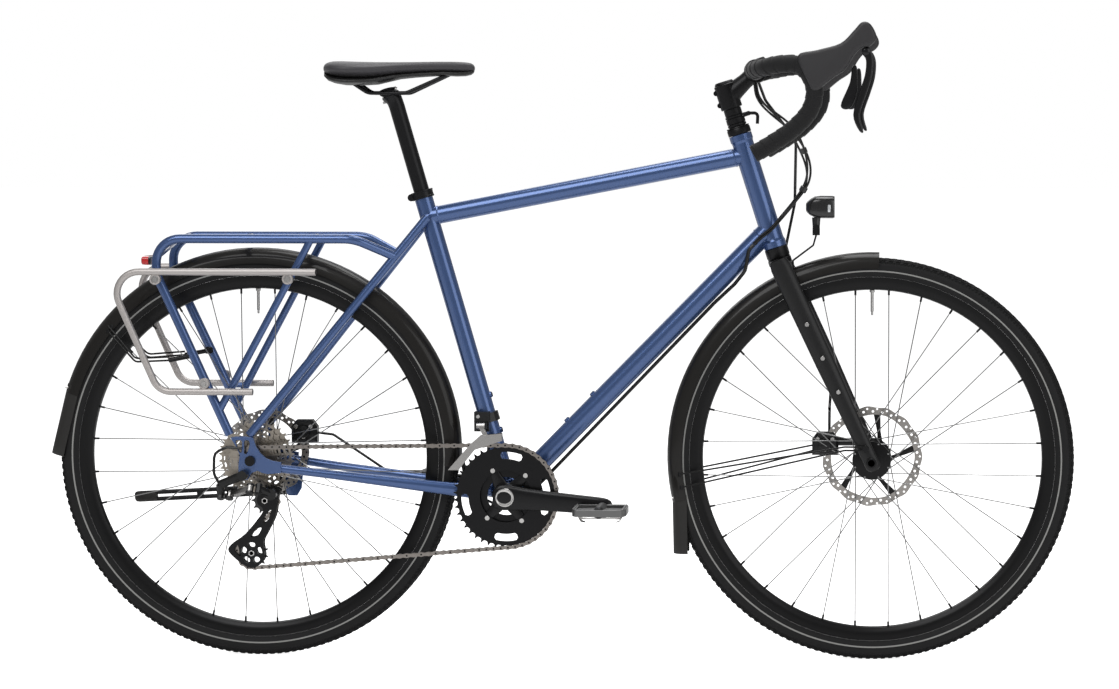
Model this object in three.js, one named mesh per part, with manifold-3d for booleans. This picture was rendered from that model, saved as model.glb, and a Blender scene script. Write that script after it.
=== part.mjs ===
// Touring bicycle: a diamond steel frame with a welded rear rack, drop bar, disc brakes, dynamo lights,
// mudguards, kickstand and a two by eleven derailleur drive.
// Lengths are millimetres. X points forwards, Y to the rider's left and Z up.
// The origin lies on the ground, below the middle of the bicycle's length.

import * as THREE from "three";
import { mergeVertices } from "three/addons/utils/BufferGeometryUtils.js";
import Module from "manifold-3d";

const wasm = await Module();
wasm.setup();

const DEG = Math.PI / 180;
const TURN = 2 * Math.PI;

// Driving dimensions of the whole bicycle
const wheelbase = 1072;
const wheel_radius = 350;
const chainstay_length = 444;
const bottom_bracket_drop = 63;
const seat_tube_length = 549;
const seat_tube_angle = 74 * DEG;
const head_tube_length = 205;
const head_tube_angle = 72.5 * DEG;
const fork_length = 380;
const fork_rake = 49;
const crank_length = 172.5;
const crank_angle = -4.5 * DEG;
const chainline = 46.6;
const rear_hub_width = 142;
const front_hub_width = 100;
const chain_pitch = 12.7;

// Clearances
const seat_gap = 0.3;
const turning_gap = 0.3;
const weld = 0.001;
const tolerance = 0.05;
const cut_overrun = 5;

// Frame tubes
const head_tube = { radius: 18.5, bore: 17, ring: 20, ring_height: 12 };
const top_tube = { radius: 15.9, below_seat_top: 47, below_head_top: 38 };
const down_tube = { radius: 18, above_head_bottom: 34 };
const seat_tube = { radius: 15.9, bore: 13.9, below_post: 110 };
const shell = { radius: 21, bore: 17.5, width: 68 };
const boss = { radius: 5.5, height: 3.5, spacing: 64 };
const bottle = { down_tube_share: 0.3, seat_tube_share: 0.26 };

// Stays and dropouts
const chainstay = {
  front_height: 13.5,
  front_width: 8,
  rear_radius: 7.5,
  front_spread: 25,
  rear_spread: 68,
  rear_ahead: 32,
  rear_drop: 12,
};
const seat_stay = { radius: 7.5, top_spread: 20, bottom_spread: 67, bottom_rise: 43, bottom_behind: 4 };
const dropout = { thickness: 7, rise: 40, span: 50, axle_hole: 6.3 };
const stay_bridge = { radius: 6, ahead_of_tyre: 20 };
const hanger = { behind: 11, drop: 24, radius: 9 };

// Rear rack and pannier side rails
const rack = {
  rail_radius: 8,
  strut_radius: 6.5,
  half_width: 60,
  rail_height: 383,
  rear_reach: 164,
  front_reach: 180,
  nose_reach: 244,
  nose_drop: 31,
  nose_spread: 29,
  corner_radius: 42,
  shoulder_drop: 62,
  foot_behind: 37,
  foot_rise: 44,
  foot_spread: 69,
  front_strut_ahead: 106,
  strut_meet_behind: 51,
  strut_meet_rise: 85,
  cross_rise: 118,
  rear_bar_behind: 132,
  middle_bar_behind: 20,
  front_bar_ahead: 96,
  end_bend: 60,
  bar_radius: 5,
  boss_radius: 6,
};
const side_rail = {
  radius: 6,
  half_width: 83,
  top_rise: 327,
  front_ahead: 118,
  rear_behind: 247,
  low_rise: 120,
  low_behind: 157,
  low_ahead: 7,
  upper_bend: 38,
  lower_bend: 33,
  ring_radius: 9.5,
  ring_height: 9,
};

// Wheels
const wheel_sides = 32;
const tyre = {
  half_width: 19.5,
  foot_radius: 312,
  foot_half_width: 8,
  shoulder_radius: 319,
  wide_share: 0.45,
  crown_share: 0.82,
  crown_width_share: 0.8,
};
const rim = { inner_radius: 294, bed_radius: 310, wall_radius: 318, half_width: 12.2, bed_half_width: 9 };
const spoke = { radius: 1.1, count: 32, hub_turn: 62 * DEG, hub_shift: 2, rim_shift: 1.4, seat: 0.8 };
const front_hub = { shell: 28, flange: 33, flange_spread: 27, cap: 9.5, thickness: 3 };
const rear_hub = { shell: 15, flange: 28, left_flange: 34, right_flange: 19, cap: 9.5, freehub: 15, thickness: 3 };
const axle = { radius: 6, bore: 6.5, head_radius: 9, head_length: 5 };
const rotor = { thickness: 1.8, band: 15, carrier: 24, arms: 5, lobes: 15, lobe_depth: 1.2, bore: 10.4 };
const front_rotor_inset = 13.2;
const rear_rotor_inset = 16.2;
const front_rotor_radius = 88;
const rear_rotor_radius = 76;
const valve = { radius: 3, length: 38 };

// Mudguards
const mudguard = { half_width: 24, depth: 27, wall: 1.6, wire: 1.75 };
const rear_guard = { radius: 356.5, rise: 9, start: -4 * DEG, end: 163 * DEG, flap: 112, flap_turn: 3 * DEG };
const guard_stay = {
  rise: 181,
  arm: 45,
  arm_inset: 6,
  arm_drop: 9,
  arm_radius: 4,
  elbow: 62,
  elbow_inset: 14,
  elbow_drop: 4,
  bend: 12,
  rear_angle: 141 * DEG,
  front_angle: 189 * DEG,
};
const front_guard = { radius: 356.5, rise: 3, start: 88 * DEG, end: 193 * DEG, flap: 90, flap_turn: -12 * DEG };

// Fork
const fork = {
  steerer: 14.3,
  crown_drop: 20,
  crown_half_length: 24,
  blade_spread: 44,
  blade_foot_spread: 57,
  blade_length: 18,
  blade_thickness: 9.5,
  foot_length: 13,
  foot_thickness: 6.5,
  foot_drop: 15,
  boss_spacing: 64,
  boss_radius: 4.5,
  boss_height: 2.5,
  first_boss_share: 0.36,
  guard_share: 0.72,
};

// Headset, stem and bar
const headset = { lower: 20.5, upper: 14.5, cup: 20.5, skirt: 16.6, skirt_depth: 10, bore: 15 };
const spacer = { height: 32, radius: 16.5, bell_share: 0.6 };
const stem = { clamp: 44, radius: 19, reach: 60, rise: 27, bar_radius: 20.5, bar_width: 42, cap: 5, neck: 14 };
const bar = { clamp_radius: 15.9, radius: 11.9, clamp_half: 30, taper: 25, tape_start: 62, steps: 16 };
const tape = { radius: 15.5, bore: 12.2 };
const bar_span = 100;
const bar_route_shares = [
  [0, 0, 0],
  [0, 0.4, 0],
  [0, 0.8, 0],
  [0, 1.15, 0],
  [0.06, 1.5, 0.01],
  [0.24, 1.85, 0.04],
  [0.5, 2.03, 0.09],
  [0.78, 2.08, 0.08],
  [0.98, 2.09, -0.09],
  [1.07, 2.1, -0.36],
  [0.99, 2.12, -0.68],
  [0.72, 2.14, -0.98],
  [0.34, 2.16, -1.24],
  [0.06, 2.17, -1.4],
];

// Brake and shift levers
const hood = { span: 100, width: 33, bevel: 8, beside: 211 };
const hood_outline_shares = [
  [0.79, 0.22],
  [1.12, 0.32],
  [1.5, 0.43],
  [1.72, 0.64],
  [1.85, 0.79],
  [1.98, 0.77],
  [2.08, 0.6],
  [2.08, 0.48],
  [1.98, 0.38],
  [1.86, 0.36],
  [1.74, 0.25],
  [1.58, 0.0],
  [1.38, -0.14],
  [1.22, -0.27],
  [1.1, -0.38],
  [1.04, -0.3],
];
const lever_span = 100;
const lever = { width: 12, bevel: 2, boss: 7, ear: 4, pin: 2.5, pivot_ahead: 192, pivot_up: 30 };
const lever_outline_shares = [
  [0, 0.07],
  [0.07, 0.04],
  [0.12, -0.12],
  [0.1, -0.4],
  [0.01, -0.7],
  [-0.1, -1.05],
  [-0.04, -1.33],
  [-0.12, -1.3],
  [-0.21, -1.05],
  [-0.12, -0.7],
  [-0.02, -0.4],
  [0, -0.15],
  [-0.06, -0.04],
];
const paddle = { width: 7, gap: 1.2, pin: 2, pivot_ahead: 172, pivot_up: -2 };
const paddle_outline_shares = [
  [-0.03, 0.06],
  [0.05, 0.05],
  [0.05, -0.35],
  [-0.06, -0.62],
  [-0.22, -0.58],
  [-0.07, -0.2],
];

// Bottom bracket and cranks
const cup = { radius: 22, width: 7, sleeve: 17.2, bore: 12.8 };
const spindle = { radius: 12, end_cap: 15 };
const arm = { boss: 23, neck: 16, eye: 14, thickness: 15, boss_thickness: 19, offset: 58, eye_offset: 70 };
const spider = { reach: 56, half_width: 8, thickness: 4, arm_angles: [117 * DEG, 47 * DEG, -57 * DEG, 229 * DEG] };
const ring = { thickness: 1.8, spacing: 6.6, large_teeth: 44, small_teeth: 30, tooth_rise: 2.4, tooth_drop: 3.8 };
const large_ring = { inner: 45, slot_radius: 72, slot_half_width: 5.5 };
const small_ring = { inner: 33 };
const ring_slots = [
  { middle: 82 * DEG, half: 15 * DEG },
  { middle: 0, half: 26 * DEG },
  { middle: 192 * DEG, half: 15 * DEG },
  { middle: 270 * DEG, half: 16 * DEG },
];
const ring_bolt = { radius: 3, at: 50 };
const pedal = { length: 92, width: 78, height: 12, wall: 7, sleeve: 10.5, axle: 6, gap: 8, clip: 26, clip_drop: 20 };

// Chain, cassette and derailleurs
const chain = { inner_width: 2.6, plate: 1.2, half_height: 3.6, pin: 2.2, straight_from_axle: 62, straight_from_ring: 55 };
const cog_teeth = [11, 12, 13, 14, 15, 17, 19, 21, 24, 28, 32];
const cog = { thickness: 1.6, spacing: 3.74, first_offset: 64.5, core: 18.2, bore: 16.2 };
const pulley = { upper_teeth: 11, lower_teeth: 13, thickness: 1.8, bore: 4.3, axle: 4, hub: 7 };
const upper_pulley = { ahead: 23, drop: 70 };
const lower_pulley = { behind: 1, drop: 161.5 };
const rear_mech = {
  link_rear: 35,
  link_length: 44,
  link_drop: 58,
  link_height: 11,
  link_thickness: 6,
  link_out: 82,
  slant: 35 * DEG,
  swing: 28 * DEG,
  pivot: 3,
  cage_pivot_ahead: 37,
  cage_pivot_drop: 57,
  plate: 2,
  plate_spread: 6.5,
};
const cage_span = 100;
const cage_outline_shares = [
  [0.5, -0.5],
  [0.47, -0.62],
  [0.42, -0.95],
  [0.27, -1.26],
  [0.2, -1.42],
  [0.22, -1.7],
  [0.06, -1.86],
  [-0.12, -1.84],
  [-0.4, -1.6],
  [-0.36, -1.46],
  [-0.12, -1.28],
  [0.12, -1.0],
  [0.2, -0.85],
  [0.1, -0.74],
  [0.12, -0.6],
  [0.27, -0.45],
];
const cage_windows_shares = [
  [[0.34, -0.86], [0.29, -1.02], [0.2, -1.08], [0.24, -0.94]],
  [[0.17, -1.17], [0.1, -1.3], [-0.02, -1.33], [0.06, -1.21]],
  [[-0.2, -1.45], [-0.3, -1.53], [-0.29, -1.6], [-0.16, -1.7], [-0.2, -1.58]],
];
const front_mech = {
  clamp_rise: 137,
  clamp_height: 16,
  clamp_radius: 20.5,
  body_behind: 44,
  body_rise: 128,
  body_length: 26,
  body_height: 34,
  body_width: 18,
  plate: 1.2,
  plate_spread: 5,
  pivot_rise: 122,
  hinge_offset: 44,
  eye_length: 14,
  eye_radius: 5,
  ear: 3,
  pin: 2.5,
  bridge_behind: 30,
  bridge_rise: 102,
  bridge_length: 24,
  tail_behind: 88.5,
  tail_rise: 49,
  spread_pin: 2,
};
const front_cage_shares = [
  [-0.06, 1.1],
  [-0.44, 1.06],
  [-0.6, 0.92],
  [-1.0, 0.46],
  [-0.82, 0.46],
  [-0.54, 0.81],
  [-0.06, 0.97],
];

// Brakes
const caliper = { length: 46, height: 40, inner: 7, outer: 17, slot: 4, bevel: 4, foot: 12 };
const front_caliper_place = { behind: 82, rise: 22 };
const rear_caliper_place = { ahead: 68, rise: 38 };

// Seat
const collar = { height: 14, radius: 19.5, ear: 9 };
const seatpost = { radius: 13.6, in_tube: 150, out: 165, head_width: 40, head_radius: 9, lug: 13, setback: 6 };
const saddle = { length: 262, width: 142, nose_width: 36, above_post: 55, behind_post: 112, rail: 3.5, rail_spread: 22 };
const saddle_stations_shares = [
  { x: 0, wide: 0.2, top: 0.6, low: 0.2 },
  { x: 0.02, wide: 0.62, top: 0.92, low: -0.22 },
  { x: 0.08, wide: 0.92, top: 1, low: -0.5 },
  { x: 0.2, wide: 1, top: 0.99, low: -0.62 },
  { x: 0.33, wide: 0.86, top: 0.97, low: -0.6 },
  { x: 0.52, wide: 0.46, top: 0.98, low: -0.18 },
  { x: 0.78, wide: 0.28, top: 1.03, low: 0.02 },
  { x: 0.92, wide: 0.25, top: 1, low: -0.05 },
  { x: 0.985, wide: 0.18, top: 0.85, low: 0.1 },
  { x: 1, wide: 0.06, top: 0.6, low: 0.35 },
];
const saddle_height = 26;
const saddle_tilt = 10 * DEG;
const head_groove = 30;

// Kickstand
const stand = {
  pivot_ahead: 43,
  pivot_drop: 68,
  beside: 80,
  length: 288,
  rod: 4,
  rod_gap: 13,
  foot: 9,
  foot_length: 40,
  hub: 11,
  hub_inner: 5.5,
  hub_outer: 8,
  pin: 4,
  pin_inner: 11.5,
  pin_outer: 11.5,
};
const stand_splay = 17 * DEG;
const stand_droop = 3.5 * DEG;

// Lights and bell
const lamp = { ahead: 68, rise: 99, length: 50, height: 40, width: 48, lens: 5 };
const lamp_bracket = { thickness: 3, width: 18, pivot_behind: 7, pivot_drop: 36, elbow_ahead: 56, elbow_rise: 33, foot_drop: 1, eye: 6.5, pin: 3 };
const rear_lamp = { length: 20, height: 17, width: 54, behind: 190, rise: 343 };
const bell = { thickness: 4, pin: 1.5, height: 22, length: 16 };

// Hoses and cables
const hose = { radius: 2.5, sides: 8 };
const bundle = { radius: 4, sides: 8 };
const frame_bundle = { radius: 3.2 };

// Finishes
const finish = (color, roughness, metalness) => new THREE.MeshStandardMaterial({ color, roughness, metalness });
const frame_blue = () => finish(0x34558f, 0.35, 0.6);
const satin_black = () => finish(0x1b1c1e, 0.55, 0.2);
const rubber_black = () => finish(0x141414, 0.9, 0);
const silver_grey = () => finish(0x9d9892, 0.4, 0.8);
const steel = () => finish(0x8d877e, 0.35, 1);
const clear_lens = () => finish(0xe8ecee, 0.1, 0);
const red_lens = () => finish(0xc4141a, 0.25, 0);

// Places that follow from the driving dimensions
const right = -1;
const left = 1;
const place = (x, y, z) => new THREE.Vector3(x, y, z);
const along_x = place(1, 0, 0);
const along_y = place(0, 1, 0);
const along_z = place(0, 0, 1);
const flap_angle = rear_guard.end + 90 * DEG + rear_guard.flap_turn;
const flap_reach = -rear_guard.radius * Math.cos(rear_guard.end) - rear_guard.flap * Math.cos(flap_angle);
const length_middle = (wheelbase + wheel_radius - flap_reach) / 2;
const rear_axle = place(-length_middle, 0, wheel_radius);
const front_axle = place(wheelbase - length_middle, 0, wheel_radius);
const chainstay_run = Math.sqrt(chainstay_length ** 2 - bottom_bracket_drop ** 2);
const bracket = place(rear_axle.x + chainstay_run, 0, wheel_radius - bottom_bracket_drop);
const seat_up = place(-Math.cos(seat_tube_angle), 0, Math.sin(seat_tube_angle));
const seat_back = place(-Math.sin(seat_tube_angle), 0, -Math.cos(seat_tube_angle));
const head_up = place(-Math.cos(head_tube_angle), 0, Math.sin(head_tube_angle));
const head_ahead = place(Math.sin(head_tube_angle), 0, Math.cos(head_tube_angle));
const seat_top = along(bracket, seat_up, seat_tube_length);
const crown_race = along(along(front_axle, head_ahead, -fork_rake), head_up, fork_length);
const head_bottom = along(crown_race, head_up, headset.lower);
const head_top = along(head_bottom, head_up, head_tube_length);
const stem_bottom = along(head_top, head_up, headset.upper + spacer.height);
const stem_middle = along(stem_bottom, head_up, stem.clamp / 2);
const bar_centre = along(along(stem_middle, head_ahead, stem.reach), head_up, stem.rise);
const top_tube_rear = along(seat_top, seat_up, -top_tube.below_seat_top);
const top_tube_front = along(head_top, head_up, -top_tube.below_head_top);
const down_tube_front = along(head_bottom, head_up, down_tube.above_head_bottom);
const large_ring_offset = chainline + ring.spacing / 2;
const small_ring_offset = chainline - ring.spacing / 2;
const front_rotor_offset = front_hub_width / 2 - front_rotor_inset;
const rear_rotor_offset = rear_hub_width / 2 - rear_rotor_inset;
const dropout_inner = rear_hub_width / 2;
const dropout_outer = dropout_inner + dropout.thickness;

// A point at a distance from another along a direction.
function along(point, direction, distance) {
  return point.clone().addScaledVector(direction, distance);
}

// A point beside a given one.
function beside(point, x, y, z) {
  return point.clone().add(place(x, y, z));
}

// A closed geometry as a solid that can be joined and cut, with its faces turned outwards.
function solid(geometry) {
  if (!geometry.isBufferGeometry) return geometry;
  const loose = geometry.index ? geometry.toNonIndexed() : geometry;
  const bare = new THREE.BufferGeometry().setAttribute("position", loose.getAttribute("position"));
  const merged = mergeVertices(bare, weld);
  const triVerts = new Uint32Array(merged.index.array);
  const vertProperties = merged.attributes.position.array;
  const made = new wasm.Manifold(new wasm.Mesh({ numProp: 3, vertProperties, triVerts }));
  if (made.volume() > 0) return made;
  triVerts.reverse();
  return new wasm.Manifold(new wasm.Mesh({ numProp: 3, vertProperties, triVerts }));
}

function join(...pieces) {
  return pieces.flat().map(solid).reduce((whole, piece) => whole.add(piece));
}

function cut(piece, ...tools) {
  return tools.flat().map(solid).reduce((whole, tool) => whole.subtract(tool), solid(piece));
}

// A solid's surface as a geometry.
function surface(shape) {
  const mesh = shape.getMesh();
  const geometry = new THREE.BufferGeometry();
  geometry.setAttribute("position", new THREE.BufferAttribute(new Float32Array(mesh.vertProperties), 3));
  geometry.setIndex(new THREE.BufferAttribute(new Uint32Array(mesh.triVerts), 1));
  geometry.computeVertexNormals();
  return geometry;
}

// The same piece on the other side of the bicycle.
function mirrored(piece) {
  return surface(solid(piece)).scale(1, -1, 1);
}

function onSide(side, piece) {
  return side === right ? mirrored(piece) : piece;
}

// A straight round bar or cone between two points.
function rod(from, to, radius, { end = radius, sides = 10 } = {}) {
  const way = to.clone().sub(from).normalize();
  const wide = Math.abs(way.y) > Math.abs(way.x) + Math.abs(way.z) ? along_x : along_y;
  const tall = new THREE.Vector3().crossVectors(way, wide).normalize();
  const across = new THREE.Vector3().crossVectors(tall, way);
  return loft([[from, radius], [to, end]].map(([centre, size]) => oval(centre, across, size, tall, size, sides)));
}

// A round bar along Y.
function cross(point, from, to, radius, options) {
  return rod(place(point.x, from, point.z), place(point.x, to, point.z), radius, options);
}

function block(middle, length, width, height) {
  return new THREE.BoxGeometry(length, width, height).translate(middle.x, middle.y, middle.z);
}

// A flat piece whose outline lies in the X-Z plane, with its middle at the given Y.
function plate(outline, thickness, y, { holes = [], bevel = 0 } = {}) {
  const shape = new THREE.Shape(THREE.ShapeUtils.isClockWise(outline) ? outline.toReversed() : outline);
  holes.forEach((hole) => shape.holes.push(new THREE.Path(hole)));
  const geometry = new THREE.ExtrudeGeometry(shape, {
    depth: thickness - 2 * bevel,
    bevelEnabled: bevel > 0,
    bevelThickness: bevel,
    bevelSize: bevel,
    bevelOffset: -bevel,
    bevelSegments: 1,
    curveSegments: 3,
  });
  return geometry.translate(0, 0, bevel - thickness / 2).rotateX(90 * DEG).translate(0, y, 0);
}

// Outline points from shares of a span, counted from an anchor.
function outlined(shares, span, anchor) {
  return shares.map(([x, z]) => new THREE.Vector2(anchor.x + x * span, anchor.z + z * span));
}

function circle(centre, radius, sides, turn = 0) {
  return Array.from({ length: sides }, (_, i) => {
    const angle = turn + (TURN * i) / sides;
    return new THREE.Vector2(centre.x + radius * Math.cos(angle), centre.z + radius * Math.sin(angle));
  });
}

// A curve that is sampled only at its own stations.
class Route extends THREE.Curve {
  constructor(stations, tangents) {
    super();
    this.stations = stations;
    this.tangents = tangents;
  }
  getUtoTmapping(u) {
    return u;
  }
  getPoint(t, target = place(0, 0, 0)) {
    return target.copy(this.stations[Math.round(t * (this.stations.length - 1))]);
  }
  getTangent(t, target = place(0, 0, 0)) {
    return target.copy(this.tangents[Math.round(t * (this.stations.length - 1))]);
  }
}

// A wire bent round its corners, each corner an arc.
function bent(corners, radius, steps) {
  const stations = [corners[0]];
  const tangents = [corners[1].clone().sub(corners[0]).normalize()];
  for (let i = 1; i < corners.length - 1; i++) {
    const before = corners[i].clone().sub(corners[i - 1]).normalize();
    const after = corners[i + 1].clone().sub(corners[i]).normalize();
    const angle = before.angleTo(after);
    const bend = Array.isArray(radius) ? radius[i - 1] : radius;
    const inward = after.clone().addScaledVector(before, -before.dot(after)).normalize();
    const start = along(corners[i], before, -bend * Math.tan(angle / 2));
    for (let k = 0; k <= steps; k++) {
      const turned = (angle * k) / steps;
      const point = along(along(start, before, bend * Math.sin(turned)), inward, bend * (1 - Math.cos(turned)));
      stations.push(point);
      tangents.push(before.clone().multiplyScalar(Math.cos(turned)).addScaledVector(inward, Math.sin(turned)));
    }
  }
  stations.push(corners.at(-1));
  tangents.push(corners.at(-1).clone().sub(corners.at(-2)).normalize());
  return new Route(stations, tangents);
}

// A smooth curve through points, with evenly spaced stations.
function smooth(points, steps) {
  const curve = new THREE.CatmullRomCurve3(points, false, "centripetal");
  const shares = Array.from({ length: steps + 1 }, (_, i) => i / steps);
  return new Route(shares.map((u) => curve.getPointAt(u)), shares.map((u) => curve.getTangentAt(u)));
}

// The part of a route from one station to its end.
function routeFrom(route, first) {
  return new Route(route.stations.slice(first), route.tangents.slice(first));
}

function roundSection(radius, sides, bore = 0, bore_sides = sides) {
  const ring_of = (size, count) => circle(place(0, 0, 0), size, count);
  const section = new THREE.Shape(ring_of(radius, sides));
  if (bore) section.holes.push(new THREE.Path(ring_of(bore, bore_sides)));
  return section;
}

function swept(section, route) {
  const steps = route.stations.length - 1;
  return new THREE.ExtrudeGeometry(section, { steps, extrudePath: route, bevelEnabled: false, curveSegments: 3 });
}

function tube(route, radius, sides = 8) {
  return swept(roundSection(radius, sides), route);
}

// A skin over rings of equally many points, closed at both ends.
function loft(rings) {
  const sides = rings[0].length;
  const points = rings.flat();
  const faces = [];
  for (let r = 0; r < rings.length - 1; r++)
    for (let s = 0; s < sides; s++) {
      const [a, b] = [r * sides + s, r * sides + ((s + 1) % sides)];
      faces.push(a, b, b + sides, a, b + sides, a + sides);
    }
  const last = (rings.length - 1) * sides;
  for (let s = 1; s < sides - 1; s++) faces.push(0, s + 1, s, last, last + s, last + s + 1);
  const geometry = new THREE.BufferGeometry().setFromPoints(points);
  geometry.setIndex(faces);
  return geometry;
}

// An oval ring round a point, with half sizes along two directions.
function oval(centre, wide, half_wide, tall, half_tall, sides = 10, power = 1) {
  const bulge = (value) => Math.sign(value) * Math.abs(value) ** power;
  return Array.from({ length: sides }, (_, i) => {
    const angle = (TURN * (i + 0.5)) / sides;
    return along(
      along(centre, wide, half_wide * bulge(Math.cos(angle))),
      tall,
      half_tall * bulge(Math.sin(angle)),
    );
  });
}

// A ring turned about the wheel's own axis, from radius and side offset pairs, with a flat facet on the ground.
function turned(profile, centre, sides = wheel_sides) {
  const reach = 1 / Math.cos(Math.PI / wheel_sides);
  const scale = sides === wheel_sides ? reach : 1;
  const points = profile.map(([radius, y]) => new THREE.Vector2(radius * scale, y));
  const open = profile[0][0] > 0;
  if (open) points.push(points[0].clone());
  return new THREE.LatheGeometry(points, sides, Math.PI / sides).translate(centre.x, centre.y, centre.z);
}

// The pitch radius of a toothed wheel.
function pitchRadius(teeth) {
  return chain_pitch / (2 * Math.sin(Math.PI / teeth));
}

// The outline of a toothed wheel, with pointed teeth.
function toothed(centre, teeth) {
  const pitch = pitchRadius(teeth);
  const shares = [[0, 0], [0.5, 1]];
  return Array.from({ length: teeth }, (_, tooth) =>
    shares.map(([turn_share, rise_share]) => {
      const angle = (TURN * (tooth + turn_share)) / teeth;
      const radius = pitch - ring.tooth_drop + rise_share * (ring.tooth_drop + ring.tooth_rise);
      return new THREE.Vector2(centre.x + radius * Math.cos(angle), centre.z + radius * Math.sin(angle));
    }),
  ).flat();
}

// A slot along an arc, as an outline.
function arcSlot(centre, radius, half_width, middle, half, steps = 3) {
  const points = [];
  for (const [side, from, to] of [[1, -1, 1], [-1, 1, -1]])
    for (let k = 0; k <= steps; k++) {
      const angle = middle + half * (from + ((to - from) * k) / steps);
      const reach = radius + side * half_width;
      points.push(new THREE.Vector2(centre.x + reach * Math.cos(angle), centre.z + reach * Math.sin(angle)));
    }
  return points;
}

const bicycle = new THREE.Group();

function add(name, shape, material) {
  const mesh = new THREE.Mesh(surface(solid(shape).simplify(tolerance)), material);
  mesh.name = name;
  bicycle.add(mesh);
  return mesh;
}

// Main frame: the welded tubes of the front triangle with the bottom bracket shell and the bottle bosses
const down_tube_run = down_tube_front.clone().sub(bracket);
const down_tube_way = down_tube_run.clone().normalize();
const down_tube_over = place(-down_tube_way.z, 0, down_tube_way.x);
const down_tube_boss = along(bracket, down_tube_run, bottle.down_tube_share);
const seat_tube_boss = along(bracket, seat_up, seat_tube_length * bottle.seat_tube_share);

function bossPair(middle, way, over, tube_radius) {
  return [-0.5, 0.5].map((share) => {
    const foot = along(middle, way, share * boss.spacing);
    return rod(foot, along(foot, over, tube_radius + boss.height), boss.radius, { sides: 6 });
  });
}

function mainFrame() {
  const head_ring = (from, way) => rod(from, along(from, way, head_tube.ring_height), head_tube.ring, { sides: 12 });
  const half_shell = shell.width / 2;
  const tubes = join(
    rod(head_bottom, head_top, head_tube.radius, { sides: 12 }),
    head_ring(head_bottom, head_up),
    head_ring(head_top, head_up.clone().negate()),
    rod(top_tube_rear, top_tube_front, top_tube.radius, { sides: 12 }),
    rod(bracket, down_tube_front, down_tube.radius, { sides: 12 }),
    rod(bracket, seat_top, seat_tube.radius, { sides: 12 }),
    cross(bracket, -half_shell, half_shell, shell.radius, { sides: 12 }),
    bossPair(down_tube_boss, down_tube_way, down_tube_over, down_tube.radius),
    bossPair(seat_tube_boss, seat_up, seat_back.clone().negate(), seat_tube.radius),
  );
  const bore_foot = along(seat_top, seat_up, -seatpost.in_tube - seat_tube.below_post);
  return cut(
    tubes,
    rod(along(head_bottom, head_up, -cut_overrun), along(head_top, head_up, cut_overrun), head_tube.bore, { sides: 12 }),
    rod(bore_foot, along(seat_top, seat_up, cut_overrun), seat_tube.bore, { sides: 12 }),
    cross(bracket, -half_shell - cut_overrun, half_shell + cut_overrun, shell.bore, { sides: 12 }),
  );
}

// Stays: one side's seat stay, chainstay and dropout, welded to the main frame
const dropout_span = 50;
const dropout_outline_shares = [
  [-0.68, 0.8],
  [0.1, 0.8],
  [0.2, 0.5],
  [0.56, 0.08],
  [1.06, -0.08],
  [1.06, -0.42],
  [0.6, -0.46],
  [0.25, -0.34],
  [0, -0.4],
  [-0.06, -0.64],
  [-0.38, -0.64],
  [-0.42, -0.2],
  [-0.36, 0.2],
];
const dropout_windows_shares = [
  [[-0.5, 0.66], [-0.48, 0.7], [-0.3, 0.7], [-0.3, 0.3], [-0.36, 0.3]],
  [[-0.21, 0.68], [-0.05, 0.69], [-0.02, 0.56], [-0.1, 0.28], [-0.22, 0.27]],
];
const seat_stay_top = beside(top_tube_rear, 0, seat_stay.top_spread, 0);
const seat_stay_foot = beside(rear_axle, -seat_stay.bottom_behind, seat_stay.bottom_spread, seat_stay.bottom_rise);
const chainstay_front = beside(bracket, -shell.radius * 0.7, chainstay.front_spread, 0);
const chainstay_rear = beside(rear_axle, chainstay.rear_ahead, chainstay.rear_spread, -chainstay.rear_drop);
const dropout_middle = dropout_inner + dropout.thickness / 2;

// A point on the chainstay's centre line, on the left, at an X between its ends.
function onChainstay(x) {
  return chainstay_front.clone().lerp(chainstay_rear, (chainstay_front.x - x) / (chainstay_front.x - chainstay_rear.x));
}

function chainstayTube() {
  const stations = [0, 0.45, 0.8, 1];
  return loft(
    stations.map((share) => {
      const size = Math.min(1, share / 0.8);
      const tall = THREE.MathUtils.lerp(chainstay.front_height, chainstay.rear_radius, size);
      const wide = THREE.MathUtils.lerp(chainstay.front_width, chainstay.rear_radius, size);
      const centre = chainstay_front.clone().lerp(chainstay_rear, share);
      return oval(centre, along_y, wide, along_z, tall, 12);
    }),
  );
}

function dropoutPlate() {
  return plate(outlined(dropout_outline_shares, dropout_span, rear_axle), dropout.thickness, dropout_middle, {
    holes: dropout_windows_shares.map((shares) => outlined(shares, dropout_span, rear_axle)),
  });
}

function stayBridge() {
  const bridge = onChainstay(rear_axle.x + wheel_radius + stay_bridge.ahead_of_tyre);
  return cross(bridge, 0, bridge.y, stay_bridge.radius, { sides: 8 });
}

function stays() {
  const welded = join(
    chainstayTube(),
    rod(seat_stay_foot, seat_stay_top, seat_stay.radius, { sides: 12 }),
    dropoutPlate(),
    stayBridge(),
  );
  const half_shell = shell.width / 2;
  return cut(
    welded,
    cross(bracket, -half_shell - cut_overrun, half_shell + cut_overrun, shell.radius + seat_gap, { sides: 12 }),
    rod(bracket, along(seat_top, seat_up, cut_overrun), seat_tube.radius + seat_gap, { sides: 12 }),
    rod(top_tube_rear, top_tube_front, top_tube.radius + seat_gap, { sides: 12 }),
    block(bracket, chainstay_length * 2, seat_gap, wheel_radius),
    cross(rear_axle, dropout_inner - cut_overrun, dropout_outer + cut_overrun, dropout.axle_hole, { sides: 12 }),
  );
}

// The left stays also carry the kickstand's mount plate.
const stand_pivot = beside(rear_axle, stand.pivot_ahead, stand.beside, -stand.pivot_drop);

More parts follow.
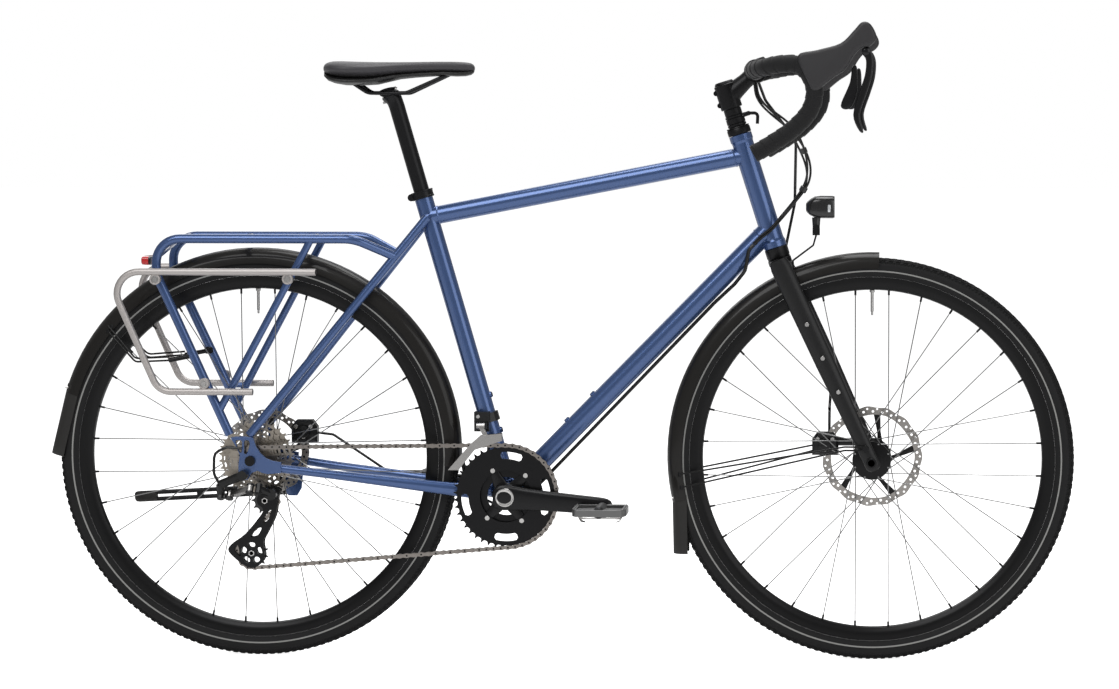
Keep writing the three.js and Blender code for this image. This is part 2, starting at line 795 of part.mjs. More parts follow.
function standMount() {
  const top = onChainstay(stand_pivot.x);
  const outline = [
    [-0.5, 0.1],
    [0.5, 0.1],
    [0.42, -0.9],
    [0.2, -1.2],
    [-0.2, -1.2],
    [-0.42, -0.9],
  ].map(([x, z]) => new THREE.Vector2(stand_pivot.x + x * stand.foot_length, top.z + z * (top.z - stand_pivot.z)));
  const inner = chainstay.rear_radius / 2;
  return plate(outline, inner, stand_pivot.y - stand.foot - turning_gap - inner / 2);
}

// Rack: two bent rails that end on the seat stays and run down to the dropouts, with front struts and cross bars
const rack_bolts = [
  { behind: 161, rise: 314 },
  { behind: -76, rise: 315 },
  { behind: 78, rise: 134 },
];
const rack_corner = beside(rear_axle, -rack.rear_reach, rack.half_width, rack.rail_height);
const rack_shoulder = beside(rack_corner, 0, 0, -rack.shoulder_drop);
const rack_foot = beside(rear_axle, -rack.foot_behind, rack.foot_spread, rack.foot_rise);
const rack_front = beside(rear_axle, rack.front_reach, rack.half_width, rack.rail_height);
const rack_nose = beside(rear_axle, rack.nose_reach, rack.nose_spread, rack.rail_height - rack.nose_drop);
const strut_top = beside(rear_axle, rack.front_strut_ahead, rack.half_width, rack.rail_height);
const strut_meet_share = (rack.rail_height - rack.shoulder_drop - rack.strut_meet_rise)
  / (rack.rail_height - rack.shoulder_drop - rack.foot_rise);
const strut_meet = rack_shoulder.clone().lerp(rack_foot, strut_meet_share);

// A point on the rear strut at a height over the axle.
function onRearStrut(rise) {
  const span = rack_shoulder.z - rack_foot.z;
  return rack_shoulder.clone().lerp(rack_foot, (rack_shoulder.z - rear_axle.z - rise) / span);
}

function onFrontStrut(rise) {
  return strut_top.clone().lerp(strut_meet, (strut_top.z - rear_axle.z - rise) / (strut_top.z - strut_meet.z));
}

function rackSide() {
  const below_foot = along(rack_foot, rack_foot.clone().sub(rack_shoulder).normalize(), cut_overrun * 2);
  const rail = bent([rack_nose, rack_front, rack_corner, rack_shoulder, below_foot], [rack.end_bend, rack.corner_radius, rack.end_bend], 2);
  const bolt_inner = [onRearStrut(rack_bolts[0].rise), onFrontStrut(rack_bolts[1].rise), onRearStrut(rack_bolts[2].rise)];
  const reach = side_rail.half_width - side_rail.radius - seat_gap;
  return join(
    tube(rail, rack.rail_radius, 8),
    rod(strut_top, strut_meet, rack.strut_radius, { sides: 6 }),
    rod(onRearStrut(rack.cross_rise), onFrontStrut(rack.cross_rise), rack.bar_radius, { sides: 6 }),
    bolt_inner.map((point) => cross(point, point.y, reach, rack.boss_radius, { sides: 6 })),
  );
}

const rack_bar_reaches = [-rack.rear_bar_behind, -rack.middle_bar_behind, rack.front_bar_ahead];

function rackWhole() {
  const side = join(rackSide());
  const bars = rack_bar_reaches.map((reach) =>
    cross(beside(rear_axle, reach, 0, rack.rail_height), -rack.half_width, rack.half_width, rack.bar_radius, { sides: 6 }),
  );
  const lamp_plate = rearLampPlate(rear_lamp.height / 2, 0);
  const foot_cut = dropout.rise + seat_gap;
  return cut(
    join(side, mirrored(surface(side)), bars, lamp_plate),
    block(beside(rear_axle, 0, 0, foot_cut - dropout_span), wheel_radius, wheel_radius, 2 * dropout_span),
    [right, left].map((side_of) =>
      onSide(side_of, rod(seat_stay_foot, seat_stay_top, seat_stay.radius + seat_gap, { sides: 12 })),
    ),
  );
}

// The slanted plate below the rear cross bar that carries the rear light, grown by a clearance where it is a cutter.
function rearLampPlate(reach, clearance) {
  const bar_point = beside(rear_axle, -rack.rear_bar_behind, 0, rack.rail_height);
  const foot = beside(rear_axle, -rear_lamp.behind + rear_lamp.length / 2 + seat_gap, 0, rear_lamp.rise);
  const half = rear_lamp.width / 3 + clearance;
  const thick = rack.bar_radius / 2 + clearance;
  const upwards = bar_point.clone().sub(foot).normalize();
  const over = place(-upwards.z, 0, upwards.x);
  return loft([
    oval(along(foot, upwards, -reach), along_y, half, over, thick, 4, 0.2),
    oval(bar_point, along_y, half, over, thick, 4, 0.2),
  ]);
}

function rearLamp() {
  const back = beside(rear_axle, -rear_lamp.behind, 0, rear_lamp.rise);
  return cut(
    block(back, rear_lamp.length, rear_lamp.width, rear_lamp.height),
    rearLampPlate(rear_lamp.height, seat_gap),
  );
}

// Pannier side rail: a bent aluminium tube with three rings that are bolted to the rack's bosses
function sideRail() {
  const corner_x = (rise) => {
    const share = (side_rail.top_rise - rise) / (side_rail.top_rise - side_rail.low_rise);
    return THREE.MathUtils.lerp(-side_rail.rear_behind, -side_rail.low_behind, share);
  };
  const at = (x, rise) => beside(rear_axle, x, side_rail.half_width, rise);
  const rail = bent(
    [
      at(side_rail.front_ahead, side_rail.top_rise),
      at(corner_x(side_rail.top_rise), side_rail.top_rise),
      at(corner_x(side_rail.low_rise), side_rail.low_rise),
      at(side_rail.low_ahead, side_rail.low_rise),
    ],
    [side_rail.upper_bend, side_rail.lower_bend],
    3,
  );
  const rings = [onRearStrut(rack_bolts[0].rise), onFrontStrut(rack_bolts[1].rise), onRearStrut(rack_bolts[2].rise)];
  return join(
    tube(rail, side_rail.radius, 8),
    rings.map((point) =>
      cross(point, side_rail.half_width - side_rail.radius, side_rail.half_width - side_rail.radius + side_rail.ring_height,
        side_rail.ring_radius, { sides: 12 })),
  );
}

// Bottom bracket: two outer cups joined by the sleeve inside the shell
function bottomBracket() {
  const half_shell = shell.width / 2 + seat_gap;
  return cut(
    join(
      cross(bracket, -half_shell - cup.width, half_shell + cup.width, cup.sleeve, { sides: 12 }),
      [right, left].map((side) =>
        cross(bracket, side * half_shell, side * (half_shell + cup.width), cup.radius, { sides: 12 })),
    ),
    cross(bracket, -half_shell - 2 * cup.width, half_shell + 2 * cup.width, cup.bore, { sides: 12 }),
  );
}

// Headset cups, pressed into the head tube
function headsetCup(face, outwards, height) {
  return cut(
    join(
      rod(along(face, outwards, seat_gap), along(face, outwards, height - seat_gap), headset.cup, { sides: 12 }),
      rod(along(face, outwards, -headset.skirt_depth), along(face, outwards, height / 2), headset.skirt, { sides: 12 }),
    ),
    rod(along(face, outwards, -2 * headset.skirt_depth), along(face, outwards, 2 * height), headset.bore, { sides: 12 }),
  );
}
const head_down = head_up.clone().negate();

// Seat clamp collar round the top of the seat tube, with its bolt ear in front
function seatClamp() {
  const foot = along(seat_top, seat_up, -collar.height);
  const ear_middle = along(along(foot, seat_up, collar.height / 2), seat_back, collar.radius);
  return cut(
    join(
      rod(foot, seat_top, collar.radius, { sides: 12 }),
      cross(ear_middle, -collar.ear, collar.ear, collar.height / 2 - seat_gap, { sides: 8 }),
    ),
    rod(along(foot, seat_up, -cut_overrun), along(seat_top, seat_up, cut_overrun), seat_tube.radius + seat_gap, { sides: 12 }),
  );
}

// Seatpost with its clamp head, which holds the saddle's rails
const post_top = along(seat_top, seat_up, seatpost.out);
const rail_centre = along(along(post_top, seat_back, seatpost.setback), seat_up, seatpost.lug);

function seatPost() {
  const head_half = seatpost.head_width / 2;
  return cut(
    join(
      rod(along(seat_top, seat_up, -seatpost.in_tube), post_top, seatpost.radius, { sides: 12 }),
      rod(along(post_top, seat_up, -seatpost.lug), along(rail_centre, seat_up, -seatpost.head_radius / 2), seatpost.radius, { sides: 12, end: seatpost.head_radius }),
      cross(rail_centre, -head_half, head_half, seatpost.head_radius, { sides: 12 }),
    ),
    [right, left].flatMap((side) => railGrooves(side)),
  );
}

// The grooves in the clamp head for one rail, flared for the saddle's tilt.
function railGrooves(side) {
  const middle = beside(rail_centre, 0, side * saddle.rail_spread, 0);
  return [-saddle_tilt, 0, saddle_tilt].map((turn) => {
    const way = place(Math.cos(turn), 0, Math.sin(turn));
    return rod(along(middle, way, -head_groove), along(middle, way, head_groove), saddle.rail + seat_gap, { sides: 8 });
  });
}

// Saddle: padded shell with a drawn-in nose, on two rails
const saddle_rear = beside(rail_centre, -saddle.behind_post, 0, saddle.above_post - saddle_height);

function saddleShell() {
  return loft(
    saddle_stations_shares.map(({ x, wide, top, low }) => {
      const middle = (top + low) / 2;
      const centre = beside(saddle_rear, x * saddle.length, 0, middle * saddle_height);
      return oval(centre, along_y, (wide * saddle.width) / 2, along_z, ((top - low) * saddle_height) / 2, 12, 0.8);
    }),
  );
}

function saddleRail(side) {
  const at = (x, y_share, z) => beside(rail_centre, x, side * y_share * saddle.rail_spread, z);
  const rise = saddle.above_post - saddle_height;
  const route = bent(
    [
      at(-saddle.behind_post * 0.62, 1.5, rise * 0.9),
      at(-saddle.behind_post * 0.3, 1, 0),
      at(saddle.behind_post * 0.3, 1, 0),
      at(saddle.behind_post * 0.9, 0.35, rise * 1.1),
    ],
    saddle.rail * 4,
    2,
  );
  return tube(route, saddle.rail, 6);
}

function saddleWhole() {
  return join(saddleShell(), saddleRail(right), saddleRail(left));
}

// Wheels: tyre, rim with its valve, hub with its laced spokes, and brake rotor
function tyreRing(centre) {
  const { half_width, foot_radius, foot_half_width, shoulder_radius } = tyre;
  const depth = wheel_radius - shoulder_radius;
  const half = [
    [foot_radius, foot_half_width],
    [shoulder_radius + tyre.wide_share * depth, half_width],
    [shoulder_radius + tyre.crown_share * depth, tyre.crown_width_share * half_width],
    [wheel_radius, 0.3 * half_width],
  ];
  return turned([...half, ...half.map(([radius, y]) => [radius, -y]).reverse()], centre);
}

function rimRing(centre) {
  const { inner_radius, bed_radius, wall_radius, half_width, bed_half_width } = rim;
  const half = [
    [inner_radius, half_width / 2],
    [wall_radius, half_width],
    [bed_radius, bed_half_width],
  ];
  const valve_top = beside(centre, 0, 0, inner_radius - valve.length);
  return join(
    turned([...half, ...half.map(([radius, y]) => [radius, -y]).reverse()], centre),
    rod(valve_top, beside(centre, 0, 0, (inner_radius + bed_radius) / 2), valve.radius, { sides: 6 }),
  );
}

// Laced spokes: leading ones run outside their flange and trailing ones inside, so that they cross clear.
function spokes(centre, flange, spreads) {
  const reach = rim.inner_radius + spoke.seat;
  return Array.from({ length: spoke.count }, (_, i) => {
    const side = i % 2 ? 1 : -1;
    const lead = i % 4 < 2 ? 1 : -1;
    const rim_angle = (TURN * (i + 0.5)) / spoke.count;
    const hub_angle = rim_angle + lead * spoke.hub_turn;
    const start = beside(
      centre,
      (flange - 2 * spoke.radius) * Math.cos(hub_angle),
      side * (spreads[side] + lead * spoke.hub_shift),
      (flange - 2 * spoke.radius) * Math.sin(hub_angle),
    );
    const rim_side = side * (rim.half_width / 4 + lead * spoke.rim_shift);
    const end = beside(centre, reach * Math.cos(rim_angle), rim_side, reach * Math.sin(rim_angle));
    return rod(start, end, spoke.radius, { sides: 3 });
  });
}

function hubShell(centre, sizes, inner_width, left_flange, right_flange, right_end, rotor_offset) {
  const face = inner_width / 2 - seat_gap;
  const { shell: body, flange, cap, thickness } = sizes;
  const neck = cap + thickness;
  const neck_end = rotor_offset - rotor.thickness / 2 - seat_gap;
  const profile = [
    [axle.bore, -face],
    [cap, -face],
    ...right_end,
    [neck, -right_flange - thickness],
    [flange, -right_flange - thickness / 2],
    [flange, -right_flange + thickness / 2],
    [body, -right_flange + 2 * thickness],
    [body, left_flange - 2 * thickness],
    [flange, left_flange - thickness / 2],
    [flange, left_flange + thickness / 2],
    [neck, left_flange + thickness],
    [neck, neck_end],
    [cap, neck_end],
    [cap, face],
    [axle.bore, face],
  ];
  return turned(profile, centre, 10);
}

function laced(centre, hub, flange, spreads) {
  return join(hub, spokes(centre, flange, spreads));
}

function frontHub() {
  const { flange_spread, flange } = front_hub;
  const hub = hubShell(front_axle, front_hub, front_hub_width, flange_spread, flange_spread, [], front_rotor_offset);
  return laced(front_axle, hub, flange, { [left]: flange_spread, [right]: flange_spread });
}

function rearHub() {
  const { left_flange, right_flange, flange, freehub, cap } = rear_hub;
  const freehub_end = -cog.first_offset - cog.thickness;
  const right_end = [
    [cap, freehub_end],
    [freehub, freehub_end],
    [freehub, -right_flange - 2 * rear_hub.thickness],
  ];
  const hub = hubShell(rear_axle, rear_hub, rear_hub_width, left_flange, right_flange, right_end, rear_rotor_offset);
  return laced(rear_axle, hub, flange, { [left]: left_flange, [right]: right_flange });
}

function brakeRotor(centre, radius, offset) {
  const outer = Array.from({ length: rotor.lobes * 2 }, (_, i) => {
    const angle = (TURN * i) / (rotor.lobes * 2);
    const reach = radius - (i % 2) * rotor.lobe_depth;
    return new THREE.Vector2(centre.x + reach * Math.cos(angle), centre.z + reach * Math.sin(angle));
  });
  const window_middle = (radius - rotor.band + rotor.carrier) / 2;
  const window_half = (radius - rotor.band - rotor.carrier) / 2;
  const windows = Array.from({ length: rotor.arms }, (_, i) => {
    const share = TURN / rotor.arms;
    return arcSlot(centre, window_middle, window_half, i * share, 0.36 * share, 3);
  });
  const disc = plate(outer, rotor.thickness, offset, { holes: windows });
  return cut(disc, cross(centre, offset - cut_overrun, offset + cut_overrun, rotor.bore, { sides: 12 }));
}

// Brake caliper: a body with a slot for the rotor and a foot to what carries it
function caliperBody(middle, centre, offset, radius, foot) {
  const outline = [
    [-0.5, -0.5],
    [0.5, -0.5],
    [0.5, 0.2],
    [0.3, 0.5],
    [-0.3, 0.5],
    [-0.5, 0.2],
  ].map(([x, z]) => new THREE.Vector2(middle.x + x * caliper.length, middle.z + z * caliper.height));
  const wide = caliper.inner + caliper.outer;
  return cut(
    join(plate(outline, wide, offset + (caliper.outer - caliper.inner) / 2, { bevel: caliper.bevel }), foot),
    cross(centre, offset - caliper.slot / 2, offset + caliper.slot / 2, radius + caliper.slot, { sides: 32 }),
  );
}

function rearCaliper() {
  const middle = beside(rear_axle, rear_caliper_place.ahead, rear_rotor_offset, rear_caliper_place.rise);
  const carried = onChainstay(middle.x);
  const foot_top = beside(middle, 0, caliper.foot / 2, 0);
  const foot = rod(place(middle.x, carried.y, carried.z), foot_top, caliper.foot / 2, { sides: 8 });
  return cut(
    caliperBody(middle, rear_axle, rear_rotor_offset, rear_rotor_radius, foot),
    loft([0, 1].map((share) => {
      const grown = chainstay.rear_radius + seat_gap;
      const centre = share ? chainstay_rear : onChainstay(middle.x + caliper.length);
      return oval(beside(centre, 0, 0, 0), along_y, grown * 1.1, along_z, grown * 1.2, 12);
    })),
  );
}

// Mudguard: a channel over the tyre with a rubber flap, wire stays on both sides
function guardSection() {
  const { half_width, depth, wall } = mudguard;
  const outer = [
    [-1, 0],
    [-0.93, 0.55],
    [-0.48, 1],
    [0.48, 1],
    [0.93, 0.55],
    [1, 0],
  ];
  const outline = (size, drop) => outer.map(([x, y]) => new THREE.Vector2(x * (half_width - size), (y - 1) * depth - drop * y));
  return new THREE.Shape([...outline(0, 0), ...outline(wall, wall).reverse()]);
}

function guardRoute(centre, sizes) {
  const { radius, start, end, flap, flap_turn } = sizes;
  const steps = Math.ceil((end - start) / (12 * DEG));
  const stations = [];
  const tangents = [];
  for (let k = 0; k <= steps; k++) {
    const angle = start + ((end - start) * k) / steps;
    stations.push(beside(centre, radius * Math.cos(angle), 0, radius * Math.sin(angle)));
    tangents.push(place(-Math.sin(angle), 0, Math.cos(angle)));
  }
  const way = end + 90 * DEG + flap_turn;
  const flap_way = place(Math.cos(way), 0, Math.sin(way));
  const last = stations.at(-1);
  stations.push(along(last, flap_way, flap));
  tangents[tangents.length - 1] = tangents.at(-1).clone().add(flap_way).normalize();
  tangents.push(flap_way);
  return new Route(stations, tangents);
}

// A point on a mudguard's inner edge at an angle round its centre.
function guardEdge(centre, sizes, angle) {
  const reach = sizes.radius - mudguard.depth + 3 * mudguard.wall;
  return beside(centre, reach * Math.cos(angle), mudguard.half_width - mudguard.wall, reach * Math.sin(angle));
}

const rear_guard_centre = beside(rear_axle, 0, 0, rear_guard.rise);
const front_guard_centre = beside(front_axle, 0, 0, front_guard.rise);

function rearGuard() {
  const anchor = onRearStrut(guard_stay.rise);
  const bracket_end = beside(anchor, -guard_stay.arm, -guard_stay.arm_inset, -guard_stay.arm_drop);
  const edge = guardEdge(rear_guard_centre, rear_guard, guard_stay.rear_angle);
  const elbow = beside(bracket_end, -guard_stay.elbow, -guard_stay.elbow_inset, -guard_stay.elbow_drop);
  const wire = bent([bracket_end, elbow, edge], guard_stay.bend, 2);
  const stay = join(
    tube(wire, mudguard.wire, 6),
    rod(bracket_end, beside(anchor, 0, -rack.rail_radius - guard_stay.arm_radius, 0), guard_stay.arm_radius, { sides: 8 }),
  );
  const bridge = onChainstay(rear_axle.x + wheel_radius + stay_bridge.ahead_of_tyre);
  const reach = rear_guard.radius + mudguard.wall / 2;
  const guard_end = beside(rear_guard_centre, reach * Math.cos(rear_guard.start), 0, reach * Math.sin(rear_guard.start));
  const tab_foot = beside(guard_end, 0, 0, mudguard.depth / 2);
  const tab = rod(tab_foot, place(bridge.x, 0, bridge.z), guard_stay.arm_radius, { sides: 8 });
  return cut(
    join(swept(guardSection(), guardRoute(rear_guard_centre, rear_guard)), stay, mirrored(surface(stay)), tab),
    cross(bridge, -shell.width, shell.width, stay_bridge.radius + seat_gap, { sides: 8 }),
    rackCutters(),
  );
}

// The rack's rear struts, grown by the seat gap.
function rackCutters() {
  return [right, left].map((side) =>
    onSide(side, rod(rack_shoulder, rack_foot, rack.rail_radius + seat_gap, { sides: 8 })));
}

// Fork: steerer, crown, two straight blades, bosses and the through axle
const fork_crown = along(crown_race, head_up, -fork.crown_drop / 2);
const blade_top = place(fork_crown.x, fork.blade_spread, fork_crown.z);
const blade_foot = beside(front_axle, 0, fork.blade_foot_spread, 0);
const blade_way = blade_top.clone().sub(blade_foot).normalize();
const blade_wide = place(blade_way.z, 0, -blade_way.x).normalize();
const steerer_top = along(stem_bottom, head_up, stem.clamp + turning_gap);

function forkBlade() {
  const below = along(blade_foot, blade_way, -fork.foot_drop);
  const stations = [
    [below, fork.foot_length * 0.6, fork.foot_thickness],
    [along(blade_foot, blade_way, -fork.foot_drop / 2), fork.foot_length, fork.foot_thickness],
    [along(blade_foot, blade_way, fork.foot_drop), fork.foot_length, fork.foot_thickness],
    [blade_foot.clone().lerp(blade_top, 0.5), fork.blade_length * 0.95, fork.blade_thickness],
    [along(blade_top, blade_way, fork.crown_drop / 2), fork.blade_length, fork.blade_thickness],
  ];
  return loft(stations.map(([centre, long, thick]) => oval(centre, along_y, thick, blade_wide, long, 8, 0.8)));
}

function forkBosses() {
  return [0, 1, 2].map((i) => {
    const first = blade_foot.distanceTo(blade_top) * fork.first_boss_share;
    const point = along(blade_foot, blade_way, first + i * fork.boss_spacing);
    const out = fork.blade_thickness + fork.boss_height;
    return cross(point, point.y, point.y + out, fork.boss_radius, { sides: 6 });
  });
}

function forkWhole() {
  const side = join(forkBlade(), forkBosses());
  const crown_half = fork.crown_half_length;
  const crown = loft(
    [-fork.blade_spread, fork.blade_spread].map((y) =>
      oval(beside(fork_crown, 0, y, 0), along_x, crown_half * 0.8, along_z, fork.crown_drop / 2, 10, 0.7)),
  );
  const race = rod(along(crown_race, head_up, -fork.crown_drop / 2), crown_race, headset.cup, { sides: 12 });
  const cup_space = rod(crown_race, along(crown_race, head_up, headset.lower), headset.cup + 3 * seat_gap, { sides: 12 });
  const end = front_hub_width / 2 + 2 * fork.foot_thickness + axle.head_length;
  return join(
    rod(fork_crown, steerer_top, fork.steerer, { sides: 12 }),
    cut(crown, cup_space),
    race,
    side,
    mirrored(surface(side)),
    cross(front_axle, -end, end, axle.radius, { sides: 12 }),
    [right, left].map((side_of) =>
      cross(front_axle, side_of * (end - axle.head_length), side_of * end, axle.head_radius, { sides: 12 })),
  );
}

function frontGuard() {
  const start = along(blade_foot, blade_way, fork.foot_drop * 1.6);
  const outside = beside(start, 0, fork.blade_thickness + mudguard.wire + seat_gap, 0);
  const edge = guardEdge(front_guard_centre, front_guard, guard_stay.front_angle);
  const elbow = beside(outside, -fork.blade_length * 2, -mudguard.wire, 0);
  const stay = tube(bent([outside, elbow, edge], guard_stay.bend, 2), mudguard.wire, 6);
  return join(swept(guardSection(), guardRoute(front_guard_centre, front_guard)), stay, mirrored(stay), guardMount());
}

// The tab on top of the front mudguard that is bolted below the crown.
function guardMount() {
  const angle = Math.atan2(fork_crown.z - front_guard_centre.z, fork_crown.x - front_guard_centre.x);
  const way = place(Math.cos(angle), 0, Math.sin(angle));
  const foot = along(front_guard_centre, way, front_guard.radius - mudguard.wall);
  const top = along(front_guard_centre, way, front_guard_centre.distanceTo(fork_crown) - fork.crown_drop * fork.guard_share - mudguard.wall);
  return rod(foot, top, fork.boss_radius, { sides: 8 });
}

function frontCaliper() {
  const middle = beside(front_axle, -front_caliper_place.behind, front_rotor_offset, front_caliper_place.rise);
  const share = (middle.z - blade_foot.z) / (blade_top.z - blade_foot.z);
  const carried = blade_foot.clone().lerp(blade_top, share);
  const foot = rod(place(middle.x, carried.y, middle.z), place(carried.x, carried.y, middle.z), caliper.foot / 2, { sides: 8 });
  const grown = (size) => size + seat_gap;
  const blade = loft(
    [[blade_foot, fork.foot_length * 1.05], [along(blade_foot, blade_way, 3 * caliper.height), fork.blade_length]].map(
      ([centre, long]) => oval(centre, along_y, grown(fork.blade_thickness) * 1.05, blade_wide, grown(long) * 1.05, 12, 0.8)),
  );
  return cut(caliperBody(middle, front_axle, front_rotor_offset, front_rotor_radius, foot), blade);
}

// Spacers below the stem, with the bell's carrier
function spacers() {
  const foot = along(head_top, head_up, headset.upper + seat_gap);
  const top = along(foot, head_up, spacer.height - 2 * seat_gap);
  const groove = along(foot, head_up, spacer.height * spacer.bell_share);
  const root = along(along(foot, head_up, spacer.height / 2), head_ahead, spacer.radius + bell.thickness / 4);
  const seat = along(root, head_ahead, -bell.thickness / 2);
  const carrier = clevis(root, bell_pivot, bell.thickness + turning_gap, bell.thickness / 2, bell.thickness, bell.pin);
  return cut(
    join(
      rod(foot, groove, spacer.radius, { sides: 12 }),
      rod(foot, top, spacer.radius - spoke.radius, { sides: 12 }),
      rod(seat, along(root, head_ahead, bell.thickness / 4), bell.thickness * 2, { sides: 8 }),
      carrier,
    ),
    rod(along(foot, head_up, -cut_overrun), along(foot, head_up, spacer.height + cut_overrun), headset.bore, { sides: 12 }),
  );
}

// Bell: a sprung striker lever on the carrier
const bell_pivot = along(
  along(head_top, head_up, headset.upper + spacer.height / 2),
  head_ahead,
  spacer.radius + bell.thickness * 2,
);

function bellLever() {
  const bow = along(along(bell_pivot, head_ahead, bell.length), head_up, -bell.height * 0.2);
  const tip = along(along(bell_pivot, head_ahead, bell.length * 0.6), head_up, -bell.height);
  return cut(
    join(
      cross(bell_pivot, -bell.thickness, bell.thickness, bell.thickness, { sides: 12 }),
      rod(bell_pivot, bow, bell.thickness * 0.7, { sides: 8 }),
      rod(bow, tip, bell.thickness * 0.7, { sides: 8 }),
    ),
    cross(bell_pivot, -2 * bell.thickness, 2 * bell.thickness, bell.pin + turning_gap, { sides: 8 }),
  );
}

// Stem with its faceplate and top cap
function stemWhole() {
  const foot = along(stem_bottom, head_up, seat_gap);
  const top = along(stem_bottom, head_up, stem.clamp);
  const cap_top = along(top, head_up, stem.cap);
  const bolt = (height_share) => {
    const point = along(stem_bottom, head_up, stem.clamp * height_share);
    const rear_point = along(point, head_ahead, -stem.radius);
    return cross(rear_point, -stem.cap, stem.radius / 2, stem.cap * 0.9, { sides: 6 });
  };
  const plate_bolt = (height) => {
    const point = along(along(bar_centre, head_ahead, stem.bar_radius * 0.75), head_up, height);
    return cross(point, -stem.bar_width / 2.2, stem.bar_width / 2.2, stem.cap, { sides: 6 });
  };
  return cut(
    join(
      rod(foot, top, stem.radius, { sides: 12 }),
      rod(stem_middle, cap_top, stem.radius * 0.92, { sides: 12 }),
      rod(stem_middle, bar_centre, stem.neck + 2 * seat_gap, { sides: 12, end: stem.neck }),
      cross(bar_centre, -stem.bar_width / 2, stem.bar_width / 2, stem.bar_radius, { sides: 12 }),
      bolt(0.25),
      bolt(0.75),
      plate_bolt(stem.bar_radius * 0.75),
      plate_bolt(-stem.bar_radius * 0.75),
    ),
    rod(along(foot, head_up, -cut_overrun), along(steerer_top, head_up, turning_gap * 3), fork.steerer + seat_gap, { sides: 12 }),
    cross(bar_centre, -stem.bar_width, stem.bar_width, bar.clamp_radius + seat_gap, { sides: 12 }),
  );
}

// Drop bar: a tube from the clamp out to each end, under the tape
const bar_route = smooth(
  bar_route_shares.map(([ahead, aside, up]) => beside(bar_centre, ahead * bar_span, aside * bar_span, up * bar_span)),
  bar.steps,
);
const tape_first = bar_route.stations.findIndex((point) => point.y > bar.tape_start);

function handlebar() {
  const half = tube(bar_route, bar.radius, 6);
  return join(
    half,
    mirrored(half),
    cross(bar_centre, -bar.clamp_half, bar.clamp_half, bar.clamp_radius, { sides: 12 }),
    [right, left].map((side) =>
      cross(bar_centre, side * bar.clamp_half, side * (bar.clamp_half + bar.taper), bar.clamp_radius, { sides: 12, end: bar.radius })),
  );
}

function barTape() {
  return swept(roundSection(tape.radius, 8, tape.bore, 6), routeFrom(bar_route, tape_first));
}

// Brake hood: the grip body clamped on the bend of the bar
const lever_pivot = beside(bar_centre, lever.pivot_ahead, hood.beside, lever.pivot_up);
const paddle_pivot = beside(bar_centre, paddle.pivot_ahead, hood.beside, paddle.pivot_up);
const lever_slot = lever.width / 2 + turning_gap;
const paddle_side = hood.beside - lever.width / 2 - paddle.gap - paddle.width / 2;

function hoodBody() {
  const outline = outlined(hood_outline_shares, hood.span, bar_centre);
  const root = beside(lever_pivot, 0, 0, lever.boss + lever.ear);
  const body = cut(
    plate(outline, hood.width, hood.beside, { bevel: hood.bevel }),
    tube(routeFrom(bar_route, tape_first), tape.radius + seat_gap, 8),
    cross(lever_pivot, hood.beside - lever_slot, hood.beside + lever_slot, lever.boss + 3 * turning_gap, { sides: 12 }),
  );
  return join(body, clevis(root, lever_pivot, lever_slot, lever.ear, lever.boss, lever.pin));
}

function brakeLever() {
  const edge = lever.width / 2;
  const lug = paddle.width + paddle.gap;
  const lug_middle = place(lever_pivot.x + paddle.pin, hood.beside - edge - lug / 2, paddle_pivot.z);
  const pin_start = place(lug_middle.x, paddle_side, paddle_pivot.z);
  return cut(
    join(
      plate(outlined(lever_outline_shares, lever_span, lever_pivot), lever.width, hood.beside, { bevel: lever.bevel }),
      cross(lever_pivot, hood.beside - edge, hood.beside + edge, lever.boss, { sides: 12 }),
      block(lug_middle, 3 * paddle.pin, lug + lever.width / 2, 4 * paddle.pin),
      rod(pin_start, along(pin_start, along_x, -(pin_start.x - paddle_pivot.x) - 3 * paddle.pin), paddle.pin, { sides: 8 }),
    ),
    cross(lever_pivot, hood.beside - lever.width, hood.beside + lever.width, lever.pin + turning_gap, { sides: 8 }),
  );
}

function shiftPaddle() {
  const centre = place(paddle_pivot.x, paddle_side, paddle_pivot.z);
  return cut(
    join(
      plate(outlined(paddle_outline_shares, lever_span, paddle_pivot), paddle.width, paddle_side, { bevel: 1.5 }),
      rod(along(centre, along_x, -2 * paddle.pin), along(centre, along_x, 2 * paddle.pin), 2.4 * paddle.pin, { sides: 8 }),
    ),
    rod(along(centre, along_x, -6 * paddle.pin), along(centre, along_x, 6 * paddle.pin), paddle.pin + turning_gap, { sides: 8 }),
  );
}

// Cranks: the right arm carries the spindle and the spider, and each arm its pedal's axle
const crank_way = place(Math.cos(crank_angle), 0, Math.sin(crank_angle));
const right_pedal_centre = along(bracket, crank_way, crank_length);
const left_pedal_centre = along(bracket, crank_way, -crank_length);
const pedal_middle = arm.eye_offset + arm.thickness / 2 + pedal.gap + pedal.width / 2;

function crankArm(eye, side) {
  const way = eye.clone().sub(bracket).normalize();
  const tall = place(-way.z, 0, way.x);
  const stations = [
    [-0.11, arm.boss * 0.75, arm.boss_thickness, arm.offset],
    [-0.05, arm.boss, arm.boss_thickness, arm.offset],
    [0.1, arm.boss * 0.95, arm.boss_thickness, arm.offset],
    [0.4, arm.neck * 1.1, arm.thickness, arm.offset + 5],
    [0.9, arm.neck, arm.thickness, arm.eye_offset],
    [1.03, arm.eye, arm.thickness, arm.eye_offset],
    [1.08, arm.eye * 0.6, arm.thickness, arm.eye_offset],
  ];
  return join(
    loft(
      stations.map(([share, half_tall, thick, offset]) =>
        oval(beside(along(bracket, way, share * crank_length), 0, side * offset, 0), along_y, thick / 2, tall, half_tall, 12, 0.6)),
    ),
    cross(eye, side * arm.eye_offset, side * (pedal_middle + pedal.width / 2), pedal.axle, { sides: 12 }),
  );
}

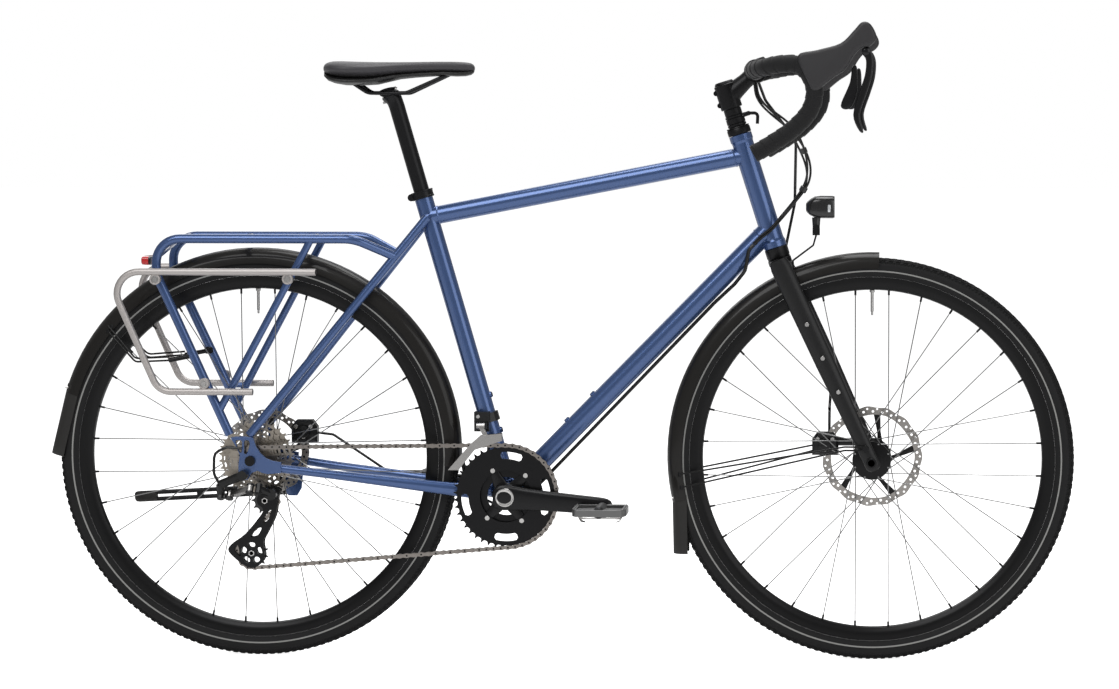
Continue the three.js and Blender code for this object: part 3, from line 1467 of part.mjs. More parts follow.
function spiderArms() {
  const outer = -large_ring_offset + ring.thickness / 2 + seat_gap;
  const inner = -small_ring_offset - ring.thickness / 2 - seat_gap;
  return spider.arm_angles.map((angle) => {
    const way = place(Math.cos(angle), 0, Math.sin(angle));
    const over = place(-way.z, 0, way.x);
    const at = (reach) => beside(along(bracket, way, reach), 0, (outer + inner) / 2, 0);
    const half = (inner - outer) / 2;
    return loft([
      oval(at(0), along_y, half, over, spider.half_width * 1.4, 4, 0.5),
      oval(at(spider.reach), along_y, half, over, spider.half_width, 4, 0.5),
    ]);
  });
}

function rightCrank() {
  const spindle_left = arm.offset + arm.boss_thickness / 2 + spindle.end_cap / 5;
  const hub_inner = -small_ring_offset + ring.thickness;
  return cut(
    join(
      crankArm(right_pedal_centre, right),
      cross(bracket, -arm.offset, spindle_left, spindle.radius, { sides: 12 }),
      cross(bracket, -arm.offset, -shell.width / 2 - 2 * seat_gap - cup.width, arm.boss * 0.95, { sides: 12 }),
      spiderArms(),
    ),
    cross(bracket, -arm.offset - arm.boss_thickness, -arm.offset - arm.boss_thickness / 4, spindle.end_cap * 0.8, { sides: 12 }),
    ringBolts(ring_bolt.radius + seat_gap),
  );
}

function leftCrank() {
  return cut(
    crankArm(left_pedal_centre, left),
    cross(bracket, 0, arm.offset + arm.boss_thickness, spindle.radius + seat_gap, { sides: 12 }),
  );
}

function ringBolts(radius) {
  return spider.arm_angles.map((angle) => {
    const point = beside(bracket, ring_bolt.at * Math.cos(angle), 0, ring_bolt.at * Math.sin(angle));
    return cross(point, -large_ring_offset, -small_ring_offset, radius, { sides: 8 });
  });
}

// Chainrings: both rings, bolted together through the spider
function chainrings() {
  const slots = ring_slots.map(({ middle, half }) =>
    arcSlot(bracket, large_ring.slot_radius, large_ring.slot_half_width, middle, half));
  const large = plate(toothed(bracket, ring.large_teeth), ring.thickness, -large_ring_offset, {
    holes: [circle(bracket, large_ring.inner, 12), ...slots],
  });
  const small = plate(toothed(bracket, ring.small_teeth), ring.thickness, -small_ring_offset, {
    holes: [circle(bracket, small_ring.inner, 12)],
  });
  return join(large, small, ringBolts(ring_bolt.radius));
}

// Pedals: a cage round the axle's sleeve, with a clip on one face
function pedalBody(centre, side) {
  const middle = beside(centre, 0, side * pedal_middle, 0);
  const outer = new THREE.Shape(
    [[-0.5, -0.3], [-0.42, -0.5], [0.42, -0.5], [0.5, -0.3], [0.5, 0.3], [0.42, 0.5], [-0.42, 0.5], [-0.5, 0.3]].map(
      ([x, y]) => new THREE.Vector2(x * pedal.length, y * pedal.width)),
  );
  const inner_length = pedal.length - 2 * pedal.wall;
  const inner_width = pedal.width - 2 * pedal.wall;
  const corner = (x, y) => new THREE.Vector2((x * inner_length) / 2, (y * inner_width) / 2);
  outer.holes.push(new THREE.Path([corner(-1, -1), corner(-1, 1), corner(1, 1), corner(1, -1)]));
  const cage = new THREE.ExtrudeGeometry(outer, { depth: pedal.height, bevelEnabled: false });
  cage.translate(middle.x, middle.y, middle.z - pedal.height / 2);
  const half = pedal.width / 2 - pedal.wall / 2;
  const clip = block(beside(middle, 0, 0, -pedal.clip_drop / 2), pedal.length - pedal.wall, pedal.clip, pedal.clip_drop);
  return cut(
    join(cage, cross(centre, middle.y - half, middle.y + half, pedal.sleeve, { sides: 12 }), clip),
    cross(centre, side * (arm.eye_offset), side * (pedal_middle + pedal.width), pedal.axle + turning_gap, { sides: 12 }),
  );
}

// Chain: side plates along the pitch line round four toothed wheels, with pins on the straight runs
const upper_pulley_centre = beside(rear_axle, upper_pulley.ahead, -cog.first_offset, -upper_pulley.drop);
const lower_pulley_centre = beside(rear_axle, -lower_pulley.behind, -cog.first_offset, -lower_pulley.drop);
const chain_wheels = [
  { centre: bracket, radius: pitchRadius(ring.large_teeth), turn: -1 },
  { centre: lower_pulley_centre, radius: pitchRadius(pulley.lower_teeth), turn: -1 },
  { centre: upper_pulley_centre, radius: pitchRadius(pulley.upper_teeth), turn: 1 },
  { centre: rear_axle, radius: pitchRadius(cog_teeth[0]), turn: -1 },
];

// The heading of the straight run from one wheel to the next.
function runHeading(from, to) {
  const across = to.centre.x - from.centre.x;
  const up = to.centre.z - from.centre.z;
  const share = (from.turn * from.radius - to.turn * to.radius) / Math.hypot(across, up);
  return Math.atan2(up, across) + Math.asin(share);
}

// The side of the run that the wheels' contact points are counted from.
function rightOf(heading) {
  return place(Math.sin(heading), 0, -Math.cos(heading));
}

// The chain's stations: a centre with a signed reach and a heading for each.
function chainStations() {
  const stations = [];
  const lateral_rear = rear_axle.x + chain.straight_from_axle;
  const lateral_front = bracket.x - chain.straight_from_ring;
  chain_wheels.forEach((wheel, i) => {
    const before = chain_wheels[(i + 3) % 4];
    const after = chain_wheels[(i + 1) % 4];
    const heading_in = runHeading(before, wheel);
    let heading_out = runHeading(wheel, after);
    while (wheel.turn * (heading_out - heading_in) < 0) heading_out += wheel.turn * TURN;
    const steps = Math.max(3, Math.round(Math.abs(heading_out - heading_in) / (wheel.radius > cog.core * 2 ? 15 * DEG : 30 * DEG)));
    for (let k = 0; k <= steps; k++) {
      const heading = heading_in + ((heading_out - heading_in) * k) / steps;
      stations.push({ point: along(wheel.centre, rightOf(heading), wheel.turn * wheel.radius), side: rightOf(heading) });
    }
    const start = along(wheel.centre, rightOf(heading_out), wheel.turn * wheel.radius);
    const end = along(after.centre, rightOf(heading_out), after.turn * after.radius);
    const between = (x) => ({ point: start.clone().lerp(end, (x - start.x) / (end.x - start.x)), side: rightOf(heading_out) });
    if (i === 0) stations.push(between(lateral_front), between(lateral_rear));
    if (i === 3) stations.push(between(lateral_rear), between(lateral_front));
  });
  return stations;
}

// The chain's side offset at an X: on the small cog behind, on the large ring ahead.
function chainOffset(x) {
  const rear = rear_axle.x + chain.straight_from_axle;
  const front = bracket.x - chain.straight_from_ring;
  const share = THREE.MathUtils.clamp((x - rear) / (front - rear), 0, 1);
  return THREE.MathUtils.lerp(-cog.first_offset, -large_ring_offset, share);
}

// One row of side plates: a closed band that keeps to the chain's side offset at every station.
function chainBand(stations, side) {
  const middle = (side * (chain.inner_width + chain.plate)) / 2;
  const points = stations.flatMap(({ point, side: way }) =>
    [[1, 1], [-1, 1], [-1, -1], [1, -1]].map(([reach, face]) =>
      beside(along(point, way, reach * chain.half_height), 0, chainOffset(point.x) - point.y + middle + (face * chain.plate) / 2, 0)));
  const faces = [];
  for (let r = 0; r < stations.length; r++)
    for (let k = 0; k < 4; k++) {
      const [a, b] = [4 * r + k, 4 * r + ((k + 1) % 4)];
      const [c, d] = [a, b].map((index) => (index + 4) % points.length);
      faces.push(a, b, d, a, d, c);
    }
  const band = new THREE.BufferGeometry().setFromPoints(points);
  band.setIndex(faces);
  return band;
}

function chainPins(stations) {
  const half = (chain.inner_width + chain.plate) / 2;
  const clear = 3 * chain_pitch;
  return stations.flatMap(({ point: from }, i) => {
    const to = stations[(i + 1) % stations.length].point;
    const run = from.distanceTo(to);
    const count = run > 5 * chain_pitch ? 1 + Math.max(0, Math.floor((run - 2 * clear) / (3 * chain_pitch))) : 0;
    return Array.from({ length: count }, (_, k) => {
      const point = from.clone().lerp(to, 0.5 + ((k - (count - 1) / 2) * 3 * chain_pitch) / run);
      const offset = chainOffset(point.x);
      return cross(point, offset - half, offset + half, chain.pin, { sides: 5 });
    });
  });
}

function chainWhole() {
  const stations = chainStations();
  return join(chainBand(stations, 1), chainBand(stations, -1), chainPins(stations));
}

// Cassette: eleven cogs on one core
function cassette() {
  const cogs = cog_teeth.map((teeth, i) => {
    const outline = i % 2 ? circle(rear_axle, pitchRadius(teeth), teeth) : toothed(rear_axle, teeth);
    return plate(outline, cog.thickness, -cog.first_offset + i * cog.spacing);
  });
  const outer = -cog.first_offset - cog.thickness / 2;
  const inner = -cog.first_offset + (cog_teeth.length - 1) * cog.spacing + cog.thickness / 2;
  return cut(
    join(cogs, cross(rear_axle, outer, inner, cog.core, { sides: 10 })),
    cross(rear_axle, outer - cut_overrun, inner + cut_overrun, cog.bore, { sides: 10 }),
  );
}

// Rear derailleur
const slant_up = place(0, Math.sin(rear_mech.slant), Math.cos(rear_mech.slant));
const link_out = place(Math.cos(rear_mech.swing), -Math.sin(rear_mech.swing) * Math.cos(rear_mech.slant),
  Math.sin(rear_mech.swing) * Math.sin(rear_mech.slant));
const link_rear = beside(rear_axle, -rear_mech.link_rear, -rear_mech.link_out, -rear_mech.link_drop);
const link_front = along(link_rear, link_out, rear_mech.link_length);
const cage_pivot = beside(rear_axle, rear_mech.cage_pivot_ahead, -cog.first_offset, -rear_mech.cage_pivot_drop);
const hanger_bolt = beside(rear_axle, -hanger.behind, 0, -hanger.drop);

function knuckleRear() {
  const outer = -rear_mech.link_out;
  const half = rear_mech.link_height / 2 + turning_gap;
  const bolt_inner = -dropout_outer - seat_gap;
  const arm_top = beside(hanger_bolt, -hanger.behind * 2, outer - hanger.radius, -hanger.radius);
  const elbow = beside(link_rear, -rear_mech.pivot, 0, 0);
  const ears = [1, -1].map((side) => {
    const near = along(link_rear, slant_up, side * half);
    const far = along(near, slant_up, side * rear_mech.pivot);
    return rod(near, far, hanger.radius * 0.8, { sides: 8 });
  });
  const ear_join = along(elbow, along_x, -hanger.radius * 1.4);
  const back = rod(along(ear_join, slant_up, -half - rear_mech.pivot), along(ear_join, slant_up, half + rear_mech.pivot), hanger.radius * 0.7, { sides: 8 });
  const webs = [1, -1].map((side) => {
    const level = side * (half + rear_mech.pivot / 2);
    return rod(along(ear_join, slant_up, level), along(link_rear, slant_up, level), rear_mech.pivot / 2, { sides: 6 });
  });
  return join(
    cross(hanger_bolt, bolt_inner - 2 * hanger.radius, bolt_inner, hanger.radius, { sides: 12 }),
    rod(beside(hanger_bolt, 0, bolt_inner - hanger.radius, 0), place(ear_join.x, bolt_inner - hanger.radius, ear_join.z + hanger.radius * 2), hanger.radius * 0.9, { sides: 8 }),
    rod(place(ear_join.x, bolt_inner - hanger.radius, ear_join.z + hanger.radius * 2), ear_join, hanger.radius * 0.8, { sides: 8 }),
    back,
    ears,
    webs,
    hingePin(link_rear),
    rearMechCable(),
  );
}

function mechLink() {
  const half = rear_mech.link_height / 2;
  const eye = (point) => rod(along(point, slant_up, -half), along(point, slant_up, half), rear_mech.link_thickness, { sides: 12 });
  const bar_from = along(link_rear, slant_up, 0);
  const over = new THREE.Vector3().crossVectors(link_out, slant_up).normalize();
  return cut(
    join(
      eye(link_rear),
      eye(link_front),
      loft([bar_from, link_front].map((centre) => oval(centre, over, rear_mech.link_thickness * 0.7, slant_up, half, 4, 0.5))),
    ),
    [link_rear, link_front].map((point) =>
      rod(along(point, slant_up, -half - cut_overrun), along(point, slant_up, half + cut_overrun), rear_mech.pivot, { sides: 8 })),
  );
}

// The pin through a link's eye, from ear to ear.
function hingePin(point) {
  const half = rear_mech.link_height / 2 + turning_gap + rear_mech.pivot / 2;
  return rod(along(point, slant_up, -half), along(point, slant_up, half), rear_mech.pivot - turning_gap, { sides: 8 });
}

function knuckleFront() {
  const half = rear_mech.link_height / 2 + turning_gap;
  const ear_join = along(link_front, along_x, hanger.radius * 1.7);
  const parts = [1, -1].flatMap((side) => {
    const near = along(link_front, slant_up, side * half);
    const level = side * (half + rear_mech.pivot / 2);
    return [
      rod(near, along(near, slant_up, side * rear_mech.pivot), hanger.radius * 0.8, { sides: 8 }),
      rod(along(ear_join, slant_up, level), along(link_front, slant_up, level), rear_mech.pivot / 2, { sides: 6 }),
    ];
  });
  const reach = half + rear_mech.pivot;
  const boss_inner = cage_pivot.y - rear_mech.plate_spread - rear_mech.plate / 2 - turning_gap;
  const boss_outer = boss_inner - 2 * hanger.radius;
  const boss_middle = place(cage_pivot.x, (boss_inner + boss_outer) / 2, cage_pivot.z);
  return join(
    parts,
    rod(along(ear_join, slant_up, -reach), along(ear_join, slant_up, reach), hanger.radius * 0.7, { sides: 8 }),
    hingePin(link_front),
    rod(ear_join, boss_middle, hanger.radius * 0.8, { sides: 8 }),
    cross(cage_pivot, boss_outer, boss_inner, hanger.radius * 1.1, { sides: 12 }),
    cross(cage_pivot, boss_inner, boss_inner + rear_mech.plate + 2 * turning_gap, rear_mech.pivot + turning_gap, { sides: 8 }),
  );
}

function mechCage() {
  const windows = () => cage_windows_shares.map((shares) => outlined(shares, cage_span, rear_axle));
  const side = (y, holes) =>
    plate(outlined(cage_outline_shares, cage_span, rear_axle), rear_mech.plate, y, { holes });
  const outer = -cog.first_offset - rear_mech.plate_spread;
  const inner = -cog.first_offset + rear_mech.plate_spread;
  return join(
    side(outer, [...windows(), circle(cage_pivot, rear_mech.pivot + 3 * turning_gap, 12)]),
    side(inner, windows()),
    [upper_pulley_centre, lower_pulley_centre].map((point) => cross(point, outer, inner, pulley.axle, { sides: 12 })),
  );
}

function pulleyWheel(centre, teeth) {
  const half = rear_mech.plate_spread - rear_mech.plate / 2 - turning_gap;
  const wheel = join(
    plate(toothed(centre, teeth), pulley.thickness, -cog.first_offset),
    cross(centre, -cog.first_offset - half, -cog.first_offset + half, pulley.hub, { sides: 12 }),
  );
  return cut(wheel, cross(centre, -cog.first_offset - 2 * half, -cog.first_offset + 2 * half, pulley.bore, { sides: 12 }));
}

// Front derailleur: a clamp with its body and the hinge pin, and the cage that swings on it
const front_pivot = beside(bracket, -front_mech.body_behind, -front_mech.hinge_offset, front_mech.pivot_rise);

function frontMechMount() {
  const clamp_middle = along(bracket, seat_up, front_mech.clamp_rise);
  const half = front_mech.clamp_height / 2;
  const ring_body = rod(along(clamp_middle, seat_up, -half), along(clamp_middle, seat_up, half), front_mech.clamp_radius, { sides: 12 });
  const body_inner = -seat_tube.radius - seat_gap;
  const body = beside(bracket, -front_mech.body_behind, body_inner - front_mech.body_width / 2, front_mech.body_rise);
  const eye_half = front_mech.eye_length / 2 + turning_gap;
  const ears = [-1, 1].map((side) => {
    const x = front_pivot.x + side * (eye_half + front_mech.ear / 2);
    const reach = (body.y + front_pivot.y) / 2;
    const wide = Math.abs(front_pivot.y - body.y) + front_mech.eye_radius;
    return block(place(x, reach - front_mech.eye_radius / 2, front_pivot.z), front_mech.ear, wide, 2 * front_mech.eye_radius);
  });
  const pin_half = eye_half + front_mech.ear / 2;
  return cut(
    join(
      ring_body,
      block(body, front_mech.body_length, front_mech.body_width, front_mech.body_height),
      ears,
      rod(along(front_pivot, along_x, -pin_half), along(front_pivot, along_x, pin_half), front_mech.pin, { sides: 8 }),
    ),
    rod(bracket, seat_top, seat_tube.radius + seat_gap, { sides: 12 }),
  );
}

function frontMechCage() {
  const outline = () => outlined(front_cage_shares, 100, bracket);
  const sides = [-1, 1].map((side) => plate(outline(), front_mech.plate, -large_ring_offset + side * front_mech.plate_spread));
  const wide = 2 * front_mech.plate_spread;
  const bridge_middle = beside(bracket, -front_mech.bridge_behind, -large_ring_offset, front_mech.bridge_rise);
  const bridge = block(bridge_middle, front_mech.bridge_length, wide, 2 * front_mech.spread_pin);
  const tail_point = beside(bracket, -front_mech.tail_behind, 0, front_mech.tail_rise);
  const tail_from = -large_ring_offset - front_mech.plate_spread;
  const tail = cross(tail_point, tail_from, tail_from + wide, front_mech.spread_pin, { sides: 6 });
  const eye_half = front_mech.eye_length / 2;
  const eye_piece = rod(along(front_pivot, along_x, -eye_half), along(front_pivot, along_x, eye_half), front_mech.eye_radius, { sides: 12 });
  const carrier = loft([
    oval(beside(bridge_middle, -front_mech.ear, front_mech.spread_pin, 0), along_x, front_mech.eye_radius, along_y, front_mech.ear, 4, 0.3),
    oval(front_pivot, along_x, front_mech.eye_radius, along_y, front_mech.pin, 4, 0.3),
  ]);
  return cut(
    join(sides, bridge, tail, eye_piece, carrier),
    rod(along(front_pivot, along_x, -front_mech.body_length), along(front_pivot, along_x, front_mech.body_length), front_mech.pin + turning_gap, { sides: 8 }),
  );
}

// Kickstand leg: a hub on the slanted pin, two rods and a foot, folded up along the chainstay
const stand_axis = place(0, Math.cos(stand_splay), Math.sin(stand_splay));
const stand_down = place(0, Math.sin(stand_splay), -Math.cos(stand_splay));
const stand_way = along_x.clone().multiplyScalar(-Math.cos(stand_droop)).addScaledVector(stand_down, Math.sin(stand_droop));

function standPin() {
  return join(
    rod(along(stand_pivot, stand_axis, -stand.pin_inner), along(stand_pivot, stand_axis, stand.pin_outer), stand.pin, { sides: 8 }),
    rod(along(stand_pivot, stand_axis, stand.hub_outer + turning_gap), along(stand_pivot, stand_axis, stand.pin_outer), stand.foot * 0.8, { sides: 8 }),
  );
}

function standLeg() {
  const over = new THREE.Vector3().crossVectors(stand_way, stand_axis).normalize();
  const tip = along(stand_pivot, stand_way, stand.length);
  const rods = [-0.5, 0.5].map((share) => {
    const shift = share * stand.rod_gap;
    return rod(along(stand_pivot, over, shift), along(along(tip, over, shift), stand_way, -stand.foot), stand.rod, { sides: 8 });
  });
  return cut(
    join(
      rod(along(stand_pivot, stand_axis, -stand.hub_inner), along(stand_pivot, stand_axis, stand.hub_outer), stand.hub, { sides: 12 }),
      rods,
      loft(
        [[1, 0.8], [0.75, 1], [0.2, 1], [0, 0.7]].map(([share, size]) =>
          oval(along(tip, stand_way, -share * stand.foot_length), stand_axis, size * stand.foot * 0.8, over, size * stand.foot * 1.15, 10, 0.8)),
      ),
    ),
    rod(along(stand_pivot, stand_axis, -2 * stand.hub), along(stand_pivot, stand_axis, 2 * stand.hub), stand.pin + 2 * turning_gap, { sides: 8 }),
  );
}

// Headlight on its bracket before the crown
const lamp_middle = beside(fork_crown, lamp.ahead, 0, lamp.rise);
const lamp_pivot = beside(lamp_middle, -lamp_bracket.pivot_behind, 0, -lamp_bracket.pivot_drop);

// The outline of a flat strip that follows points in the X-Z plane.
function stripOutline(points, thickness) {
  const edge = (side) =>
    points.map((point, i) => {
      const way = points[Math.min(i + 1, points.length - 1)].clone().sub(points[Math.max(i - 1, 0)]).normalize();
      return new THREE.Vector2(point.x - (way.z * side * thickness) / 2, point.z + (way.x * side * thickness) / 2);
    });
  return [...edge(1), ...edge(-1).reverse()];
}

// Two ears with a pin between them, reaching from a root to a pivot about Y.
function clevis(root, pivot, inside, ear, radius, pin) {
  const half = inside + ear;
  const ears = [-1, 1].flatMap((side) => {
    const y = pivot.y + side * (inside + ear / 2);
    return [plate(stripOutline([root, pivot], 2 * radius), ear, y), cross(pivot, y - ear / 2, y + ear / 2, radius, { sides: 8 })];
  });
  return [...ears, cross(pivot, pivot.y - half, pivot.y + half, pin, { sides: 8 })];
}

function lampBracket() {
  const x = fork_crown.x + fork.crown_half_length * 0.8 + seat_gap + lamp_bracket.thickness / 2;
  const strip_top = beside(lamp_pivot, 0, 0, -lamp_bracket.eye - 2 * lamp_bracket.thickness);
  const points = [
    place(x, 0, fork_crown.z - lamp_bracket.foot_drop),
    place(x, 0, fork_crown.z + fork.crown_drop / 3),
    beside(fork_crown, lamp_bracket.elbow_ahead, 0, lamp_bracket.elbow_rise),
    strip_top,
  ];
  const ear = lamp_bracket.thickness;
  const inside = lamp_bracket.width / 2 - ear;
  return join(
    plate(stripOutline(points, lamp_bracket.thickness), lamp_bracket.width, 0),
    clevis(strip_top, lamp_pivot, inside, ear, lamp_bracket.eye - turning_gap, lamp_bracket.pin),
  );
}

const lamp_outline_shares = [
  [-0.5, -0.2],
  [-0.38, -0.5],
  [0.42, -0.5],
  [0.5, -0.4],
  [0.5, 0.36],
  [0.4, 0.5],
  [-0.2, 0.5],
  [-0.5, 0.2],
];

function headlight() {
  const outline = lamp_outline_shares.map(([x, z]) =>
    new THREE.Vector2(lamp_middle.x + x * lamp.length, lamp_middle.z + z * lamp.height));
  const half = lamp_bracket.width / 2 - lamp_bracket.thickness - turning_gap;
  const top = beside(lamp_pivot, 0, 0, lamp_bracket.pivot_drop - lamp.height / 2 + lamp_bracket.thickness);
  return cut(
    join(
      plate(outline, lamp.width, 0, { bevel: lamp.lens }),
      plate(stripOutline([lamp_pivot, top], 2 * lamp_bracket.eye), 2 * half, 0),
      cross(lamp_pivot, -half, half, lamp_bracket.eye, { sides: 12 }),
    ),
    cross(lamp_pivot, -lamp.width, lamp.width, lamp_bracket.pin + turning_gap, { sides: 8 }),
  );
}

// Hoses and cables
function frontHose() {
  const start = beside(bar_centre, 0, bar.tape_start + 2 * hose.radius, -tape.radius - hose.radius - seat_gap);
  const outside = fork.blade_spread + fork.blade_thickness + 2 * hose.radius;
  const over_crown = beside(fork_crown, 0, outside, 0);
  const middle = blade_foot.clone().lerp(blade_top, 0.42);
  const beside_blade = beside(middle, -fork.blade_length * 0.3, fork.blade_thickness + 2 * hose.radius, 0);
  const end = beside(
    front_axle,
    -front_caliper_place.behind + caliper.length * 0.15,
    front_rotor_offset + caliper.outer / 2,
    front_caliper_place.rise + caliper.height / 2 + seat_gap,
  );
  const points = [
    start,
    beside(start, 12, 0, -32),
    beside(bar_centre, 66, outside, -120),
    beside(bar_centre, 64, outside, -230),
    beside(over_crown, 4, 2, 18),
    beside_blade,
    place(end.x, beside_blade.y, beside_blade.z - 60),
    beside(end, 0, 0, 40),
    end,
  ];
  return tube(bent(points, 24, 2), hose.radius, hose.sides);
}

const cable_run_length = down_tube_run.length() - 38;
const cable_lift = down_tube.radius + frame_bundle.radius + 2 * seat_gap;

// A point beside the down tube, at a share of its length and an angle round it from its underside to its right.
function besideDownTube(share, turn, lift) {
  const middle = along(bracket, down_tube_way, cable_run_length * share);
  return along(along(middle, down_tube_over, -lift * Math.cos(turn)), along_y, -lift * Math.sin(turn));
}

function steeringCables() {
  const end = besideDownTube(1, 90 * DEG, down_tube.radius + bundle.radius + 2 * seat_gap);
  const start = beside(bar_centre, 0, -bar.tape_start - bundle.radius, -tape.radius - bundle.radius - seat_gap);
  const points = [
    start,
    beside(start, 14, 0, -34),
    beside(bar_centre, 74, -46, -112),
    beside(head_bottom, 52, -34, 110),
    along(beside(end, 0, -8, 0), down_tube_way, 44),
    along(end, down_tube_way, 22),
    along(end, down_tube_way, 3 * seat_gap),
  ];
  return tube(bent(points, 22, 2), bundle.radius, bundle.sides);
}

function frameCables() {
  const below_shell = -shell.radius - frame_bundle.radius - 3 * seat_gap;
  const shared = [
    besideDownTube(1, 90 * DEG, cable_lift),
    besideDownTube(0.98, 90 * DEG, cable_lift),
    besideDownTube(0.93, 45 * DEG, cable_lift * 1.35),
    besideDownTube(0.88, 0, cable_lift * 1.1),
    besideDownTube(0.8, 0, cable_lift),
    besideDownTube(0.1, 0, cable_lift * 1.2),
    beside(bracket, 10, 0, below_shell),
    beside(bracket, -14, 0, below_shell),
  ];
  const split = shared.at(-1);
  return join(
    tube(bent(shared, 14, 2), frame_bundle.radius, hose.sides),
    tube(bent([split, ...rearBrakeHose()], 9, 2), hose.radius, hose.sides),
  );
}

// Below a chainstay, clear of it by the seat gap.
function belowChainstay(x, side) {
  const point = onChainstay(x);
  const drop = chainstay.front_height + hose.radius + seat_gap;
  return place(x, side * point.y, point.z - drop);
}

// The cable loop from the right dropout's rear edge round to the derailleur's knuckle.
function rearMechCable() {
  const side = -dropout_outer - hose.radius - seat_gap;
  const points = [
    beside(rear_axle, -14, side, 22),
    beside(rear_axle, -40, side, 24),
    beside(rear_axle, -62, side, 14),
    beside(rear_axle, -63, side, -22),
    beside(rear_axle, -51, side - 5, -42),
  ];
  return tube(bent(points, 14, 2), hose.radius, hose.sides);
}

function rearBrakeHose() {
  const side = rear_rotor_offset + caliper.outer / 2;
  const end = beside(rear_axle, rear_caliper_place.ahead + caliper.length / 2 + seat_gap, side, rear_caliper_place.rise - 4);
  return [
    belowChainstay(bracket.x - 60, left),
    belowChainstay(bracket.x - 150, left),
    beside(onChainstay(bracket.x - 190), 0, chainstay.front_width + hose.radius * 3, -14),
    beside(onChainstay(bracket.x - 230), 0, chainstay.front_width + hose.radius * 3, 4),
    beside(end, 26, 0, -3),
    end,
  ];
}

function rearAxlePin() {
  const end = dropout_outer + seat_gap + axle.head_length;
  return join(
    cross(rear_axle, -end, end, axle.radius, { sides: 12 }),
    [right, left].map((side) =>
      cross(rear_axle, side * (end - axle.head_length), side * end, axle.head_radius, { sides: 12 })),
  );
}

// All pieces, from the frame outwards
add("main_frame", mainFrame(), frame_blue());
add("stays_left", join(stays(), standMount(), standPin()), frame_blue());
add("stays_right", mirrored(stays()), frame_blue());
add("rack", rackWhole(), frame_blue());
add("pannier_rail_left", sideRail(), silver_grey());
add("pannier_rail_right", mirrored(sideRail()), silver_grey());
add("seat_clamp", seatClamp(), satin_black());
add("headset_upper", headsetCup(head_top, head_up, headset.upper), satin_black());
add("headset_lower", headsetCup(head_bottom, head_down, headset.lower), satin_black());
add("bottom_bracket", bottomBracket(), satin_black());
add("rear_mudguard", rearGuard(), satin_black());
add("rear_light", rearLamp(), red_lens());
add("rear_caliper", rearCaliper(), satin_black());
add("rear_axle", rearAxlePin(), satin_black());
add("front_derailleur_mount", frontMechMount(), silver_grey());
add("chain", chainWhole(), steel());
add("rear_derailleur_knuckle", knuckleRear(), satin_black());
add("frame_cables", frameCables(), rubber_black());
add("fork", forkWhole(), satin_black());
add("front_mudguard", frontGuard(), satin_black());
add("front_caliper", frontCaliper(), satin_black());
add("headset_spacers", spacers(), satin_black());
add("stem", stemWhole(), satin_black());
add("handlebar", handlebar(), satin_black());
add("bar_tape_left", barTape(), rubber_black());
add("bar_tape_right", mirrored(barTape()), rubber_black());
add("hood_left", hoodBody(), rubber_black());
add("hood_right", mirrored(hoodBody()), rubber_black());
add("lamp_bracket", lampBracket(), satin_black());
add("front_brake_hose", frontHose(), rubber_black());
add("steering_cables", steeringCables(), rubber_black());
add("headlight", headlight(), satin_black());
add("bell_lever", bellLever(), satin_black());
add("front_tyre", tyreRing(front_axle), rubber_black());
add("front_rim", rimRing(front_axle), satin_black());
add("front_hub", frontHub(), satin_black());
add("front_rotor", brakeRotor(front_axle, front_rotor_radius, front_rotor_offset), steel());
add("rear_tyre", tyreRing(rear_axle), rubber_black());
add("rear_rim", rimRing(rear_axle), satin_black());
add("rear_hub", rearHub(), satin_black());
add("rear_rotor", brakeRotor(rear_axle, rear_rotor_radius, rear_rotor_offset), steel());
add("cassette", cassette(), steel());
add("crank_right", rightCrank(), satin_black());
add("crank_left", leftCrank(), satin_black());
add("chainrings", chainrings(), satin_black());
add("pedal_right", pedalBody(right_pedal_centre, right), silver_grey());
add("pedal_left", pedalBody(left_pedal_centre, left), silver_grey());
add("rear_derailleur_link", mechLink(), silver_grey());
add("rear_derailleur_body", knuckleFront(), satin_black());
add("rear_derailleur_cage", mechCage(), silver_grey());
add("pulley_upper", pulleyWheel(upper_pulley_centre, pulley.upper_teeth), satin_black());
add("pulley_lower", pulleyWheel(lower_pulley_centre, pulley.lower_teeth), satin_black());
add("front_derailleur_cage", frontMechCage(), silver_grey());
add("brake_lever_left", brakeLever(), satin_black());
add("brake_lever_right", mirrored(brakeLever()), satin_black());
add("shift_paddle_left", shiftPaddle(), satin_black());
add("shift_paddle_right", mirrored(shiftPaddle()), satin_black());
add("seatpost", seatPost(), satin_black());
add("saddle", saddleWhole(), rubber_black());
add("kickstand_leg", standLeg(), satin_black());

export default bicycle;
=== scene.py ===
"""A touring bicycle with a welded rear rack, drop bar, disc brakes, mudguards and lights."""
import math

import bmesh
import bpy
from mathutils import Matrix, Vector


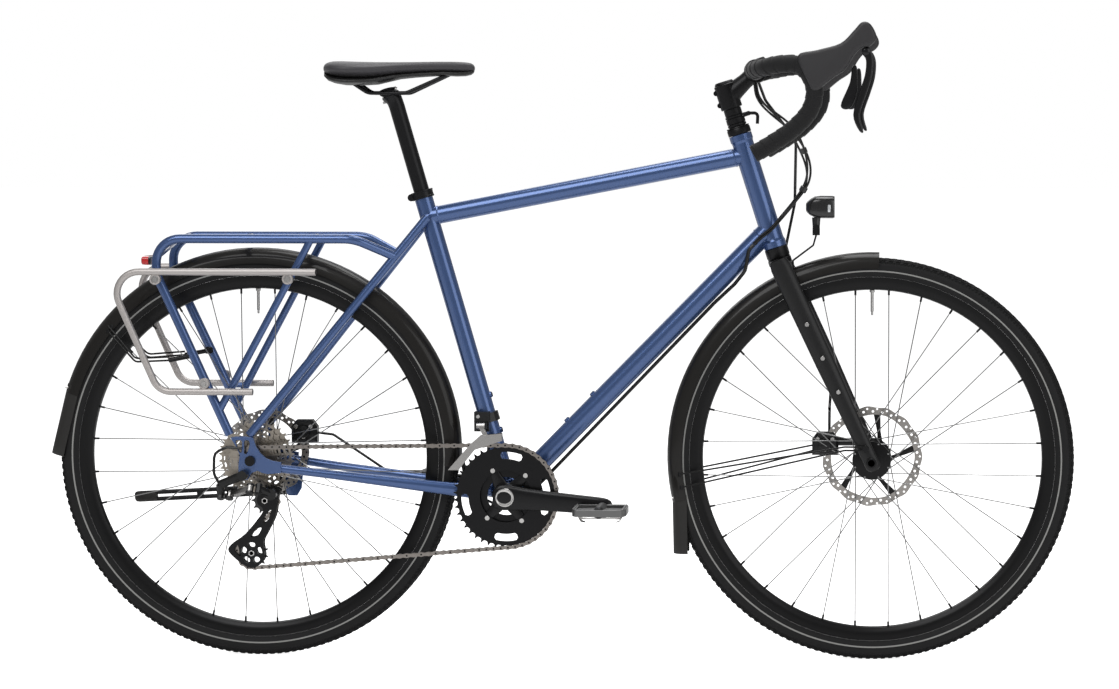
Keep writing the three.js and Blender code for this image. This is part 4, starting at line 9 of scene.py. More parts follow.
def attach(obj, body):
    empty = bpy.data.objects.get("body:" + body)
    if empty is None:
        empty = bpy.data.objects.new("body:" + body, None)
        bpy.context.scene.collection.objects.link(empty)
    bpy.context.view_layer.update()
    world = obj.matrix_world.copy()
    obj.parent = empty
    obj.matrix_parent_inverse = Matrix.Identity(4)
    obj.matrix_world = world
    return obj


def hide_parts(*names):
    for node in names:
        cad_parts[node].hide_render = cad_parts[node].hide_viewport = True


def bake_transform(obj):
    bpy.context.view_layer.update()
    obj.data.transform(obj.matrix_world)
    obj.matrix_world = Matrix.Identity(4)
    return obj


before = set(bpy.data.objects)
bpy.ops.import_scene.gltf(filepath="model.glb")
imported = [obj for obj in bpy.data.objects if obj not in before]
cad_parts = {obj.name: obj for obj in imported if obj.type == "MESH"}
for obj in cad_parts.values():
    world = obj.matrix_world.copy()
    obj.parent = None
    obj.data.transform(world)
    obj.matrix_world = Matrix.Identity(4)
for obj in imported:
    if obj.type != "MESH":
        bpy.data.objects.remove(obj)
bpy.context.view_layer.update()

# Studio: a white floor and a white surround with broad soft lamps, as in a catalogue picture.
# The surround is plain white to the eye and in reflections, and dimmer where it lights the bicycle.
scene = bpy.context.scene
scene.view_settings.view_transform = "Standard"


class Signal:
    """A node's output socket that can be used in sums and products."""

    def __init__(self, tree, socket):
        self.tree = tree
        self.socket = socket

    def _maths(self, operation, first, second):
        node = self.tree.nodes.new("ShaderNodeMath")
        node.operation = operation
        for slot, value in zip(node.inputs, (first, second)):
            if isinstance(value, Signal):
                self.tree.links.new(value.socket, slot)
            else:
                slot.default_value = value
        return Signal(self.tree, node.outputs[0])

    def __add__(self, other):
        return self._maths("ADD", self, other)

    def __radd__(self, other):
        return self._maths("ADD", other, self)

    def __sub__(self, other):
        return self._maths("SUBTRACT", self, other)

    def __mul__(self, other):
        return self._maths("MULTIPLY", self, other)

    def __gt__(self, other):
        return self._maths("GREATER_THAN", self, other)

    def __lt__(self, other):
        return self._maths("LESS_THAN", self, other)


class Finish:
    """A material's node tree, built one node at a time."""

    def __init__(self, owner):
        owner.use_nodes = True
        self.tree = owner.node_tree

    def node(self, kind, settings=None, output=0, **sockets):
        made = self.tree.nodes.new(kind)
        for key, value in (settings or {}).items():
            setattr(made, key, value)
        for key, value in sockets.items():
            slot = made.inputs[int(key[1:]) if key[1:].isdigit() else key.replace("_", " ")]
            if isinstance(value, Signal):
                self.tree.links.new(value.socket, slot)
            else:
                slot.default_value = value
        return Signal(self.tree, made.outputs[output])


world = bpy.data.worlds.new("studio")
scene.world = world
studio = Finish(world)
path = studio.node("ShaderNodeLightPath")
rays = path.socket.node.outputs
seen = Signal(studio.tree, rays["Is Camera Ray"]) + Signal(studio.tree, rays["Is Transmission Ray"])
mirrored_white = Signal(studio.tree, rays["Is Glossy Ray"])
surround = world.node_tree.nodes["Background"]
surround.inputs["Color"].default_value = (1, 1, 1, 1)
lit = 0.19 + mirrored_white * 0.12 + seen * 0.81
studio.tree.links.new(lit.socket, surround.inputs["Strength"])


def lamp(name, size, power, place, target):
    """A soft square lamp that faces a point."""
    light = bpy.data.lights.new(name, "AREA")
    light.size = size
    light.energy = power
    ob = bpy.data.objects.new(name, light)
    scene.collection.objects.link(ob)
    ob.location = place
    ob.rotation_euler = (Vector(target) - Vector(place)).to_track_quat("-Z", "Y").to_euler()


lamp("key", 2.4, 70, (-1.2, -3.0, 3.4), (0, 0, 0.6))
lamp("top", 2.2, 66, (0.4, 0.6, 3.6), (0, 0, 0.5))
lamp("fill", 2.4, 26, (2.8, -2.4, 1.6), (0, 0, 0.5))
lamp("back", 2.4, 22, (-1.0, 3.2, 2.6), (0, 0, 0.6))

bm = bmesh.new()
bmesh.ops.create_grid(bm, x_segments=1, y_segments=1, size=30)
floor_mesh = bpy.data.meshes.new("floor")
bm.to_mesh(floor_mesh)
bm.free()
floor = bpy.data.objects.new("floor", floor_mesh)
scene.collection.objects.link(floor)
floor_paint = bpy.data.materials.new("floor")
paint = Finish(floor_paint)
shader = floor_paint.node_tree.nodes["Principled BSDF"]
shader.inputs["Base Color"].default_value = (0.93, 0.93, 0.93, 1)
shader.inputs["Roughness"].default_value = 0.9
shader.inputs["Specular IOR Level"].default_value = 0.1
shader.inputs["Emission Color"].default_value = (1, 1, 1, 1)
rays = paint.node("ShaderNodeLightPath").socket.node.outputs
glow = 0.12 + Signal(paint.tree, rays["Is Camera Ray"]) * 0.8
paint.tree.links.new(glow.socket, shader.inputs["Emission Strength"])
floor_mesh.materials.append(floor_paint)

# Camera: a long lens that stands a little ahead of the middle, as the photograph's does.
# Its place was solved from the wheels, the tube ends and the bar, which the picture shows at known spots.
camera = bpy.data.objects.new("camera", bpy.data.cameras.new("camera"))
scene.collection.objects.link(camera)
scene.camera = camera
camera_turn, camera_rise, camera_distance = math.radians(2.42), math.radians(3.486), 5.125
camera_target = Vector((0.391, 0, 0.6458))
backwards = Vector((
    math.sin(camera_turn) * math.cos(camera_rise),
    -math.cos(camera_turn) * math.cos(camera_rise),
    math.sin(camera_rise),
))
camera.location = camera_target + backwards * camera_distance
camera.rotation_euler = (-backwards).to_track_quat("-Z", "Y").to_euler()
camera.data.lens = 95.1
camera.data.shift_x = -0.2
camera.data.shift_y = -0.05
camera.data.clip_end = 100

# Measures and shared ways of working: sizes are millimetres, and X is ahead, Y the rider's left and Z up.
# Most pieces are turned, drawn or stamped, so a few functions make nearly all of them.
METRE = 0.001
TURN = 2 * math.pi
degree = math.radians
along_x, along_y, along_z = Vector((1, 0, 0)), Vector((0, 1, 0)), Vector((0, 0, 1))
rear_axle, front_axle = Vector((-526.99, 0, 350)), Vector((545.01, 0, 350))
WHEELS = (("front", front_axle), ("rear", rear_axle))
WHEEL_STEPS = 144


def place(x, y, z):
    return Vector((x, y, z))


def principled(name, color, roughness, metallic=0.0, **extra):
    """A new material with plain values on its shader, and its tree to add patterns to."""
    made = bpy.data.materials.new(name)
    tree = Finish(made)
    socket = made.node_tree.nodes["Principled BSDF"].inputs
    socket["Base Color"].default_value = (*color, 1)
    socket["Roughness"].default_value = roughness
    socket["Metallic"].default_value = metallic
    for key, value in extra.items():
        socket[key.replace("_", " ")].default_value = value
    return made, tree, socket


def grain(tree, socket, scale, strength, distance=0.0002, detail=3.0):
    """A fine bump from noise in the piece's own coordinates."""
    where = tree.node("ShaderNodeTexCoord", output=3)
    noise = tree.node("ShaderNodeTexNoise", Vector=where, Scale=scale, Detail=detail)
    bump = tree.node("ShaderNodeBump", Height=noise, Strength=strength, Distance=distance)
    tree.tree.links.new(bump.socket, socket["Normal"])


def grained(name, color, roughness, metallic, bump, **extra):
    """A plain material with a fine bump over it."""
    made, tree, socket = principled(name, color, roughness, metallic, **extra)
    grain(tree, socket, *bump)
    return made


def speckled(name, color, roughness, metallic, dark, light, scale, **extra):
    """A material whose colour moves between two near tones with a fine noise."""
    made, tree, socket = principled(name, color, roughness, metallic, **extra)
    where = tree.node("ShaderNodeTexCoord", output=3)
    noise = tree.node("ShaderNodeTexNoise", Vector=where, Scale=scale, Detail=6.0)
    shade = tree.node("ShaderNodeMix", {"data_type": "RGBA"}, output=2, Factor=noise)
    ends = shade.socket.node.inputs
    ends[6].default_value, ends[7].default_value = (*dark, 1), (*light, 1)
    tree.tree.links.new(shade.socket, socket["Base Color"])
    return made


def placed(first, second, third, spot):
    """A matrix with three given directions and a place."""
    matrix = Matrix((first, second, third)).transposed().to_4x4()
    matrix.translation = spot
    return matrix


def ease_edges(piece, width, angle):
    """Breaks a piece's sharp edges with a narrow bevel."""
    edge = piece.modifiers.new("edge", "BEVEL")
    edge.width = width * METRE
    edge.segments = 2
    edge.limit_method = "ANGLE"
    edge.angle_limit = degree(angle)


def finished(name, bm, material, body, slot, *stands_for, sharp=32, bevel=0.0):
    """Turns a mesh in millimetres into a piece in metres, dressed and riding on its body if it has one."""
    bmesh.ops.recalc_face_normals(bm, faces=bm.faces)
    bmesh.ops.scale(bm, vec=(METRE, METRE, METRE), verts=bm.verts)
    mesh = bpy.data.meshes.new(name)
    bm.to_mesh(mesh)
    bm.free()
    mesh.polygons.foreach_set("use_smooth", [True] * len(mesh.polygons))
    mesh.set_sharp_from_angle(angle=degree(sharp))
    piece = bpy.data.objects.new(name, mesh)
    scene.collection.objects.link(piece)
    mesh.materials.append(material)
    if bevel:
        ease_edges(piece, bevel, sharp + 8)
    if body:
        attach(piece, body)
    if stands_for:
        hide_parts(*stands_for)
    return piece


def lathe(bm, profile, centre, steps=48):
    """Turns a closed profile of radius and side distance right round an axis along Y."""
    points = [bm.verts.new(centre + along_x * radius + along_y * reach) for radius, reach in profile]
    edges = [bm.edges.new(pair) for pair in zip(points, points[1:] + points[:1])]
    bmesh.ops.spin(
        bm, geom=points + edges, cent=centre, axis=along_y, angle=TURN, steps=steps,
        use_merge=True, use_duplicate=False,
    )


def skin(bm, rings, sides=24, section=None):
    """A skin over rings that matrices place: unit circles, or the given closed section."""
    if section:
        loop = [bm.verts.new((x, y, 0)) for x, y in section]
        edges = [bm.edges.new((loop[i - 1], loop[i])) for i in range(len(loop))]
    else:
        loop = bmesh.ops.create_circle(bm, segments=sides, radius=1)["verts"]
        edges = list({edge for vert in loop for edge in vert.link_edges})
    bmesh.ops.transform(bm, matrix=rings[0], verts=loop)
    bmesh.ops.contextual_create(bm, geom=edges)
    for before, after in zip(rings, rings[1:]):
        made = bmesh.ops.extrude_edge_only(bm, edges=edges)["geom"]
        loop = [item for item in made if isinstance(item, bmesh.types.BMVert)]
        edges = [item for item in made
                 if isinstance(item, bmesh.types.BMEdge) and all(vert in loop for vert in item.verts)]
        bmesh.ops.transform(bm, matrix=after @ before.inverted(), verts=loop)
    bmesh.ops.contextual_create(bm, geom=edges)


def ring_at(centre, way, wide=None, half_wide=1.0, half_tall=None):
    """A matrix that puts a unit circle at a point, square to a direction, with two half sizes."""
    way = way.normalized()
    wide = wide if wide is not None else (along_y if abs(way.y) < 0.9 else along_x)
    wide = (wide - way * wide.dot(way)).normalized()
    tall = way.cross(wide)
    half_tall = half_wide if half_tall is None else half_tall
    return placed(wide * half_wide, tall * half_tall, way, centre)


def rod(bm, start, end, radius, end_radius=None, sides=24, edge=0.0):
    """A straight round bar or cone, with its end edges eased."""
    way = end - start
    last = radius if end_radius is None else end_radius
    if edge:
        step = way.normalized() * edge
        spots = [(start, radius - edge), (start + step, radius), (end - step, last), (end, last - edge)]
    else:
        spots = [(start, radius), (end, last)]
    skin(bm, [ring_at(spot, way, None, size) for spot, size in spots], sides)


def turned(bm, foot, way, stations, sides=24, across=None):
    """A round or oval body along a straight way: each station has a distance and one or two half sizes."""
    skin(bm, [ring_at(foot + way * reach, way, across, *sizes) for reach, *sizes in stations], sides)


def superellipse(count, wide_power, tall_power):
    """A closed section between a circle and a square; smaller powers are squarer."""
    points = []
    for k in range(count):
        angle = TURN * (k + 0.5) / count
        across, up = math.cos(angle), math.sin(angle)
        wide = math.copysign(abs(across) ** wide_power, across)
        points.append((wide, math.copysign(abs(up) ** tall_power, up)))
    return points


def xz(point):
    return point.x, point.z


def polar(centre, reach, angle):
    """The X and Z of a point at a distance and angle from a centre."""
    return centre[0] + reach * math.cos(angle), centre[1] + reach * math.sin(angle)


def circle(centre, radius, count):
    return [polar(centre, radius, TURN * k / count) for k in range(count)]


def thickened(bm, loops, shift):
    """A flat plate from closed loops of points, the first round the others, and its thickness as a shift."""
    edges = []
    for loop in loops:
        points = [bm.verts.new(point) for point in loop]
        edges += [bm.edges.new((points[i - 1], points[i])) for i in range(len(points))]
    filled = bmesh.ops.triangle_fill(bm, use_beauty=True, edges=edges)["geom"]
    faces = [item for item in filled if isinstance(item, bmesh.types.BMFace)]
    raised = bmesh.ops.extrude_face_region(bm, geom=faces)["geom"]
    lifted = [item for item in raised if isinstance(item, bmesh.types.BMVert)]
    bmesh.ops.translate(bm, vec=shift, verts=lifted)


def plate(bm, outline, inner, outer, holes=()):
    """An upright plate between two side offsets, from outlines of X and Z points."""
    thickened(bm, [[(x, inner, z) for x, z in loop] for loop in (outline, *holes)], (0, outer - inner, 0))


def sweep(bm, points, radius, sides=16):
    """A tube along points; the radius may be a list with one value for each point."""
    wide, rings = None, []
    for i, point in enumerate(points):
        way = (points[min(i + 1, len(points) - 1)] - points[max(i - 1, 0)]).normalized()
        if wide is None:
            wide = along_y if abs(way.y) < 0.9 else along_x
        wide = (wide - way * wide.dot(way)).normalized()
        size = radius[i] if isinstance(radius, list) else radius
        rings.append(ring_at(point, way, wide, size))
    skin(bm, rings, sides)


def rounded(corners, radii, steps=8):
    """Points along straight runs whose corners are arcs."""
    points = [corners[0]]
    for i in range(1, len(corners) - 1):
        before = (corners[i] - corners[i - 1]).normalized()
        after = (corners[i + 1] - corners[i]).normalized()
        angle = before.angle(after)
        radius = radii[i - 1] if isinstance(radii, (list, tuple)) else radii
        inward = (after - before * after.dot(before)).normalized()
        start = corners[i] - before * (radius * math.tan(angle / 2))
        for k in range(steps + 1):
            turned = angle * k / steps
            along, across = math.sin(turned), 1 - math.cos(turned)
            points.append(start + before * radius * along + inward * radius * across)
    return points + [corners[-1]]


def between(a, b, c, d, t):
    """A point on the smooth curve from b to c, with a before them and d after."""
    return 0.5 * (
        2 * b + (c - a) * t + (2 * a - 5 * b + 4 * c - d) * t ** 2 + (3 * b - a - 3 * c + d) * t ** 3)


def lengths_along(points):
    """The length of a line of points up to each of them."""
    lengths = [0.0]
    for before, after in zip(points, points[1:]):
        lengths.append(lengths[-1] + (after - before).length)
    return lengths


def spaced(points, steps):
    """Evenly spaced points along a line of points."""
    lengths, line, at = lengths_along(points), [], 0
    for k in range(steps + 1):
        goal = lengths[-1] * k / steps
        while at < len(points) - 2 and lengths[at + 1] < goal:
            at += 1
        span = lengths[at + 1] - lengths[at]
        line.append(points[at].lerp(points[at + 1], (goal - lengths[at]) / span if span else 0))
    return line


def smooth_line(points, steps):
    """Evenly spaced points on a smooth curve through the given ones."""
    ends = [points[0] * 2 - points[1], *points, points[-1] * 2 - points[-2]]
    dense = [between(*four, k / 24) for four in zip(ends, ends[1:], ends[2:], ends[3:]) for k in range(24)]
    return spaced([*dense, points[-1]], steps)


def smooth_outline(points, steps):
    """A closed outline through points, as corners of a smooth curve."""
    count, made = len(points), []
    for i in range(count):
        four = [Vector(points[(i + k) % count]) for k in (-1, 0, 1, 2)]
        made += [between(*four, k / steps) for k in range(steps)]
    return [(point.x, point.y) for point in made]


def scaled(shares, span, anchor):
    return [(anchor.x + x * span, anchor.z + z * span) for x, z in shares]


def to_side(point, side):
    return place(point.x, point.y * side, point.z)


# Tyres: black rubber with a fine file tread, a brown-black sidewall and a grey reflective line.
# Each is moulded in one piece and sits in the rim's beads.
def wheel_radius_from(tree, axle):
    """The distance from an axle in metres, and the angle round it, at each point of a piece."""
    where = tree.node("ShaderNodeTexCoord", output=3)
    parts = tree.node("ShaderNodeSeparateXYZ", Vector=where).socket.node.outputs
    x = Signal(tree.tree, parts["X"]) - axle.x * METRE
    y = Signal(tree.tree, parts["Y"])
    z = Signal(tree.tree, parts["Z"]) - axle.z * METRE
    reach = tree.node("ShaderNodeMath", {"operation": "SQRT"}, _0=x * x + z * z)
    angle = tree.node("ShaderNodeMath", {"operation": "ARCTAN2"}, _0=z, _1=x)
    return reach, angle, y


def tyre_finish(name, axle):
    """Rubber with a tread pattern outside and a reflective line on each wall."""
    made, tree, socket = principled(name, (0.009, 0.009, 0.0095), 0.7, Specular_IOR_Level=0.25)
    reach, angle, y = wheel_radius_from(tree, axle)
    line = (reach > 0.3262) * (reach < 0.3286)
    tread = reach > 0.3405
    shade = tree.node("ShaderNodeMix", {"data_type": "RGBA"}, output=2, Factor=line)
    mix = shade.socket.node.inputs
    mix[6].default_value = (0.009, 0.009, 0.0095, 1)
    mix[7].default_value = (0.30, 0.30, 0.29, 1)
    tree.tree.links.new(shade.socket, socket["Base Color"])
    turn = tree.node("ShaderNodeMath", {"operation": "SINE"}, _0=angle * 330.0 + y * 900.0)
    other = tree.node("ShaderNodeMath", {"operation": "SINE"}, _0=angle * 330.0 - y * 900.0)
    grooves = tree.node("ShaderNodeMath", {"operation": "SINE"}, _0=y * 1500.0)
    height = tread * (turn * 0.5 + other * 0.5 + grooves * 0.6)
    bump = tree.node("ShaderNodeBump", Height=height, Strength=0.9, Distance=0.0012)
    tree.tree.links.new(bump.socket, socket["Normal"])
    rough = 0.62 + tread * 0.2
    tree.tree.links.new(rough.socket, socket["Roughness"])
    return made


def both_walls(half):
    """A section on both sides of the middle plane, from the half on one side."""
    return half + [(radius, -y) for radius, y in reversed(half[:-1])]


tyre_wall = [
    (311, 7.5), (312.5, 9.6), (316, 11.4), (320, 14.4), (325, 17.3), (330, 18.9), (335, 19.5), (340, 18.8),
    (344, 16.2), (346.4, 13.2), (348, 9.6), (349.2, 5.4), (349.9, 0),
]
for end, axle in WHEELS:
    bm = bmesh.new()
    lathe(bm, both_walls(tyre_wall), axle, WHEEL_STEPS)
    rubber = tyre_finish(end + "_tyre", axle)
    finished(end + "_tyre_rubber", bm, rubber, end + "_wheel", "tyre", end + "_tyre", sharp=50)

# Tread blocks: two rows of small knobs on each shoulder that show as fine teeth along the tyre's edge.
# They are moulded with the tyre, from the same rubber.
tyre_black = principled("tyre_rubber", (0.009, 0.009, 0.0095), 0.72, Specular_IOR_Level=0.25)[0]
for end, axle in WHEELS:
    bm = bmesh.new()
    knobs = 168
    for row, (reach, y) in enumerate(((346.6, 12.6), (346.6, -12.6), (348.9, 5.2), (348.9, -5.2))):
        for k in range(knobs):
            angle = TURN * (k + 0.5 * (row % 2)) / knobs
            way = place(math.cos(angle), 0, math.sin(angle))
            over = place(-way.z, 0, way.x)
            matrix = placed(over * 7.4, along_y * 5.0, way * 2.0, axle + way * reach + along_y * y)
            bmesh.ops.create_cube(bm, size=1, matrix=matrix)
    finished(end + "_tread", bm, tyre_black, end + "_wheel", "tyre", sharp=40)

# Rims: deep hollow aluminium rims, anodised black, with a thin bright edge where the brake track ends.
# Each is a bent and welded extrusion; the valve comes through it at the top.
rim_black = principled("rim_anodised", (0.006, 0.006, 0.0065), 0.34, 0.6)[0]
bright_edge = grained("rim_edge", (0.55, 0.55, 0.55), 0.3, 1.0, (2400.0, 0.1))
polished = grained("polished_steel", (0.62, 0.61, 0.6), 0.22, 1.0, (2600.0, 0.08))
rim_wall = [
    (294, 3.2), (295.4, 6.6), (300, 9.8), (304, 11.2), (309, 11.9), (317.2, 12.2), (318, 11.6), (318, 10.4),
    (312, 9), (309.8, 7.2), (309.8, 0),
]


for end, axle in WHEELS:
    bm = bmesh.new()
    lathe(bm, both_walls(rim_wall), axle, WHEEL_STEPS)
    finished(end + "_rim_shell", bm, rim_black, end + "_wheel", "rim_alloy", end + "_rim", sharp=30)
    bm = bmesh.new()
    for side in (1, -1):
        lathe(bm, [(317.0, 12.28 * side), (318.6, 11.9 * side), (318.4, 11.2 * side)], axle, WHEEL_STEPS)
    finished(end + "_rim_edge", bm, bright_edge, end + "_wheel", "cage_steel")
    bm = bmesh.new()
    rod(bm, axle + along_z * 256, axle + along_z * 296, 2.7, sides=12, edge=0.5)
    rod(bm, axle + along_z * 250, axle + along_z * 258, 1.9, sides=12, edge=0.4)
    rod(bm, axle + along_z * 289.5, axle + along_z * 294, 4.4, sides=12, edge=0.5)
    finished(end + "_valve", bm, polished, end + "_wheel", "cage_steel")

# Spokes: thirty-two thin stainless wires in each wheel, crossed three times between flange and rim.
# A black nipple holds each in the rim, and its bent head hooks into the hub's flange.
spoke_steel = grained("spoke_steel", (0.30, 0.30, 0.30), 0.3, 1.0, (2200.0, 0.06))
spoke_count, hub_turn = 32, degree(62)
flange_of = {"front": (33, {1: 27, -1: 27}), "rear": (28, {1: 34, -1: 19})}


def spoke_ends(axle, i, flange, spreads):
    side = 1 if i % 2 else -1
    lead = 1 if i % 4 < 2 else -1
    rim_angle = TURN * (i + 0.5) / spoke_count
    hub_angle = rim_angle + lead * hub_turn
    reach = flange - 2.2
    start = axle + place(
        reach * math.cos(hub_angle), side * (spreads[side] + lead * 2), reach * math.sin(hub_angle))
    end = axle + place(295 * math.cos(rim_angle), side * (3.05 + lead * 1.4), 295 * math.sin(rim_angle))
    return start, end, side


for end, axle in WHEELS:
    flange, spreads = flange_of[end]
    wires, nipples = bmesh.new(), bmesh.new()
    for i in range(spoke_count):
        start, finish_point, side = spoke_ends(axle, i, flange, spreads)
        rod(wires, start, finish_point, 0.95, sides=6)
        rod(wires, start - along_y * side * 3, start + along_y * side * 1.2, 1.6, sides=6)
        way = (finish_point - start).normalized()
        rod(nipples, finish_point - way * 9, finish_point + way * 1, 1.9, sides=8)
    finished(end + "_spokes", wires, spoke_steel, end + "_wheel", "cage_steel")
    finished(end + "_nipples", nipples, rim_black, end + "_wheel", "rim_alloy")

# Hubs: a fat dynamo hub in front and a slim rear hub, both turned aluminium, anodised black.
# Two flanges carry the spokes, and the brake side ends in a splined seat for the rotor.
hub_black = grained("hub_anodised", (0.01, 0.01, 0.0105), 0.32, 0.7, (2400.0, 0.1))
front_profile = [
    (6.6, -49.4), (9.5, -49.4), (12.5, -44), (12.5, -33), (33, -29.6), (33.6, -27), (33, -24.4), (28, -20),
    (29, 0),
    (28, 20), (33, 24.4), (33.6, 27), (33, 29.6), (14, 32), (14, 35.4), (9.5, 35.6), (9.5, 49.4), (6.6, 49.4),
]
rear_profile = [
    (6.6, -70.4), (9.5, -70.4), (9.5, -66), (15, -65), (15, -24), (28, -21.4), (28.6, -19), (28, -16.4),
    (17, -11),
    (15, 0), (16, 26), (28, 31.4), (28.6, 34), (28, 36.6), (13, 40), (12.5, 53.4), (9.5, 53.6), (9.5, 70.4),
    (6.6, 70.4),
]
for end, axle, profile in (("front", front_axle, front_profile), ("rear", rear_axle, rear_profile)):
    bm = bmesh.new()
    lathe(bm, profile, axle, 64)
    finished(end + "_hub_shell", bm, hub_black, end + "_wheel", "rim_alloy", end + "_hub", sharp=28)

# Brake rotors: ground stainless discs with a drilled braking band on five slanted arms.
# They are stamped from sheet, and a lock ring clamps each on its hub's splines.
rotor_steel = principled("rotor_steel", (0.4, 0.38, 0.36), 0.28, 1.0)[0]
carrier_black = grained("rotor_carrier", (0.015, 0.015, 0.0155), 0.4, 0.6, (2400.0, 0.1))


def rotor(end, axle, radius, offset):
    """A wavy drilled band, and a carrier with slanted arms inside it."""
    centre = xz(axle)
    band, carrier = bmesh.new(), bmesh.new()

    def wave(reach, height, lobes, steps=150):
        angles = [TURN * k / steps for k in range(steps)]
        return [polar(centre, reach + height * math.cos(lobes * angle), angle) for angle in angles]

    holes = [wave(radius - 15, 1.2, 5)]
    for k in range(30):
        for reach, shift, size in ((radius - 4.6, 0.0, 1.9), (radius - 9.2, 0.42, 2.3)):
            holes.append(circle(polar(centre, reach, TURN * (k + shift) / 30), size, 10))
    plate(band, wave(radius - 1.1, 1.1, 15), offset - 0.9, offset + 0.9, holes)
    for k in range(5):
        angle = TURN * k / 5 + 0.2
        foot = axle + place(19 * math.cos(angle - 0.8), offset, 19 * math.sin(angle - 0.8))
        tip = axle + place((radius - 13) * math.cos(angle), offset, (radius - 13) * math.sin(angle))
        way = tip - foot
        rings = [ring_at(foot, way, along_y, 1.0, 5.5), ring_at(foot.lerp(tip, 0.5), way, along_y, 1.0, 3.2),
                 ring_at(tip, way, along_y, 0.9, 6.0)]
        skin(carrier, rings, 12)
    hat = ((10.6, -1.4), (23, -1.4), (23.6, 0), (23, 1.4), (10.6, 1.4))
    lock_ring = ((10.6, 1.4), (19, 1.6), (19, 5), (12, 6), (10.6, 5))
    for profile, steps in ((hat, 48), (lock_ring, 40)):
        lathe(carrier, [(size, offset + y) for size, y in profile], axle, steps)
    finished(end + "_rotor_band", band, rotor_steel, end + "_wheel", "rotor_steel", end + "_rotor", sharp=30)
    finished(end + "_rotor_carrier", carrier, carrier_black, end + "_wheel", "rim_alloy")


rotor("front", front_axle, 88, 36.8)
rotor("rear", rear_axle, 76, 54.8)

# Frame: butted steel tubes brazed and welded into one diamond, sprayed metallic blue under clear lacquer.
# The head tube has a ring at each end, and both main tubes carry threaded bottle bosses.
bracket = Vector((-87.48, 0, 287))
seat_up, seat_back = Vector((-0.27564, 0, 0.96126)), Vector((-0.96126, 0, -0.27564))
head_up, head_ahead = Vector((-0.30071, 0, 0.95372)), Vector((0.95372, 0, 0.30071))
seat_top = Vector((-238.81, 0, 814.73))
head_bottom, head_top = Vector((377.84, 0, 717.23)), Vector((316.2, 0, 912.74))
fork_crown = Vector((387.017, 0, 688.143))


blue_paint = speckled(
    "blue_paint", (0.05, 0.105, 0.27), 0.26, 0.6, (0.042, 0.088, 0.225), (0.072, 0.135, 0.33), 2600.0,
    Coat_Weight=0.7, Coat_Roughness=0.06)
black_paint = grained("satin_black_paint", (0.008, 0.008, 0.009), 0.38, 0.0, (2200.0, 0.12), Coat_Weight=0.3)
black_alloy = grained("anodised_black", (0.01, 0.01, 0.011), 0.36, 0.6, (3000.0, 0.1))
silver_alloy = grained("blasted_silver", (0.52, 0.49, 0.475), 0.5, 0.85, (2500.0, 0.15))


def fillet_collar(bm, foot, way, radius, size, sides=32):
    """A low weld bead where a tube meets another."""
    rings = [(0, radius + 0.1), (size * 0.3, radius + size * 0.75), (size, radius + size * 0.5),
        (size * 1.7, radius)]
    turned(bm, foot, way, rings, sides)


def boss_pair(bm, middle, way, over, radius):
    """Two threaded bosses on a tube."""
    for share in (-32, 32):
        foot = middle + way * share + over * (radius - 2)
        rod(bm, foot, foot + over * 4.6, 5.4, sides=20, edge=0.5)


bm = bmesh.new()
ring_height = 12
for face, outwards in ((head_bottom, -head_up), (head_top, head_up)):
    skin(bm, [ring_at(face - outwards * reach, head_up, None, size) for reach, size in (
        (0.2, 19.4), (0.8, 20.0), (ring_height - 1.2, 20.0), (ring_height, 19.2),
        (ring_height + 4, 18.4))], 48)
rod(bm, head_bottom + head_up * 2, head_top - head_up * 2, 18.5, sides=48)
top_rear, top_front = seat_top - seat_up * 47, head_top - head_up * 38
down_front = head_bottom + head_up * 34
rod(bm, top_rear, top_front, 15.9, sides=48)
rod(bm, bracket, down_front, 18, sides=48)
rod(bm, bracket, seat_top, 15.9, sides=48)
rod(bm, bracket - along_y * 34, bracket + along_y * 34, 21, sides=56, edge=0.6)
down_way = (down_front - bracket).normalized()
down_over = place(-down_way.z, 0, down_way.x)
boss_pair(bm, bracket.lerp(down_front, 0.3), down_way, down_over, 18)
boss_pair(bm, bracket + seat_up * 549 * 0.26, seat_up, -seat_back, 15.9)
top_way = (top_front - top_rear).normalized()
beads = (
    (top_rear + top_way * 16.2, top_way, 15.9), (top_front - top_way * 19.2, -top_way, 15.9),
    (down_front - down_way * 19.8, -down_way, 18), (bracket + down_way * 21.5, down_way, 18),
    (bracket + seat_up * 21.2, seat_up, 15.9),
)
for foot, way, radius in beads:
    fillet_collar(bm, foot, way, radius, 1.5)
finished("frame_tubes", bm, blue_paint, "frame", "blue_paint", "main_frame")

bm = bmesh.new()
for middle, way, over, radius in (
    (bracket.lerp(down_front, 0.3), down_way, down_over, 18),
    (bracket + seat_up * 142.7, seat_up, -seat_back, 15.9),
):
    for share in (-32, 32):
        foot = middle + way * share + over * (radius + 2.7)
        rod(bm, foot, foot + over * 0.75, 4.3, sides=20, edge=0.2)
finished("boss_bolts", bm, black_alloy, "frame", "black_alloy")

# Stays: tapered chainstays and slim seat stays, brazed to laser-cut dropouts with two windows.
# They carry the same blue paint, with a tube bridge across for the mudguard and the kickstand's plate.
BRIDGE_AHEAD = 370


def chainstay_point(share, side):
    front_end = bracket + place(-14.7, 25 * side, 0)
    rear_end = rear_axle + place(32, 68 * side, -12)
    return front_end.lerp(rear_end, share)


def chainstay_at(x, side):
    """The point of a chainstay's middle line at a distance along X."""
    return chainstay_point((bracket.x - 14.7 - x) / (bracket.x - 14.7 - rear_axle.x - 32), side)


